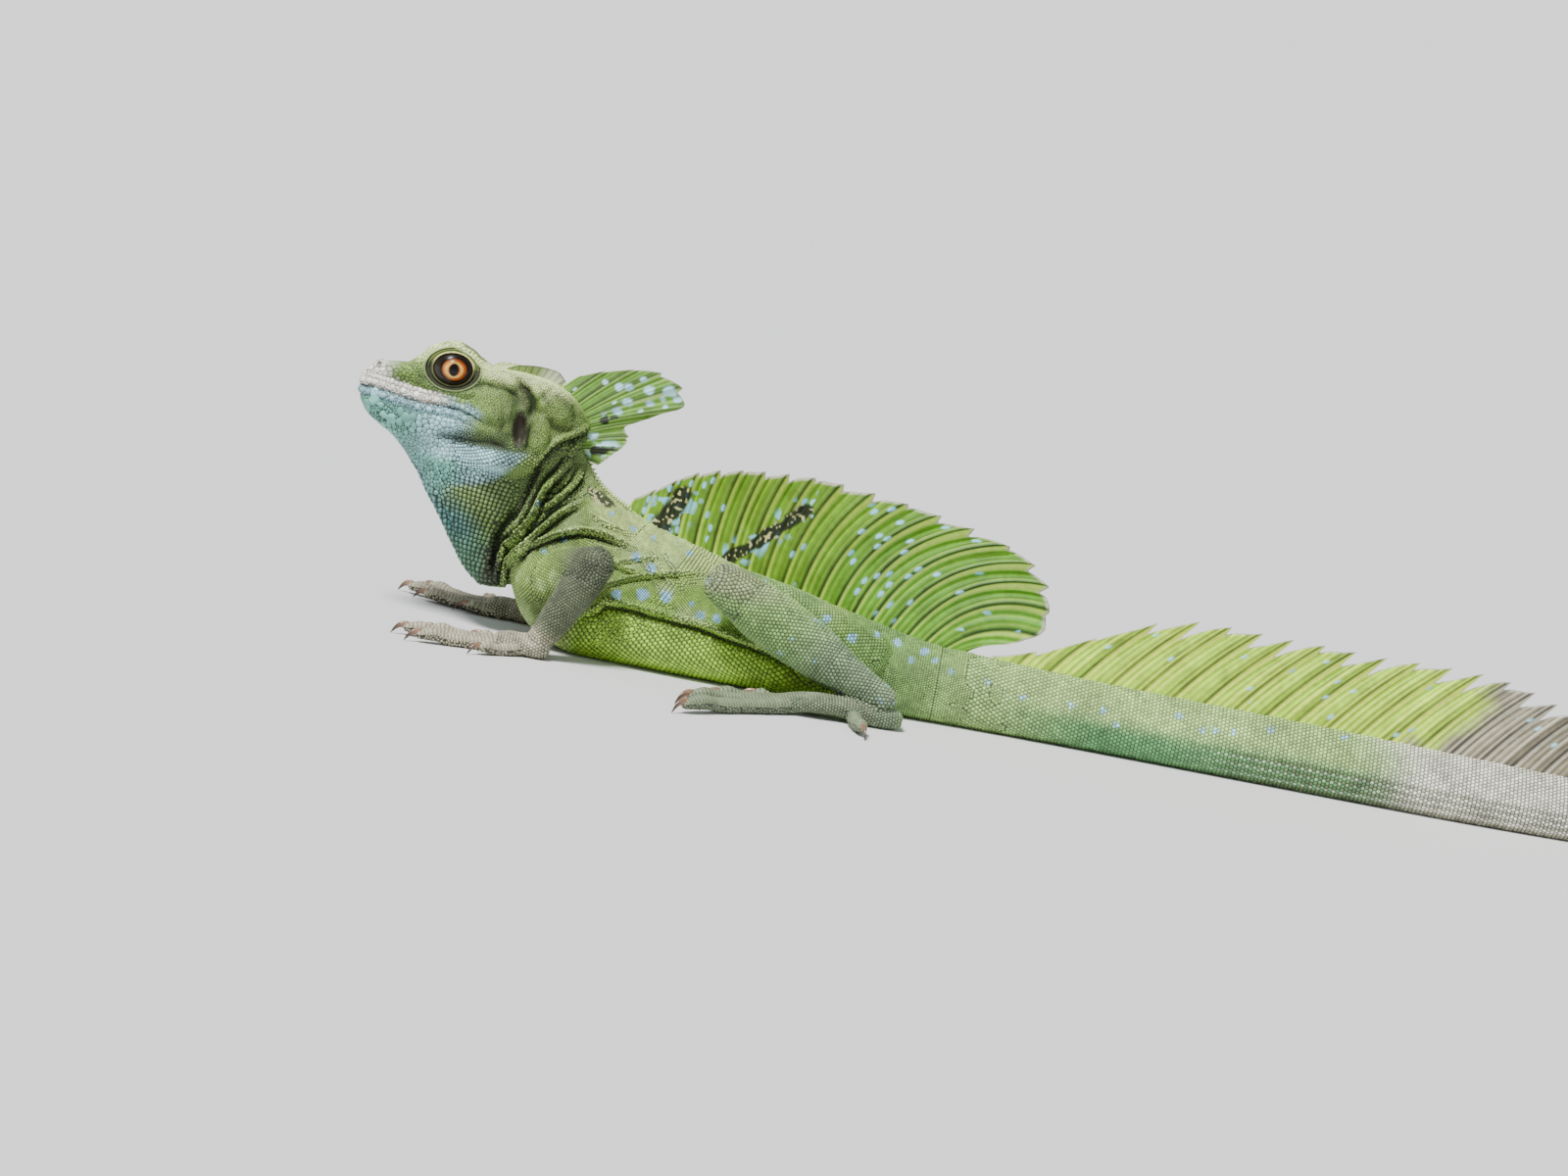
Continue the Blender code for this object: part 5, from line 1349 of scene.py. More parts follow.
@dataclass
class Scales:
    """Many scales of one shape, each with its place, axes, size, colours and the gap that it keeps."""

    shape: Shape
    centre: Array
    normal: Array
    along: Array
    size: Array
    tint: Array
    rim: Array
    gap: Array
    unwrap: Array

    def chosen(self, keep: Array) -> Scales:
        """The scales for which keep is true."""
        return Scales(self.shape, *(getattr(self, name)[keep] for name in
                                    ("centre", "normal", "along", "size", "tint", "rim", "gap", "unwrap")))

    def room(self) -> Array:
        """How wide each is to scales that are laid later, where plates ask for more."""
        return self.size[:, :2].min(1) * (PLATE_ROOM if self.shape is Shape.PLATE else 1.0)

    def cells(self, near: Array, near_size: Array) -> tuple[Array, Array, Array]:
        """Lets each scale reach half way to its neighbours.

        Args:
            near: Centres of the nearest scales of any kind, for each of these.
            near_size: Their mean widths.

        Returns:
            Axes across and along each scale, and its reach towards each corner.
        """
        form = FORMS[self.shape]
        along = unit(self.along - self.normal * (self.along * self.normal).sum(1, keepdims=True))
        across = np.cross(self.normal, along)
        off = near - self.centre[:, None]
        a, b = (off * across[:, None]).sum(2), (off * along[:, None]).sum(2)
        d = np.maximum(np.hypot(a, b), 1e-6)
        own = np.sqrt(self.size[:, 0] * self.size[:, 1])[:, None]
        share = np.clip(own / (own + near_size), 0.2, 0.8)
        theta = np.arange(form.corners) * math.tau / form.corners
        s, c = np.sin(theta), np.cos(theta)
        facing = (a[..., None] * s - b[..., None] * c) / d[..., None]
        bound = np.where(facing > 0.12, (d * share)[..., None] / np.maximum(facing, 0.12), 1e9).min(1)
        half = self.size[:, :2] / 2 * form.beyond
        cap = 1 / np.sqrt((s / half[:, :1]) ** 2 + (c / half[:, 1:]) ** 2)
        return across, along, np.minimum(bound, cap) * (1 - self.gap[:, None])

    def surface(self, near: Array, near_size: Array, seed: int, hide: Hide | None = None) -> Surface:
        """Builds their meshes.

        Args:
            near: Centres of the nearest scales, for each of these.
            near_size: Their mean widths.
            seed: For the small differences from scale to scale.
            hide: The skin, where large plates bend to follow it.

        Returns:
            One surface of triangles, with a UV patch for each scale.
        """
        form = FORMS[self.shape]
        draw = np.random.default_rng(seed)
        across, along, reach = self.cells(near, near_size)
        n, m = len(self.centre), form.corners
        theta = np.arange(m) * math.tau / m
        s, c = np.sin(theta), np.cos(theta)
        flat = across[:, None] * s[None, :, None] - along[:, None] * c[None, :, None]
        rim, shelf = flat * reach[..., None], flat * (reach * form.shelf)[..., None]
        centre = self.centre[:, None]
        foot = np.concatenate([centre + rim, centre + shelf, centre], axis=1)
        normal = np.repeat(self.normal[:, None], 2 * m + 1, axis=1)
        if hide is not None:
            spot, bent, away, _ = hide.seat(foot.reshape(-1, 3), 3.0)
            okay = (away < 2.0).reshape(n, -1, 1)
            foot = np.where(okay, spot.reshape(foot.shape), foot)
            normal = np.where(okay, bent.reshape(foot.shape), normal)
        tall = self.size[:, 2] * draw.uniform(*SCALE_HEIGHT, n)
        sink = 0.10 + 0.03 * self.size[:, 0]
        up = np.concatenate([form.round(form.rim_up), form.round(form.shelf_up), form.top[:1]])
        corners = foot + normal * (up[None, :, None] * (tall + sink)[:, None, None] - sink[:, None, None])
        # lightness by ring: painted shade at the rim and a painted highlight on the top and the raised rear
        light = np.concatenate([form.round(form.rim_light), form.round(form.shelf_light), form.top[1:]])
        light = light[None, :, None]
        top = self.tint * draw.uniform(*SCALE_LIGHT, n)[:, None]
        colour = self.rim[:, None] * (1 - np.minimum(light, 1.0)) + top[:, None] * light
        k = np.arange(m)
        nxt = (k + 1) % m
        tris = np.vstack([np.column_stack([k, nxt, m + nxt]), np.column_stack([k, m + nxt, m + k]),
                          np.column_stack([m + k, m + nxt, np.full(m, 2 * m)])])
        low, high = self.unwrap.min(0), self.unwrap.max(0)
        root = PATCH_EDGE + (1 - 2 * PATCH_EDGE) * (self.unwrap - low) / np.maximum(high - low, 1e-6)
        around = np.column_stack([s, c])
        disc = np.concatenate([around, around * form.shelf, [[0.0, 0.0]]])
        uv = root[:, None] + PATCH_RADIUS * disc[None]
        start = (np.arange(n) * (2 * m + 1))[:, None, None]
        return Surface(corners.reshape(-1, 3), (tris[None] + start).reshape(-1, 3), colour.reshape(-1, 3),
                       uv.reshape(-1, 2))


def point_tree(points: Array) -> KDTree:
    """A search tree over points."""
    tree = KDTree(len(points))
    for i, p in enumerate(points):
        tree.insert(p, i)
    tree.balance()
    return tree


def thinned(points: Array, gap: Array) -> Array:
    """Keeps points in order, dropping each that comes too near to one kept before.

    Args:
        points: Places.
        gap: The least distance that each keeps clear.

    Returns:
        A true value for each point that stays.
    """
    tree = point_tree(points)
    keep = np.ones(len(points), bool)
    for i, p in enumerate(points):
        if keep[i]:
            for _, j, _ in tree.find_range(p, gap[i]):
                if j > i:
                    keep[j] = False
    return keep


def rows_on(loft: Loft, size: Knots, step: float) -> tuple[Array, Array, Array]:
    """Lays places on a form in rings, half a step off from ring to ring.

    Args:
        loft: The form.
        size: Width and length of a scale at runs along the form; the rows stay between the first and last.
        step: Share of a scale's length from ring to ring.

    Returns:
        The places, the direction along the form at each, and each scale's width and length.
    """
    run = loft.run()
    closed = np.concatenate([loft.rings, loft.rings[:, :1]], axis=1)
    places, ways, sizes = [], [], []
    at, k = size[0][0], 0
    while at < min(size[-1][0], run[-1] - 0.01):
        wide, long = curve_through(size, at)[0]
        i = min(int(np.searchsorted(run, at, side="right")) - 1, len(run) - 2)
        f = (at - run[i]) / (run[i + 1] - run[i])
        ring = closed[i] * (1 - f) + closed[i + 1] * f
        length = np.concatenate([[0], np.cumsum(np.linalg.norm(np.diff(ring, axis=0), axis=1))])
        count = 2 * round(math.exp(round(math.log(max(length[-1] / wide, 3.0)) / ROW_STEP) * ROW_STEP) / 2)
        s = (np.arange(count) + 0.5 * (k % 2)) / count * length[-1]
        places.append(np.column_stack([np.interp(s, length, ring[:, j]) for j in range(3)]))
        ahead = closed[i + 1] - closed[i]
        ways.append(np.column_stack([np.interp(s, length, ahead[:, j]) for j in range(3)]))
        sizes.append(np.tile([length[-1] / count, long], (count, 1)))
        at += long * step
        k += 1
    return np.vstack(places), unit(np.vstack(ways)), np.vstack(sizes)


class Region(Enum):
    """Parts of the coat, each a piece of its own."""

    HEAD = "head"
    THROAT = "throat"
    NECK = "neck"
    FLANK_LEFT = "flank_left"
    FLANK_RIGHT = "flank_right"
    BELLY = "belly"
    TAIL_FRONT = "tail_front"
    TAIL_REAR = "tail_rear"
    FORE_LEGS = "fore_legs"
    HIND_LEGS = "hind_legs"


REGIONS = tuple(Region)
SLOTS = {
    Region.HEAD: "head_skin",
    Region.THROAT: "throat_skin",
    Region.NECK: "neck_skin",
    Region.FLANK_LEFT: "body_skin",
    Region.FLANK_RIGHT: "body_skin",
    Region.BELLY: "body_skin",
    Region.TAIL_FRONT: "tail_skin",
    Region.TAIL_REAR: "tail_skin",
    Region.FORE_LEGS: "leg_skin",
    Region.HIND_LEGS: "leg_skin",
}


def regions_at(p: Array) -> Array:
    """The region number of each place."""
    x, seen = sight(p)
    y, z = p[:, 1], p[:, 2]
    where, share = limb_places(p)
    length = tail_lengths_at(p)
    number = {region: i for i, region in enumerate(REGIONS)}
    flank = np.where(y < 0, number[Region.FLANK_LEFT], number[Region.FLANK_RIGHT])
    region = np.where(seen < line_at(BELLY_LINE, x), number[Region.BELLY], flank)
    region = np.where(x + 0.25 * (50.0 - z) < -107.0, number[Region.NECK], region)
    ahead = x < line_at(HEAD_REAR, seen)
    front = np.where(seen < line_at(JOWL_LINE, x), number[Region.THROAT], number[Region.HEAD])
    region = np.where(ahead, front, region)
    region = np.where(length > 4.0, number[Region.TAIL_FRONT], region)
    region = np.where(length > 120.0, number[Region.TAIL_REAR], region)
    fore, hind = number[Region.FORE_LEGS], number[Region.HIND_LEGS]
    on_leg = (share > 0.5) & (where % 10.0 > 0.25)
    return np.where(on_leg, np.where(where >= 10.0, hind, fore), region)


def unwrapped(p: Array, region: Array) -> Array:
    """Places on an unwrap of the skin: length along each form and angle around it."""
    x, y, z = p.T
    length = tail_lengths_at(p)
    line = tail_line(np.maximum(length, 0.0))
    tail_y = (y - line[:, 1]) * np.cos(line[:, 2]) - (x - line[:, 0]) * np.sin(line[:, 2])
    height = curve_through(TAIL_LENGTHS, np.maximum(length, 0.0))[:, 0]
    u = np.where(length > 4.0, length, x)
    v = np.where(length > 4.0, np.arctan2(tail_y, z - height / 2), np.arctan2(y, z - 16.0))
    v = np.where(region == REGIONS.index(Region.HEAD), np.arctan2(y, z - 62.0), v)
    throat = region == REGIONS.index(Region.THROAT)
    u = np.where(throat, -z, u)
    v = np.where(throat, np.arctan2(y, x + 140.0 + 0.5 * (z - 30.0)), v)
    where, _ = limb_places(p)
    for plan in LEGS:
        joints = plan.points()
        leg = ((region == REGIONS.index(Region.HIND_LEGS if plan.hind else Region.FORE_LEGS))
               & (np.sign(y) == plan.side.value))
        start, end = joints[1], np.where((where % 10.0 < 1.0)[:, None], joints[0], joints[2])
        off = p - start
        around = np.arctan2(off[:, 1], (off * np.cross(unit(end - start), [0.0, 1.0, 0.0])).sum(1))
        u = np.where(leg, where % 10.0, u)
        v = np.where(leg, around + (7.0 if plan.side is Side.RIGHT else 0.0), v)
    return np.column_stack([u, v])


@dataclass
class Coat:
    """Every scale over the skin, laid in rows form by form, with the gaps filled last."""

    hide: Hide
    found: list[Scales] = field(default_factory=list)

    def rim_colour(self, p: Array, tint: Array) -> Array:
        """Colour of the skin between scales: near black on the neck and pouch, a deep tone elsewhere, partly
        the skin's own darker colour and partly painted shade in the gaps.
        """
        x, seen = sight(p)
        head = smooth(1.0, -1.0, x - line_at(HEAD_REAR, seen))
        pouch = head * smooth(2.0, -2.0, seen - line_at(JOWL_LINE, x))
        low = smooth(-1.5, -3.5, seen - line_at(LIP, x)) * smooth(59.0, 56.0, seen)
        dark = 0.78 * (1 - head) + head * (0.62 + 0.24 * low)
        # the last factor darkens every gap further, as painted shade
        return mix(tint, Paint.dark, np.maximum(dark, 0.80 * pouch)) * 0.75

    def gap_share(self, p: Array) -> Array:
        """How much of its reach a scale leaves bare: most on the pouch."""
        x, seen = sight(p)
        head = smooth(1.0, -1.0, x - line_at(HEAD_REAR, seen))
        where, leg = limb_places(p)
        pouch = head * smooth(1.5, -1.5, seen - line_at(JOWL_LINE, x))
        return 0.015 + 0.04 * pouch + 0.035 * leg * (where % 10.0 > 0.5)

    def add(self, shape: Shape, places: Array, along: Array, size: Array, clear: float = 0.72,
            reach: float = 2.8, tint: Array | None = None) -> None:
        """Seats scales on the skin and keeps those that have room.

        Args:
            shape: Their shape.
            places: Where they are wanted.
            along: Direction towards their rear ends.
            size: Width, length and height of each.
            clear: Share of its width that a scale keeps free of others.
            reach: How far they may be moved on to the skin.
            tint: Their colours, or none to read the animal's own.
        """
        spot, normal, away, tone = self.hide.seat(places, reach + 1.0)
        okay = (away < reach) & (spot[:, 2] > 0.3)
        okay &= ~((lid_spread(spot, LID_ROOT) < 0.98) & (np.abs(spot[:, 1]) > 5.5) & (spot[:, 0] < -135.0))
        pit = EAR.spread(*sight(spot))
        okay &= ~((pit < 0.88) & (spot[:, 0] < -120.0))
        least = np.minimum(size[:, 0], size[:, 1])
        if self.found:
            tree = point_tree(np.vstack([s.centre for s in self.found]))
            room = np.concatenate([s.room() for s in self.found])
            for i in np.where(okay)[0]:
                _, j, distance = tree.find(spot[i])
                okay[i] = distance > clear * (least[i] + room[j]) / 2
        i = np.where(okay)[0]
        i = i[thinned(spot[i], clear * least[i])]
        # each scale's colour carries the painted light and shade of the folds under it
        colour = (Paint.hide(spot[i]) if tint is None else tint[i]) * tone[i, None]
        region = regions_at(spot[i])
        self.found.append(Scales(shape, spot[i], normal[i], along[i], size[i], colour,
                                 self.rim_colour(spot[i], colour), self.gap_share(spot[i]),
                                 unwrapped(spot[i], region)))

    def on_form(self, loft: Loft, shape: Shape, size: Knots, tall: float,
                where: Callable[[Array], Array] | None = None, clear: float = 0.72) -> None:
        """Lays rows of one kind of scale on a form.

        Args:
            loft: The form.
            shape: The scales' shape.
            size: Their width and length at runs along the form.
            tall: Their height as a share of their width.
            where: Tells which places to use, or none for all.
            clear: Share of its width that a scale keeps free of others.
        """
        places, along, sizes = rows_on(loft, size, RING_STEP.get(shape, 0.866))
        if where is not None:
            keep = where(places)
            places, along, sizes = places[keep], along[keep], sizes[keep]
        if len(places):
            self.add(shape, places, along, np.column_stack([sizes * STRETCH, sizes[:, 0] * tall]), clear)

    def scatter(self, shape: Shape, where: Callable[[Array], Array], size: Callable[[Array], Array],
                tall: float, darts: int, seed: int, clear: float = 0.86) -> None:
        """Strews scales over a part of the skin, each keeping its distance.

        Args:
            shape: Their shape.
            where: Tells which places to use.
            size: Their width at each place.
            tall: Their height as a share of their width.
            darts: How many places to try.
            seed: For the draw.
            clear: Share of its width that a scale keeps free of others.
        """
        draw = np.random.default_rng(SEED + 1000 * seed)
        p = self.hide.points[self.hide.faces]
        p = p[where(p.mean(1))]
        area = np.linalg.norm(np.cross(p[:, 2] - p[:, 0], p[:, 3] - p[:, 1]), axis=1)
        face = draw.choice(len(p), darts, p=area / area.sum())
        a, b = draw.random((2, darts, 1))
        low, high = p[face, 0] * (1 - a) + p[face, 1] * a, p[face, 3] * (1 - a) + p[face, 2] * a
        spot = low * (1 - b) + high * b
        wide = size(spot)
        along = np.tile([1.0, 0.0, -0.2], (darts, 1))
        self.add(shape, spot, along, np.column_stack([wide * STRETCH, wide * STRETCH, wide * tall]), clear)

    def pieces(self) -> dict[Region, Surface]:
        """The scales' meshes by region."""
        centre, size = (np.vstack([getattr(s, name) for s in self.found]) for name in ("centre", "size"))
        near, near_size = nearest(centre, size)
        parts: dict[Region, list[Surface]] = {region: [] for region in REGIONS}
        start = 0
        for k, scales in enumerate(self.found):
            own = slice(start, start + len(scales.centre))
            start += len(scales.centre)
            region = regions_at(scales.centre)
            bend = self.hide if scales.shape is Shape.PLATE else None
            for number, name in enumerate(REGIONS):
                keep = region == number
                if keep.any():
                    parts[name].append(scales.chosen(keep).surface(near[own][keep], near_size[own][keep],
                                                                   SEED + 31 * k + number, bend))
        return {name: Surface.joined(found) for name, found in parts.items() if found}


def nearest(centre: Array, size: Array, count: int = 10) -> tuple[Array, Array]:
    """Centres and mean widths of the scales nearest to each scale.

    Args:
        centre: Every scale's centre.
        size: Every scale's width, length and height.
        count: How many to find.

    Returns:
        Their centres and their mean widths.
    """
    tree = point_tree(centre)
    index = np.array([[hit[1] for hit in tree.find_n(p, count + 1)][1:] for p in centre])
    return centre[index], np.sqrt(size[:, 0] * size[:, 1])[index]


def head_shares(p: Array) -> tuple[Array, Array, Array]:
    """Seen height, height over the lip line, and whether each place is on the head above the pouch."""
    x, seen = sight(p)
    ahead = (x < line_at(HEAD_REAR, seen)) & (seen > line_at(JOWL_LINE, x) - 1.5)
    return seen, seen - line_at(LIP, x), ahead


def is_chin(p: Array) -> Array:
    """Places of the large plates under the lower lip."""
    _, gape, ahead = head_shares(p)
    return ahead & (gape < -3.2) & (p[:, 0] < -145.0)


def chin_size(p: Array) -> Array:
    """Widths of the chin's plates, smaller to the rear and below."""
    _, gape, _ = head_shares(p)
    wide = line_at(((-174.0, 2.6), (-166.0, 3.3), (-160.0, 2.6), (-154.0, 1.7), (-146.0, 1.2)), p[:, 0])
    return np.maximum(wide * (1 - 0.5 * smooth(-7.0, -11.0, gape)), 1.1)


def is_snout(p: Array) -> Array:
    """Places of the flat plates over the snout's tip."""
    _, gape, ahead = head_shares(p)
    return ahead & (gape > 2.4) & (p[:, 0] < -161.0)


def snout_size(p: Array) -> Array:
    """Widths of the snout's plates."""
    return line_at(((-176.0, 1.9), (-170.0, 1.6), (-162.0, 1.15)), p[:, 0])


def is_crown(p: Array) -> Array:
    """Places of the small plates over the top of the head."""
    seen, _, ahead = head_shares(p)
    edge = line_at(((-165.0, 71.0), (-159.0, 74.0), (-140.0, 76.5), (-110.0, 74.0)), p[:, 0])
    return ahead & (seen > edge)


def crown_size(p: Array) -> Array:
    """Widths of the crown's plates."""
    return line_at(((-165.0, 1.0), (-150.0, 0.95), (-138.0, 1.1), (-120.0, 0.95), (-107.0, 0.8)), p[:, 0])


def is_cheek(p: Array) -> Array:
    """Places of the fine granules over cheek, temple and the side of the snout."""
    _, gape, ahead = head_shares(p)
    return ahead & (gape > -6.5) & (p[:, 2] > 52.0)


def cheek_size(p: Array) -> Array:
    """Widths of the cheek's granules."""
    return line_at(((-164.0, 0.9), (-154.0, 0.66), (-140.0, 0.58), (-120.0, 0.60), (-108.0, 0.66)), p[:, 0])


def is_jowl(p: Array) -> Array:
    """Places of the rows of pale granules along the lower jaw."""
    x, seen = sight(p)
    top = line_at(((-162.0, 52.0), (-152.0, 52.0), (-140.0, 52.6), (-121.0, 53.6)), x)
    return (seen < top) & (seen > line_at(JOWL_LINE, x) - 4.0) & (x > -158.0)


def is_belly(p: Array) -> Array:
    """Places of the belly's larger scales."""
    x, seen = sight(p)
    return (seen < line_at(BELLY_LINE, x) - 0.7) & (x > -104.0)


def is_tail(p: Array) -> Array:
    """Places of the tail's keeled scales, which start in patches behind the vent."""
    return tail_lengths_at(p) > 14.0 + 14.0 * value_noise(p, 4.0, 30)


def is_vent(p: Array) -> Array:
    """Places of the plain scales between the trunk's and the tail's."""
    return tail_lengths_at(p) < 40.0


def is_skin(p: Array) -> Array:
    """Every place above the floor."""
    return p[:, 2] > 0.35


def filler_size(p: Array) -> Array:
    """Width of the small scales that fill gaps at each place."""
    x, seen = sight(p)
    where, share = limb_places(p)
    size = np.full(len(p), 0.72)
    head = x < line_at(HEAD_REAR, seen)
    size = np.where(head & (seen > 50.0), 0.62, size)
    size = np.where(head & (seen < line_at(JOWL_LINE, x)), 1.15, size)
    size = np.where(share * (where % 10.0 > 1.9) > 0.5, 0.75, size)
    return np.where(tail_lengths_at(p) > 60.0, 1.0, size)


def back_height(x: Array) -> Array:
    """Height of the back's middle line over the floor at places along the body."""
    rings = np.array([(r[2], r[3]) for r in BODY_RINGS])
    tail = curve_through(TAIL_LENGTHS, np.maximum(x - VENT_X, 0.0))[:, 0]
    return np.where(x < VENT_X, curve_through(rings, x)[:, 0], tail)


@dataclass(frozen=True)
class Fin:
    """A thin rayed crest, denser and finer than its solid.

    roots and tips give (share, x or length, z or rise); bow bends the rays forward or back.
    """

    name: str
    roots: Knots
    tips: Knots
    bow: Knots
    rays: int
    notch: float
    widths: tuple[float, float, float]
    wave: float
    columns: int
    rows: int
    strands: int
    pleat: float
    on_tail: bool = False

    def root_and_tip(self, share: Array) -> tuple[Array, Array]:
        """Root and tip points, in side view, at shares along the crest."""
        if self.on_tail:
            lengths = self.roots[0][0] + (self.roots[1][0] - self.roots[0][0]) * share
            rise = line_at(self.tips, lengths)
            height = curve_through(TAIL_LENGTHS, lengths)[:, 0]
            return (np.column_stack([lengths, height - 1.6]),
                    np.column_stack([lengths + 0.95 * rise, height + rise]))
        if len(self.roots[0]) == 1:
            x = self.roots[0][0] + (self.roots[1][0] - self.roots[0][0]) * share
            root = np.column_stack([x, back_height(x) - 1.6])
        else:
            root = curve_through(self.roots, share)
        return root, curve_through(self.tips, share)

    def mesh(self, paint: Callable[[Array, Array, Array, Array, Array], Array]) -> Surface:
        """Builds the crest.

        Args:
            paint: Gives colours from share along, share up, the crest's height, ray count and place.

        Returns:
            A closed thin surface with its colours.
        """
        share = np.linspace(0.0, 1.0, self.columns)
        v = np.linspace(0.0, 1.0, self.rows)
        root, tip = self.root_and_tip(share)
        phase = (share * self.rays) % 1.0
        tooth = np.minimum(1 - phase, 12.0 * phase + 0.3) ** 1.4
        jag = self.notch * tooth * (0.8 + 0.4 * np.sin(share * self.rays * 2.1))
        tip = root + (tip - root) * (1 - jag)[:, None]
        along = tip - root
        bow = line_at(self.bow, share)
        bend = np.column_stack([-along[:, 1], along[:, 0]]) * bow[:, None]
        arc = (4 * v * (1 - v))[None, :, None]
        flat = root[:, None] + along[:, None] * v[None, :, None] + bend[:, None] * arc
        s, up = np.meshgrid(share, v, indexing="ij")
        ridge = np.exp(-((1 - np.abs(2 * ((s * self.rays) % 1.0) - 1)) / 0.26) ** 2)
        second = 0.5 + 0.5 * np.cos(math.tau * s * self.rays * self.strands)
        height = np.linalg.norm(along, axis=1)
        beads = 0.5 + 0.5 * np.cos(up * height[:, None] * math.tau / 1.7 + 2.0 * s * self.rays)
        root_half, ray_half, skin_half = (w / 2 for w in self.widths)
        edge = skin_half + (ray_half - skin_half) * ridge + 0.05 * second + 0.05 * ridge * beads
        half = root_half * (1 - up) ** 2.2 + edge * (1 - (1 - up) ** 2.2) * (1 - 0.35 * up)
        half *= np.minimum(1.0, 0.12 + 14 * np.minimum(s, 1 - s)) * (1 - 0.75 * smooth(0.975, 1.0, up))
        fade = np.minimum(1.0, 8.0 * np.minimum(s, 1 - s)) * np.sqrt(up)
        turn = math.tau * s * self.rays
        pleats = self.pleat * np.sin(turn) + 0.36 * self.pleat * np.cos(turn * self.strands)
        sway = self.wave * np.sin(9 * s + 2 * up) * up + fade * pleats
        x, z = flat[..., 0], flat[..., 1]
        sides = []
        if self.on_tail:
            line = tail_line(x.ravel()).reshape(*x.shape, 3)
            for sign in (-1.0, 1.0):
                off = sway + sign * half
                sides.append(np.stack([line[..., 0] - np.sin(line[..., 2]) * off,
                                       line[..., 1] + np.cos(line[..., 2]) * off, z], axis=-1))
        else:
            for sign in (-1.0, 1.0):
                sides.append(np.stack([x, sway + sign * half, z], axis=-1))
        rings = np.concatenate([sides[0], sides[1][:, ::-1]], axis=1)
        place = np.stack([x, z], axis=-1).reshape(-1, 2)
        tint = paint(s.ravel(), up.ravel(), np.repeat(height, self.rows), (s * self.rays).ravel(), place)
        tint = tint.reshape(self.columns, self.rows, 3)
        tint = np.concatenate([tint, tint[:, ::-1]], axis=1)
        faces = grid_faces(self.columns, 2 * self.rows, True)[:, ::-1]
        return Surface(rings.reshape(-1, 3), faces, tint.reshape(-1, 3))


SAIL = Fin(
    name="sail",
    roots=((-92.5,), (11.0,)),
    tips=((0.0, -91.0, 46.9), (0.2, -69.0, 59.6), (0.42, -40.5, 62.8), (0.66, 3.0, 57.8), (0.78, 26.0, 50.5),
          (0.86, 33.0, 42.0), (0.92, 33.8, 33.0), (0.96, 28.0, 27.4), (1.0, 17.0, 23.9)),
    bow=((0.0, 0.02), (0.4, 0.05), (0.7, 0.14), (0.9, 0.16), (1.0, 0.05)),
    rays=19,
    notch=0.075,
    widths=(1.5, 0.8, 0.36),
    wave=0.7,
    columns=560,
    rows=76,
    strands=3,
    pleat=0.9,
)
TAIL_FIN = Fin(
    name="tail_fin",
    roots=((14.0,), (216.0,)),
    tips=((14.0, 0.8), (22.0, 4.0), (30.0, 10.0), (38.0, 17.0), (46.0, 22.5), (60.0, 23.0), (100.0, 23.0),
          (132.0, 24.0), (152.0, 21.5), (170.0, 17.0), (190.0, 11.0), (216.0, 2.0)),
    bow=((0.0, 0.03), (1.0, 0.03)),
    rays=22,
    notch=0.26,
    widths=(1.4, 0.7, 0.36),
    wave=0.4,
    columns=660,
    rows=46,
    strands=4,
    pleat=0.6,
    on_tail=True,
)
CROWN_FIN = Fin(
    name="crown_fin",
    roots=((0.0, -119.0, 73.0), (0.35, -112.0, 66.5), (0.7, -111.5, 61.0), (1.0, -109.0, 55.4)),
    tips=((0.0, -113.0, 78.9), (0.14, -104.0, 82.3), (0.3, -92.0, 84.4), (0.42, -84.2, 82.0),
          (0.5, -81.2, 76.8), (0.6, -89.0, 71.6), (0.7, -97.0, 66.4), (0.8, -95.6, 63.2), (0.9, -99.0, 58.6),
          (1.0, -103.2, 54.2)),
    bow=((0.0, 0.02), (1.0, 0.02)),
    rays=9,
    notch=0.06,
    widths=(1.9, 0.8, 0.4),
    wave=0.5,
    columns=250,
    rows=64,
    strands=4,
    pleat=0.4,
)
FRONT_FIN = Fin(
    name="front_fin",
    roots=((0.0, -134.0, 75.6), (1.0, -119.0, 74.2)),
    tips=((0.0, -134.0, 77.2), (0.2, -130.4, 78.6), (0.5, -125.0, 79.3), (0.8, -119.6, 78.9),
          (1.0, -116.6, 76.4)),
    bow=((0.0, 0.0), (1.0, 0.0)),
    rays=9,
    notch=0.03,
    widths=(1.5, 0.9, 0.5),
    wave=0.1,
    columns=120,
    rows=24,
    strands=3,
    pleat=0.1,
)


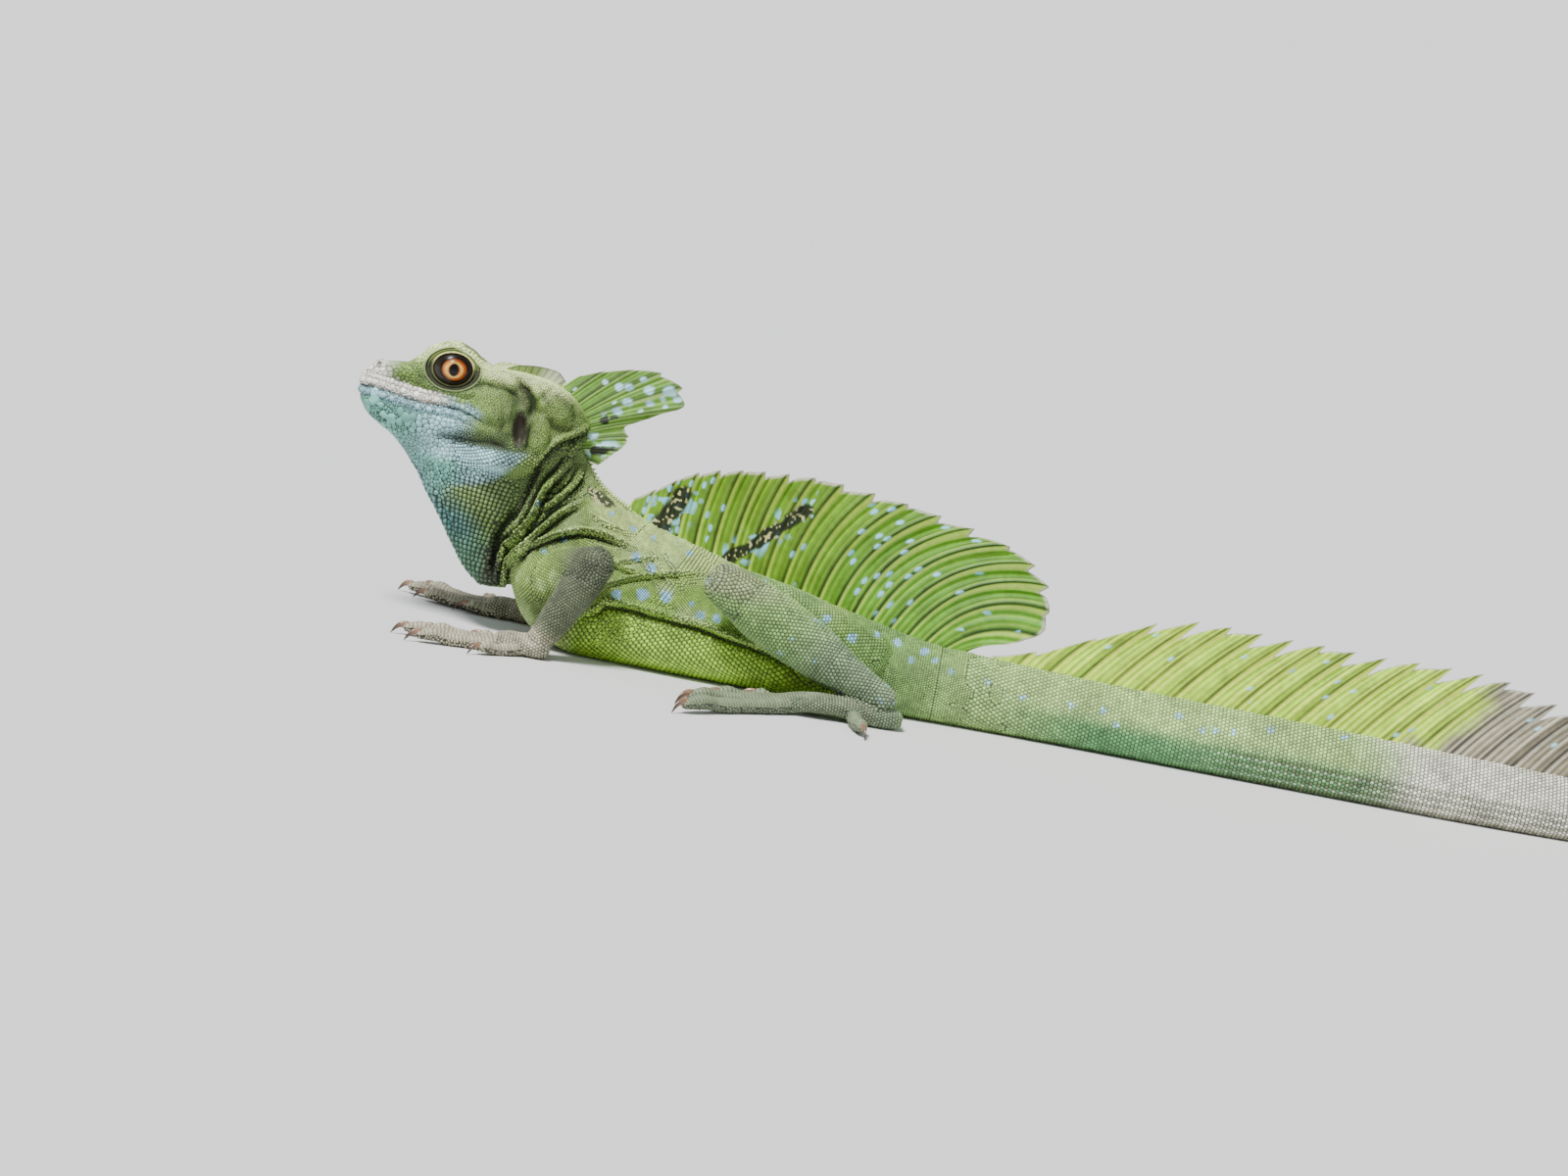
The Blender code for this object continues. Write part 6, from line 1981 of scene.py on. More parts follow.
@dataclass(frozen=True)
class FinPaint:
    """Colours of one crest: ridges of its pleats, skin painted lit on one side of each pleat and shaded on
    the other, dark lines between them that are partly painted shade in the pleats' valleys, edge, spots and
    patches.

    Front and rear colours are (ridge, skin, line); spots gives their share, width and length.
    """

    front: tuple[Array, Array, Array]
    rear: tuple[Array, Array, Array]
    turn: tuple[float, float]
    edge: Array
    edge_width: float
    spot: Array
    spots: tuple[float, float, float]
    strands: int = 4
    fine: float = 0.5
    dark: tuple[tuple[float, float, float, float, float], ...] = ()
    gold: Array | None = None
    dots: Knots = ()

    def __call__(self, share: Array, up: Array, height: Array, ray: Array, place: Array) -> Array:
        """Colours of points on the crest.

        Args:
            share: Share of the way along it.
            up: Share of the way up.
            height: The crest's height there.
            ray: Count of rays passed.
            place: Place in side view.

        Returns:
            One colour for each point.
        """
        spread = np.column_stack([place[:, 0], np.zeros(len(place)), place[:, 1]])
        lane = ray * self.strands
        cell = np.column_stack([np.floor(lane), np.zeros(len(ray)), np.zeros(len(ray))])
        line_cell = np.column_stack([np.floor(lane + 0.5), np.ones(len(ray)), np.zeros(len(ray))])
        off = np.minimum(lane % 1.0, 1 - lane % 1.0)
        side = ray % 1.0
        ridge = np.exp(-(np.minimum(side, 1 - side) / 0.075) ** 2)
        ridge = np.maximum(ridge, self.fine * np.exp(-(off / 0.17) ** 2) * cell_value(line_cell, 5))
        line = self.fine * np.exp(-((off - 0.5) / 0.13) ** 2) * cell_value(cell, 6)
        # the dark valley before each ray is painted shade; the fine lines are streaks of the crest
        line = np.maximum(line, bump(side, 0.86, 0.07)) * (0.7 + 0.3 * value_noise(spread, 9.0, 23))
        turn = smooth(*self.turn, share + 0.04 * value_noise(spread, 7.0, 20))
        parts = [mix(a, b, turn) for a, b in zip(self.front, self.rear)]
        # painted light on the side of each pleat after its ray, and painted shade towards the next ray
        lit = 1.18 - 0.55 * smooth(0.08, 0.9, side)
        lit = lit + 0.28 * value_noise(spread, 5.0, 21) + 0.16 * value_noise(spread, 1.4, 24)
        colour = parts[1] * lit[:, None]
        colour = mix(colour, parts[0], np.clip(0.9 * ridge, 0, 0.95))
        colour = mix(colour, parts[2], np.clip(line, 0, 0.9))
        chance, wide, long = self.spots
        step = up * height / (1.6 * long) + cell_value(cell, 7)
        cell = np.column_stack([np.floor(lane), np.floor(step), np.zeros(len(ray))])
        dot = np.hypot((lane % 1.0 - 0.5) / wide, ((step % 1.0) - 0.5) / 0.32)
        pale = (cell_value(cell, 9) < chance) * smooth(1.15, 0.75, dot)
        pale = pale * (value_noise(spread, 14.0, 27) > -0.25)
        inside = smooth(0.04, 0.10, up) * smooth(0.8, 2.0, (1 - up) * height)
        colour = mix(colour, self.spot, 0.92 * pale * inside)
        for x, z, radius in self.dots:
            d = np.hypot((place[:, 0] - x) / 1.25, place[:, 1] - z) / radius
            d = d + 0.3 * value_noise(spread, 1.5, 28)
            colour = mix(colour, self.spot, 0.9 * smooth(1.1, 0.6, d))
        for x, z, run_x, run_z, half in self.dark:
            dx, dz = place[:, 0] - x, place[:, 1] - z
            t = np.clip((dx * run_x + dz * run_z) / (run_x ** 2 + run_z ** 2), 0, 1)
            d = np.hypot(dx - t * run_x, dz - t * run_z)
            blot = smooth(half, 0.6 * half, d + 0.9 * value_noise(spread, 2.2, 22))
            glow = smooth(2.4 * half, half, d) * (1 - blot) * (value_noise(spread, 1.9, 25) > 0.22)
            colour = mix(colour, self.spot, 0.8 * glow)
            colour = mix(colour, Paint.dark * 0.4, 0.95 * blot)
            if self.gold is not None:
                fleck = smooth(0.40, 0.52, value_noise(spread, 0.8, 26))
                colour = mix(colour, self.gold, 0.85 * blot * fleck)
        from_edge = (1 - up) * height
        rim = smooth(self.edge_width, 0.25 * self.edge_width, from_edge + 0.5 * self.edge_width * line)
        colour = mix(colour, self.edge, 0.8 * rim)
        return mix(colour, Paint.dark, 0.55 * smooth(0.22, 0.08, from_edge))


FIN_PAINTS = {
    "sail": FinPaint(
        front=(shade(206, 236, 70), shade(100, 146, 16), shade(14, 30, 4)),
        rear=(shade(206, 240, 96), shade(88, 148, 20), shade(10, 32, 4)),
        turn=(0.4, 0.8),
        edge=shade(206, 202, 178),
        edge_width=1.3,
        spot=shade(140, 214, 236),
        spots=(0.15, 0.36, 2.2),
        strands=3,
        fine=0.35,
        dark=((-82.0, 40.5, 4.3, 10.0, 3.4), (-61.0, 34.5, 20.0, 19.0, 2.2)),
        gold=shade(206, 204, 140),
    ),
    "tail_fin": FinPaint(
        front=(shade(240, 255, 96), shade(172, 216, 44), shade(34, 62, 10)),
        rear=(shade(214, 208, 188), shade(134, 126, 102), shade(34, 28, 22)),
        turn=(0.60, 0.66),
        edge=shade(220, 216, 198),
        edge_width=1.0,
        spot=shade(150, 216, 226),
        spots=(0.05, 0.34, 1.8),
        strands=4,
        fine=0.95,
    ),
    "crown_fin": FinPaint(
        front=(shade(188, 220, 124), shade(96, 142, 40), shade(34, 60, 14)),
        rear=(shade(196, 224, 136), shade(104, 150, 48), shade(34, 62, 16)),
        turn=(0.4, 0.8),
        edge=shade(196, 200, 160),
        edge_width=0.6,
        spot=shade(176, 224, 238),
        spots=(0.06, 0.36, 1.5),
        strands=3,
        fine=0.4,
        dark=((-105.0, 58.4, 5.0, 1.4, 1.3), (-104.5, 67.5, 1.0, 0.5, 1.1), (-101.5, 68.7, 1.0, 0.4, 0.9)),
        dots=((-105.3, 78.5, 0.9), (-101.2, 77.9, 1.2), (-98.4, 78.4, 1.2), (-92.5, 78.5, 1.5),
              (-86.6, 79.4, 1.7), (-83.8, 77.4, 1.1), (-97.8, 74.1, 1.3), (-100.5, 70.9, 1.3),
              (-91.5, 75.0, 1.2), (-94.5, 81.4, 0.9), (-106.0, 62.5, 1.4), (-102.0, 61.0, 1.0)),
    ),
    "front_fin": FinPaint(
        front=(shade(176, 194, 132), shade(112, 136, 66), shade(44, 56, 24)),
        rear=(shade(226, 228, 206), shade(196, 202, 170), shade(90, 100, 60)),
        turn=(0.5, 0.8),
        edge=shade(60, 72, 36),
        edge_width=0.5,
        spot=shade(176, 206, 206),
        spots=(0.0, 0.3, 1.0),
        strands=3,
        fine=0.4,
    ),
}


@dataclass(frozen=True)
class Eye:
    """One eyeball with its iris and pupil, and the two lids round it.

    Each lid form is a place from the margin (0) to the root (1), a width and a height. rings give the
    eyeball's rings in runs of a first radius, a last radius and a count.
    """

    side: Side
    iris: tuple[float, float] = (3.6, 3.2)
    pupil: tuple[float, float] = (1.46, 1.84)
    look: tuple[float, float] = (0.55, 0.3)
    rings: Knots = ((0.004, 0.30, 9), (0.315, 0.66, 34), (0.69, 1.0, 14))
    back_rings: tuple[float, float, int] = (0.94, 0.02, 9)
    around: int = 128
    forms: Knots = ((0.06, 0.10, 0.40), (0.34, 0.12, -0.22), (0.64, 0.08, -0.45), (0.86, 0.12, 0.50))

    def globe(self) -> Surface:
        """The eyeball, with its rings drawn in round the pupil for a crisp iris."""
        r = np.concatenate([np.linspace(*rings) for rings in self.rings])
        back = np.linspace(*self.back_rings)
        angle = np.linspace(0, math.tau, self.around, endpoint=False)
        a, e = np.meshgrid(angle, np.concatenate([r, back]))
        outer = np.concatenate([np.ones(len(r)), np.zeros(len(back))])
        front = np.repeat(outer, len(angle)).reshape(a.shape)
        ex, ey, ez = EYE_RADII
        pull = np.maximum(0.0, 1 - e ** 1.6) * front
        x = ex * e * np.cos(a) + self.look[0] * pull
        z = ez * e * np.sin(a) + self.look[1] * pull
        out = ey * np.sqrt(np.maximum(0.0, 1 - (x / ex) ** 2 - (z / ez) ** 2)) * (2 * front - 1)
        dx, dz = x - self.look[0], z - self.look[1]
        out = out + 0.35 * smooth(3.6, 2.2, np.hypot(dx, dz)) * front
        y = self.side.value * (EYE_CENTRE[1] + out)
        points = np.stack([EYE_CENTRE[0] + x, y, EYE_CENTRE[2] + z], axis=-1)
        faces = grid_faces(len(points), len(angle), True)
        if self.side is Side.RIGHT:
            faces = faces[:, ::-1]
        tint = self.iris_colour(dx.ravel(), dz.ravel(), front.ravel())
        return Surface(points.reshape(-1, 3), faces, tint)

    def iris_colour(self, dx: Array, dz: Array, front: Array) -> Array:
        """Colours of the iris, pupil and dark white of the eye, with painted shade of the upper lid over
        their top and the iris paler at its front, partly a painted highlight.

        Args:
            dx: Distance behind the pupil's middle.
            dz: Distance above it.
            front: Whether each point faces out.

        Returns:
            One colour for each point.
        """
        r = np.hypot(dx / self.iris[0], dz / self.iris[1])
        a = np.arctan2(dz, dx)
        streak = value_noise(np.column_stack([np.cos(a) * 5, np.sin(a) * 5, r * 2.8]), 0.5, 31)
        shadow = 1 - 0.45 * smooth(0.8, 3.0, dz)
        # the iris is paler at its front, partly its own colour and partly a painted highlight
        iris = mix(shade(198, 128, 62), shade(196, 92, 14), smooth(-1.5, 1.5, dx))
        iris = mix(iris, shade(112, 48, 10), smooth(0.80, 1.0, r + 0.08 * streak))
        ring = smooth(0.16, 0.04, np.abs(r - 0.63) + 0.05 * streak)
        iris = mix(iris, shade(238, 190, 90), 0.9 * ring)
        iris = iris * ((0.86 + 0.28 * streak) * shadow)[:, None]
        # the white of the eye darkens towards its top as painted shade of the upper lid
        above = smooth(-1.0, 3.0, dz)
        ball = mix(shade(44, 38, 26), shade(24, 17, 9), above)
        ball = mix(ball, shade(14, 9, 5), smooth(1.28, 1.06, r))
        colour = mix(ball, iris, smooth(1.03, 0.97, r) * front)
        slit = np.hypot(dx / self.pupil[0], dz / self.pupil[1])
        return mix(colour, shade(6, 5, 5), smooth(1.05, 0.97, slit) * front)

    def lids(self, hide: Hide, around: int = 200, rows: int = 34) -> tuple[Surface, Array]:
        """The lids as one ring of skin, from inside the margin to their root in the head.

        Args:
            hide: The skin that they grow from.
            around: Points round the opening.
            rows: Rings from the margin outwards.

        Returns:
            The ring's surface, and its places ring by ring.
        """
        a = np.linspace(0.0, math.tau, around, endpoint=False)
        t = np.concatenate([[-0.14, -0.07], np.linspace(0.0, 1.0, rows - 3), [1.07]])
        rim_x, rim_z = self.oval(1.03, a)
        root = np.array([self.skin_place(hide, px, pz) for px, pz in zip(rim_x, rim_z)])
        rings = []
        for share in t:
            x, z = self.oval(share, a)
            pull = float(smooth(0.2, 1.0, share))
            x, z = x + pull * (root[:, 0] - rim_x), z + pull * (root[:, 2] - rim_z)
            y = self.side.value * self.lid_depth(root[:, 1], x, z, share, a)
            rings.append(np.column_stack([x, y, z]))
        rings = np.array(rings)
        tint = self.lid_colour(np.repeat(t, around), rings.reshape(-1, 3))
        faces = grid_faces(len(t), around, True)
        if self.side is Side.LEFT:
            faces = faces[:, ::-1]
        return Surface(rings.reshape(-1, 3), faces, tint), rings

    @staticmethod
    def oval(share: float, a: Array) -> tuple[Array, Array]:
        """Places in side view on the oval at a share of the way from margin to root."""
        u = (LID_OPENING[0] * (1 - share) + LID_ROOT[0] * share) * np.cos(a)
        v = (LID_OPENING[1] * (1 - share) + LID_ROOT[1] * share) * np.sin(a)
        c, s = math.cos(LID_TILT), math.sin(LID_TILT)
        return LID_CENTRE[0] + u * c + v * s, LID_CENTRE[1] + v * c - u * s

    def lid_colour(self, t: Array, p: Array) -> Array:
        """Colours of the lids at shares from margin to root, with painted shade in their groove, creases and
        under the margin, and painted light on the upper lid.
        """
        # upper lightens the upper lid, painted light from above
        upper = smooth(0.0, 2.4, p[:, 2] - LID_CENTRE[1])
        # the dark olive between margin and outer ring is painted shade in the lid's groove, darkest on the
        # lower lid
        fold = mix(shade(64, 70, 40), shade(128, 146, 74), upper)
        colour = mix(fold, shade(168, 186, 126), smooth(0.70, 0.82, t) * (0.55 + 0.45 * upper))
        colour = mix(colour, shade(226, 222, 144), smooth(0.17, 0.10, t) * (0.10 + 0.90 * upper))
        # sunk creases are painted as shade
        for place, width, height in self.forms:
            if height < 0:
                crease = min(1.0, -2.0 * height) * bump(t, place, width)
                colour = mix(colour, Paint.dark * 0.8, crease)
        # painted shade under the margin, where the lid tucks against the eyeball
        colour = mix(colour, Paint.dark * 0.5, smooth(-0.01, -0.05, t))
        return mix(colour, Paint.hide(p), smooth(0.9, 1.02, t))

    def lid_depth(self, edge: Array, x: Array, z: Array, t: float, a: Array) -> Array:
        """How far out the lids lie: on the eyeball at the margin, sunk in the skin at their root."""
        ex, ey, ez = EYE_RADII
        inside = 1 - ((x - EYE_CENTRE[0]) / ex) ** 2 - ((z - EYE_CENTRE[2]) / ez) ** 2
        ball = EYE_CENTRE[1] + ey * np.sqrt(np.maximum(inside, 0.02))
        share = float(smooth(0.0, 1.0, t))
        relief = 0.9 * math.sin(math.pi * min(max(t, 0.0), 1.0)) ** 0.8
        relief += sum(h * math.exp(-((t - place) / width) ** 2) for place, width, h in self.forms)
        lip = 0.30 - 30.0 * min(t, 0.0) ** 2
        root = edge - 0.15 - 6.0 * max(t - 0.97, 0.0)
        return (ball + lip) * (1 - share) + root * share + relief * np.where(np.sin(a) > 0, 1.0, 0.8)

    def skin_place(self, hide: Hide, x: float, z: float) -> tuple[float, float, float]:
        """Where the skin lies behind one point of the side view, or nearest to it past the outline."""
        depth = abs_depth(hide, x, z, self.side)
        if depth is not None and depth > 0.8 * EYE_CENTRE[1]:
            return x, depth, z
        hit, *_ = hide.tree.find_nearest(Vector((x, self.side.value * (EYE_CENTRE[1] + 1.5), z)))
        return hit.x, abs(hit.y), hit.z

    def lid_scales(self, rings: Array) -> Surface:
        """Fine granules in rings over the lids.

        Args:
            rings: The lids' places ring by ring.

        Returns:
            Their surface.
        """
        normal = unit(np.cross(np.gradient(rings, axis=1), np.gradient(rings, axis=0)))
        normal *= np.sign((normal[..., 1] * self.side.value).sum()) or 1.0
        run = np.concatenate([[0], np.cumsum(np.linalg.norm(np.diff(rings, axis=0), axis=2).mean(1))])
        places, normals, shares = [], [], []
        for k, at in enumerate(np.arange(run[5], run[-2], 0.44)):
            i = int(np.clip(np.searchsorted(run, at), 1, len(run) - 1))
            length = np.linalg.norm(rings[i] - np.roll(rings[i], 1, axis=0), axis=1).sum()
            count = int(length / 0.52)
            pick = ((np.arange(count) + 0.5 * (k % 2)) / count * rings.shape[1]).astype(int) % rings.shape[1]
            places.append(rings[i][pick])
            normals.append(normal[i][pick])
            shares.append(np.full(count, (i - 2) / (len(rings) - 4)))
        spot = np.vstack(places)
        tint = self.lid_colour(np.concatenate(shares), spot)
        size = np.tile([0.56, 0.56, 0.13], (len(spot), 1))
        along = np.tile([1.0, 0.0, -0.1], (len(spot), 1))
        # the granules take the lids' colours; the colour between them is darker, partly painted shade in the
        # gaps
        scales = Scales(Shape.GRANULE, spot, np.vstack(normals), along, size, tint,
                        mix(tint, Paint.dark, np.full(len(spot), 0.6)), np.full(len(spot), 0.03),
                        np.column_stack([spot[:, 0], spot[:, 2]]))
        return scales.surface(*nearest(spot, size), SEED + self.side.value)


@dataclass(frozen=True)
class PlateRow:
    """A row of head plates along a line of the side view, the same on both sides."""

    line: Knots
    count: int
    wide: float
    tall: float
    shape: Shape
    overlap: float = 1.02

    def places(self, hide: Hide, side: Side) -> tuple[Array, Array, Array]:
        """Seats the row on the skin.

        Args:
            hide: The skin.
            side: The side of the head.

        Returns:
            Places, directions along, and sizes.
        """
        knots = [(i, *p) for i, p in enumerate(self.line)]
        at = (np.arange(self.count) + 0.5) / self.count * (len(knots) - 1)
        ahead = unit(curve_through(knots, at + 0.02) - curve_through(knots, at - 0.02))
        steps = np.diff(curve_through(knots, np.linspace(0, len(knots) - 1, 60)), axis=0)
        long = np.linalg.norm(steps, axis=1).sum() / self.count * self.overlap
        places, ways = [], []
        for (u, w), (du, dw) in zip(curve_through(knots, at), ahead):
            hit = seen_place(hide, u, w, side)
            if hit is not None:
                places.append(hit)
                ways.append((du, 0.0, dw))
        return np.array(places), np.array(ways), np.tile([self.wide, long, self.tall], (len(places), 1))


def seen_place(hide: Hide, u: float, w: float, side: Side) -> Array | None:
    """The place on one side's skin that shows at a point of the side view, or none past its outline."""
    rise = math.atan(SIGHT_SLOPE)
    eye = Vector((SIGHT_AIM[0], side.value * SIGHT_RANGE * math.cos(rise),
                  SIGHT_AIM[1] + SIGHT_RANGE * math.sin(rise)))
    hit, *_ = hide.tree.ray_cast(eye, (Vector((u, 0.0, w)) - eye).normalized())
    return None if hit is None else np.array(hit)


def abs_depth(hide: Hide, x: float, z: float, side: Side) -> float | None:
    """How far from the middle the skin lies in side view, or none past its outline."""
    start = Vector((x, side.value * 40.0, z))
    hit, *_ = hide.tree.ray_cast(start, Vector((0.0, -float(side.value), 0.0)), 39.0)
    return None if hit is None else abs(hit.y)


HEAD_PLATES = (
    PlateRow(((-175.6, 65.8), (-171.0, 65.9), (-164.3, 65.0), (-155.2, 64.1), (-149.0, 64.2)), 10, 2.9, 0.16,
             Shape.PLATE),
    PlateRow(((-148.6, 63.8), (-144.0, 63.0), (-139.0, 61.2)), 6, 1.7, 0.16, Shape.PLATE),
    PlateRow(((-175.2, 62.8), (-171.1, 62.8), (-164.3, 61.8), (-155.2, 60.9), (-148.5, 61.1),
              (-142.5, 60.0)), 12, 2.7, 0.16, Shape.PLATE),
    PlateRow(((-173.6, 67.6), (-168.0, 67.0), (-160.0, 66.0), (-151.0, 65.7), (-143.0, 65.0)), 24, 1.3, 0.16,
             Shape.PLATE),
    PlateRow(((-159.4, 75.9), (-156.6, 78.6), (-150.6, 80.6), (-145.0, 79.6), (-141.8, 76.8)), 15, 1.3, 0.30,
             Shape.KEELED),
)


@dataclass(frozen=True)
class ScuteRun:
    """The cross plates over a finger or toe.

    rows give, from a plate's front to its rear, a share of its length, its lift and its lightness, which
    paints shade where the plates sink at their joins and a highlight on their raised rear edges.
    """

    digit: Digit
    step: float = 1.15
    around: tuple[float, float, int] = (8.0, 172.0, 8)
    rows: Knots = ((0.0, -0.10, 0.35), (0.14, 0.10, 0.8), (0.85, 0.20, 1.1), (1.02, -0.06, 0.3))
    texel: float = 0.0004

    def surface(self, tint: Array) -> Surface:
        """Builds the plates.

        Args:
            tint: The digit's colour.

        Returns:
            Curved plates with raised rear edges.
        """
        loft = self.digit.flesh()
        run = loft.run()
        middle = loft.rings.mean(1)
        draw = np.random.default_rng(int(abs(middle[0, 0] * 97)) % 9973)
        angles = np.radians(np.linspace(*self.around))
        columns = len(angles)
        ahead = unit(np.gradient(middle, axis=0))
        thick = np.linalg.norm(loft.rings - middle[:, None], axis=2).mean(1)
        points, faces, tints, uvs = [], [], [], []
        grid = grid_faces(len(self.rows), columns, False)
        tris = np.vstack([grid[:, [0, 1, 2]], grid[:, [0, 2, 3]]])
        places = np.arange(run[-1] * 0.16, run[-1] - 0.5, self.step)
        for k, at in enumerate(places):
            light = draw.uniform(0.88, 1.12)
            for row, (f, lift, tone) in enumerate(self.rows):
                s = min(at + f * self.step, run[-1] - 0.02)
                centre = np.array([np.interp(s, run, middle[:, j]) for j in range(3)])
                way = unit(np.array([np.interp(s, run, ahead[:, j]) for j in range(3)]))
                flat = unit(np.cross(way, [0.0, 0.0, 1.0]))
                up = np.cross(flat, way)
                radius = np.interp(s, run, thick) + lift * np.clip(np.sin(angles) * 1.8, 0.35, 1.0)
                out = flat * (np.cos(angles) * radius)[:, None] + up * (np.sin(angles) * radius)[:, None]
                points.append(centre + out)
                # painted shade at the joins and a painted highlight on the raised rear edges, times a random
                # lightness for each plate
                tints.append(np.tile(tint * tone * light, (columns, 1)))
                u = np.full(columns, 0.02 + 0.96 * at / run[-1] + self.texel * row)
                uvs.append(np.column_stack([u, 0.52 + self.texel * np.arange(columns)]))
            faces.append(tris + k * len(self.rows) * columns)
        return Surface(np.vstack(points), np.vstack(faces), np.vstack(tints), np.vstack(uvs))


def add_node(tree: bpy.types.NodeTree, kind: str, values: dict[str | int, float] | None = None,
             **settings: str) -> bpy.types.Node:
    """Adds a shader node.

    Args:
        tree: The tree or group that it goes into.
        kind: Its type, without the leading ShaderNode.
        values: Values of its inputs, by name or number.
        settings: Its own settings, such as an operation.

    Returns:
        The new node.
    """
    node = tree.nodes.new(f"ShaderNode{kind}")
    for name, value in settings.items():
        setattr(node, name, value)
    for name, value in (values or {}).items():
        node.inputs[name].default_value = value
    return node


Run = tuple[bpy.types.Node, str | int, bpy.types.Node, str | int]


def wire(tree: bpy.types.NodeTree, *runs: Run) -> None:
    """Links sockets, each given as a node and its output, then a node and its input."""
    for source, out, sink, into in runs:
        tree.links.new(source.outputs[out], sink.inputs[into])


def start_group(
    name: str, inputs: dict[str, str], outputs: dict[str, str]
) -> tuple[bpy.types.NodeTree, bpy.types.Node, bpy.types.Node]:
    """Starts a shader group.

    Args:
        name: Its name.
        inputs: Kinds of its inputs by name.
        outputs: Kinds of its outputs by name.

    Returns:
        The group, its input node and its output node.
    """
    group = bpy.data.node_groups.new(name, "ShaderNodeTree")
    for side, sockets in (("INPUT", inputs), ("OUTPUT", outputs)):
        for label, kind in sockets.items():
            group.interface.new_socket(label, in_out=side, socket_type=f"NodeSocket{kind}")
    return group, group.nodes.new("NodeGroupInput"), group.nodes.new("NodeGroupOutput")


class Effects:
    """Shader groups that more than one finish uses."""

    def __init__(self) -> None:
        """Builds the groups once."""
        self.mottle = self.make_mottle()
        self.grain = self.make_grain()

    @staticmethod
    def make_mottle() -> bpy.types.NodeTree:
        """Soft light and dark patches in a colour.

        Returns:
            A group from Color, Size and Amount to Color and Mask.
        """
        inputs = {"Color": "Color", "Size": "Float", "Amount": "Float"}
        group, source, sink = start_group("skin_mottle", inputs, {"Color": "Color", "Mask": "Float"})
        coordinates = add_node(group, "TexCoord")
        noise = add_node(group, "TexNoise", {"Detail": 5.0})
        spread = add_node(group, "MapRange", {"From Min": 0.3, "From Max": 0.7, "To Min": -1.0})
        amount = add_node(group, "Math", operation="MULTIPLY")
        gain = add_node(group, "Math", {1: 1.0}, operation="ADD")
        tone = add_node(group, "VectorMath", operation="SCALE")
        wire(group, (coordinates, "Object", noise, "Vector"), (source, "Size", noise, "Scale"),
             (noise, "Fac", spread, "Value"), (spread, "Result", amount, 0), (source, "Amount", amount, 1),
             (amount, 0, gain, 0), (source, "Color", tone, 0), (gain, 0, tone, "Scale"),
             (tone, "Vector", sink, "Color"), (noise, "Fac", sink, "Mask"))
        return group

    @staticmethod
    def make_grain() -> bpy.types.NodeTree:
        """Fine creases and pores as a height.

        Returns:
            A group from Size to Height.
        """
        group, source, sink = start_group("skin_grain", {"Size": "Float"}, {"Height": "Float"})
        coordinates = add_node(group, "TexCoord")
        noise = add_node(group, "TexNoise", {"Detail": 6.0})
        cells = add_node(group, "TexVoronoi", feature="DISTANCE_TO_EDGE")
        blend = add_node(group, "Math", {1: 0.7}, operation="MULTIPLY_ADD")
        wire(group, (coordinates, "Object", noise, "Vector"), (coordinates, "Object", cells, "Vector"),
             (source, "Size", noise, "Scale"), (source, "Size", cells, "Scale"),
             (cells, "Distance", blend, 0), (noise, "Fac", blend, 2), (blend, 0, sink, "Height"))
        return group


@dataclass(frozen=True)
class Finish:
    """One finish, which takes its colours from the mesh's own tint."""

    name: str
    roughness: tuple[float, float]
    mottle: float
    mottle_size: float
    grain_size: float
    bump: float
    specular: float = 0.45
    coat: float = 0.0
    coat_roughness: float = 0.1

    def material(self, effects: Effects) -> bpy.types.Material:
        """Makes the material.

        Args:
            effects: The shared shader groups.

        Returns:
            The new material.
        """
        made = bpy.data.materials.new(self.name)
        made.use_nodes = True
        tree = made.node_tree
        skin = tree.nodes["Principled BSDF"]
        tint = add_node(tree, "Attribute", attribute_type="GEOMETRY", attribute_name="tint")
        mottle = add_node(tree, "Group")
        mottle.node_tree = effects.mottle
        mottle.inputs["Size"].default_value = self.mottle_size
        mottle.inputs["Amount"].default_value = self.mottle
        gloss = add_node(tree, "MapRange", {"To Min": self.roughness[0], "To Max": self.roughness[1]})
        wire(tree, (tint, "Color", mottle, "Color"), (mottle, "Color", skin, "Base Color"),
             (mottle, "Mask", gloss, "Value"), (gloss, "Result", skin, "Roughness"))
        if self.bump > 0.0:
            grain = add_node(tree, "Group")
            grain.node_tree = effects.grain
            grain.inputs["Size"].default_value = self.grain_size
            relief = add_node(tree, "Bump", {"Strength": self.bump, "Distance": BUMP_DISTANCE})
            wire(tree, (grain, "Height", relief, "Height"), (relief, "Normal", skin, "Normal"))
        skin.inputs["Specular IOR Level"].default_value = self.specular
        skin.inputs["Coat Weight"].default_value = self.coat
        skin.inputs["Coat Roughness"].default_value = self.coat_roughness
        return made


SCALED_SKIN = Finish("scaled_skin", roughness=(0.34, 0.62), mottle=0.10, mottle_size=420.0,
                     grain_size=2600.0, bump=0.35)
SMOOTH_SKIN = Finish("skin_between", roughness=(0.45, 0.75), mottle=0.12, mottle_size=420.0,
                     grain_size=2600.0, bump=0.5)
CREST_SKIN = Finish("rayed_crest", roughness=(0.40, 0.68), mottle=0.12, mottle_size=600.0, grain_size=2200.0,
                    bump=0.55)
EYE_GLASS = Finish("wet_eye", roughness=(0.22, 0.32), mottle=0.06, mottle_size=900.0, grain_size=2000.0,
                   bump=0.0, specular=0.22, coat=0.14, coat_roughness=0.05)
CLAW_HORN = Finish("claw_horn", roughness=(0.22, 0.40), mottle=0.20, mottle_size=900.0, grain_size=1800.0,
                   bump=0.3, specular=0.5, coat=0.35, coat_roughness=0.15)


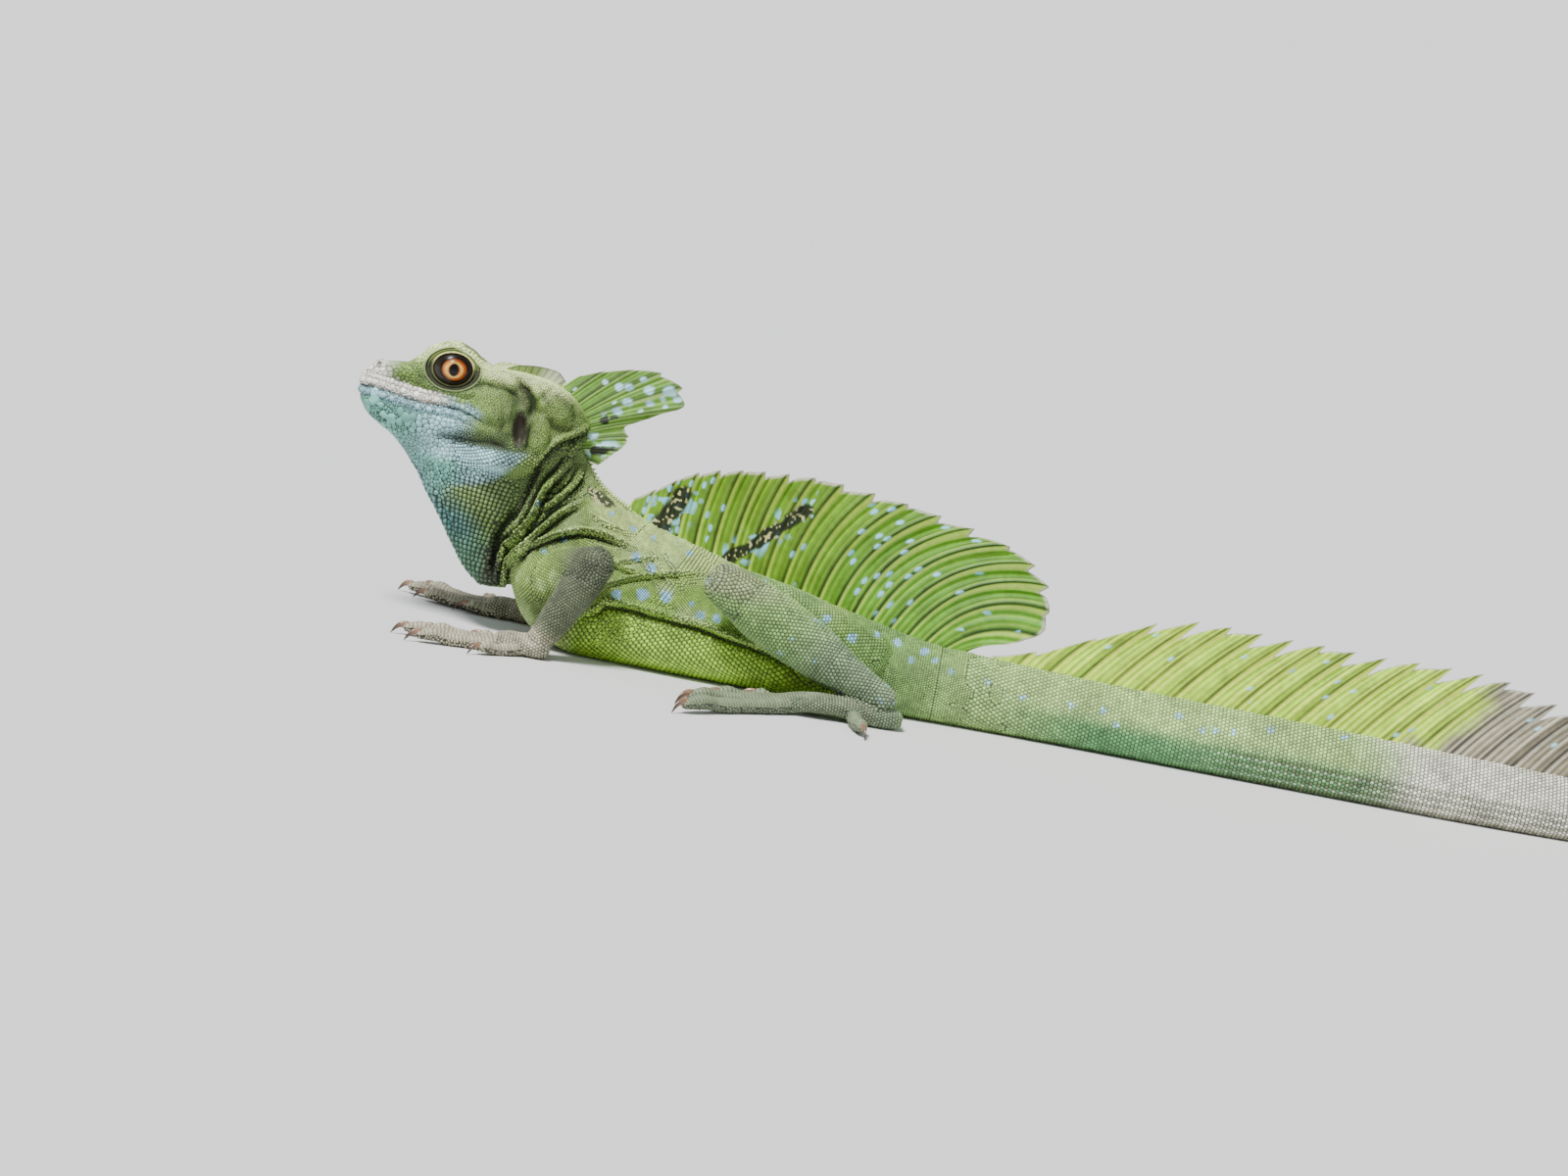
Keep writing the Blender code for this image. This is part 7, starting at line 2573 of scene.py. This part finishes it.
NAPE_SERRATION = ((0.0, 0.0, 0.9), (1.0, 0.1, 0.6), (-1.0, 0.2, 0.6))
JOWL_SCALES: Knots = ((24.0, 1.2, 1.0), (58.0, 1.2, 1.0))
THROAT_SCALES: Knots = ((1.0, 1.25, 1.45), (20.0, 1.4, 1.7), (60.0, 1.3, 1.6))
BELLY_SCALES: Knots = ((0.0, 1.4, 1.5), (200.0, 1.4, 1.5))
TRUNK_SCALES: Knots = ((0.0, 0.74, 0.84), (25.0, 0.66, 0.76), (45.0, 0.72, 0.80), (200.0, 0.74, 0.82))
TAIL_SCALES: Knots = ((0.0, 1.25, 1.3), (60.0, 1.18, 1.4), (110.0, 1.14, 1.5), (206.0, 1.04, 1.55),
                      (214.0, 1.3, 1.9), (300.0, 1.2, 1.8), (400.0, 0.9, 1.5), (500.0, 0.5, 0.9))
VENT_SCALES: Knots = ((0.0, 0.80, 0.86), (30.0, 0.95, 1.05), (60.0, 1.1, 1.3))


@dataclass
class Basilisk:
    """The whole animal: skin, coat, crests, eyes, lids and claws."""

    place: Placement
    effects: Effects

    def keep(self, surface: Surface, name: str, finish: Finish, slot: str, *nodes: str) -> None:
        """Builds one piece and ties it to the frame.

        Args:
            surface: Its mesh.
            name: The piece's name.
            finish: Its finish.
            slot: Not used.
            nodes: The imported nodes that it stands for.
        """
        material = bpy.data.materials.get(finish.name) or finish.material(self.effects)
        piece = surface.build(name, self.place, material)
        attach(piece, "root")
        if nodes:
            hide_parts(*nodes)
        triangles = len(surface.faces) * (surface.faces.shape[1] - 2)
        LOG.info("%s: %d triangles", name, triangles)

    def dress_skin(self) -> Hide:
        """Builds the one skin.

        Returns:
            The skin's arrays, for what grows on it.
        """
        lofts = [body_loft(), tail_loft(), head_loft(), throat_loft()]
        for plan in LEGS:
            leg = Leg(plan)
            lofts += [segment[0] for segment in leg.segments()]
            lofts.append(leg.palm())
            lofts += [digit.flesh() for digit in leg.digits()]
        hide = Hide(lofts)
        hide.fuse()
        hide.soften()
        hide.blend_jaw()
        hide.carve()
        # the bare skin takes the colour between scales, with its painted shade, and the folds' painted light
        # and shade
        tint = Coat(hide).rim_colour(hide.points, Paint.hide(hide.points)) * hide.tone[:, None]
        legs = [f"{side}_{part}" for side in ("left", "right")
                for part in ("foot", "forearm", "hand", "shank", "thigh", "upper_arm")]
        flesh = ("head", "lower_jaw", "throat", "neck", "torso", "tail_base", "tail_middle", "tail_rear",
                 "tail_tip", *legs)
        self.keep(Surface(hide.points, hide.faces, tint), "skin", SMOOTH_SKIN, "body_skin", *flesh)
        return hide

    def dress_coat(self, hide: Hide) -> None:
        """Lays all scales over the skin."""
        coat = Coat(hide)
        for row in HEAD_PLATES:
            for side in Side:
                places, along, size = row.places(hide, side)
                coat.add(row.shape, places, along, size, 0.5, 3.0)
        coat.scatter(Shape.PLATE, is_chin, chin_size, 0.10, 16000, 1, 0.78)
        coat.scatter(Shape.PLATE, is_snout, snout_size, 0.10, 12000, 2, 0.80)
        coat.scatter(Shape.PLATE, is_crown, crown_size, 0.12, 40000, 3, 0.80)
        head, throat, body, tail = head_loft(), throat_loft(), body_loft(), tail_loft()
        x = np.arange(-110.0, -91.0, 0.8)
        for side, drop, high in NAPE_SERRATION:
            places = np.column_stack([x, np.full(len(x), side), back_height(x) - drop])
            along = np.tile([0.8, 0.0, -0.5], (len(x), 1))
            coat.add(Shape.KEELED, places, along, np.tile([0.9, 1.0, high], (len(x), 1)))
        coat.on_form(head, Shape.DOME, JOWL_SCALES, 0.22, is_jowl)
        coat.scatter(Shape.GRANULE, is_cheek, cheek_size, 0.14, 110000, 4, 0.82)
        coat.on_form(throat, Shape.DOME, THROAT_SCALES, 0.26)
        coat.on_form(body, Shape.KEELED, BELLY_SCALES, 0.18, is_belly)
        coat.on_form(body, Shape.DOME, TRUNK_SCALES, 0.18)
        coat.on_form(tail, Shape.KEELED, TAIL_SCALES, 0.16, is_tail)
        coat.on_form(tail, Shape.DOME, VENT_SCALES, 0.18, is_vent)
        for plan in LEGS:
            leg = Leg(plan)
            (upper, _), (lower, _) = leg.segments()
            big = 1.15 if plan.hind else 0.95
            coat.on_form(upper, Shape.KEELED, ((0.0, big, big * 1.2), (200.0, big, big * 1.2)), 0.24)
            coat.on_form(lower, Shape.KEELED, ((0.0, big, big * 1.15), (200.0, big * 0.9, big)), 0.24)
            coat.on_form(leg.palm(), Shape.DOME, ((0.0, 0.95, 1.0), (90.0, 0.85, 0.9)), 0.24)
        for k in range(3):
            coat.scatter(Shape.DOME, is_skin, filler_size, 0.18, 70000, 7 + k, 0.76)
        scutes: dict[Region, list[Surface]] = {Region.FORE_LEGS: [], Region.HIND_LEGS: []}
        for plan in LEGS:
            for digit in Leg(plan).digits():
                tint = Paint.foot if plan.hind else Paint.hand
                region = Region.HIND_LEGS if plan.hind else Region.FORE_LEGS
                scutes[region].append(ScuteRun(digit).surface(tint))
        for region, surface in coat.pieces().items():
            if region in scutes:
                surface = Surface.joined([surface, *scutes[region]])
            self.keep(surface, f"coat_{region.value}", SCALED_SKIN, SLOTS[region])

    def dress_crests(self) -> None:
        """Builds the four crests."""
        for fin, node in ((SAIL, "back_crest"), (TAIL_FIN, "tail_crest"), (CROWN_FIN, "head_crest"),
                          (FRONT_FIN, "front_crest")):
            self.keep(fin.mesh(FIN_PAINTS[fin.name]), fin.name, CREST_SKIN, "crest_skin", node)

    def dress_eyes(self, hide: Hide) -> None:
        """Builds eyeballs and lids."""
        for side in Side:
            eye = Eye(side)
            self.keep(eye.globe(), f"eyeball_{side.word}", EYE_GLASS, "eye", f"eye_{side.word}")
            surface, rings = eye.lids(hide)
            self.keep(surface, f"lids_{side.word}", SMOOTH_SKIN, "head_skin")
            self.keep(eye.lid_scales(rings), f"lid_scales_{side.word}", SCALED_SKIN, "head_skin")

    def dress_claws(self) -> None:
        """Builds the claws of each hand and foot."""
        for plan in LEGS:
            nails = [digit.nail() for digit in Leg(plan).digits()]
            parts = []
            for nail in nails:
                points, faces = nail.triangles()
                rings = np.linspace(0, 1, len(nail.rings))
                share = np.concatenate([np.repeat(rings, nail.rings.shape[1]), [0, 1]])
                tint = mix(shade(150, 116, 92), shade(64, 46, 36), smooth(0.1, 0.9, share))
                parts.append(Surface(points, faces, tint))
            word = "foot" if plan.hind else "hand"
            self.keep(Surface.joined(parts), f"claws_{plan.side.word}_{word}", CLAW_HORN, "leg_skin")


@dataclass(frozen=True)
class Studio:
    """Floor, lights and camera.

    Each lamp has a name, the direction that it shines from, its angle in degrees and its strength.
    """

    place: Placement
    world: tuple[float, float, float, float] = (0.90, 0.95, 1.0, 1.0)
    world_strength: float = 0.42
    floor_tint: tuple[float, float, float, float] = (0.74, 0.74, 0.73, 1.0)
    lamps: tuple[tuple[str, tuple[float, float, float], float, float], ...] = (
        ("key", (-0.34, -0.46, 1.0), 14.0, 5.6),
        ("fill", (0.8, -1.0, 0.35), 50.0, 0.35),
    )
    aim: tuple[float, float] = (-0.0434, 0.0293)
    sensor: float = 36.0
    distance: float = 1.3
    height: float = 9.0
    roll: float = 11.0
    seen_width: float = 0.456

    def build(self) -> None:
        """Sets the stage."""
        self.floor()
        self.lights()
        self.camera()

    def floor(self) -> None:
        """A plain pale floor that rises gently far behind, so that its edge stays out of the picture."""
        mesh = bpy.data.meshes.new("floor")
        reach, flat_to, swing = 60.0, 2.0, 0.00024
        rows = (-reach, flat_to, 8.0, 20.0, 40.0, reach)
        points = [(x, y, swing * max(0.0, y - flat_to) ** 2) for y in rows for x in (-reach, reach)]
        faces = [(2 * k, 2 * k + 1, 2 * k + 3, 2 * k + 2) for k in range(len(rows) - 1)]
        mesh.from_pydata(points, [], faces)
        mesh.shade_smooth()
        paint = bpy.data.materials.new("studio_floor")
        paint.use_nodes = True
        skin = paint.node_tree.nodes["Principled BSDF"]
        skin.inputs["Base Color"].default_value = self.floor_tint
        skin.inputs["Roughness"].default_value = 0.85
        mesh.materials.append(paint)
        floor = bpy.data.objects.new("floor", mesh)
        bpy.context.scene.collection.objects.link(floor)

    def lights(self) -> None:
        """One broad soft key from above and in front, a weak fill, and a pale world."""
        world = bpy.data.worlds.new("studio")
        world.use_nodes = True
        sky = world.node_tree.nodes["Background"]
        sky.inputs["Color"].default_value = self.world
        sky.inputs["Strength"].default_value = self.world_strength
        bpy.context.scene.world = world
        for name, away, angle, power in self.lamps:
            lamp = bpy.data.lights.new(name, "SUN")
            lamp.angle = math.radians(angle)
            lamp.energy = power
            obj = bpy.data.objects.new(name, lamp)
            obj.location = Vector(away)
            obj.rotation_mode = "QUATERNION"
            obj.rotation_quaternion = Vector(away).to_track_quat("Z", "Y")
            bpy.context.scene.collection.objects.link(obj)

    def camera(self) -> None:
        """The photograph's view, turned with the animal."""
        aim = Vector((self.place.shift[0] + self.aim[0], self.place.shift[1], self.aim[1]))
        up = math.radians(self.height)
        away = Vector((0.0, -math.cos(up), math.sin(up)))
        data = bpy.data.cameras.new("camera")
        data.sensor_width = self.sensor
        data.lens = self.sensor * self.distance / self.seen_width
        camera = bpy.data.objects.new("camera", data)
        camera.location = aim + away * self.distance
        camera.rotation_mode = "QUATERNION"
        turn = Quaternion((0.0, 0.0, 1.0), math.radians(self.roll))
        camera.rotation_quaternion = (-away).to_track_quat("-Z", "Y") @ turn
        bpy.context.scene.collection.objects.link(camera)
        bpy.context.scene.camera = camera


def main() -> None:
    """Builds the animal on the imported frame, and the studio round it."""
    logging.basicConfig(level=logging.INFO, format="%(name)s %(message)s")
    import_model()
    place = Placement.from_frame()
    animal = Basilisk(place, Effects())
    hide = animal.dress_skin()
    animal.dress_coat(hide)
    animal.dress_eyes(hide)
    animal.dress_crests()
    animal.dress_claws()
    Studio(place).build()


if __name__ == "__main__":
    main()
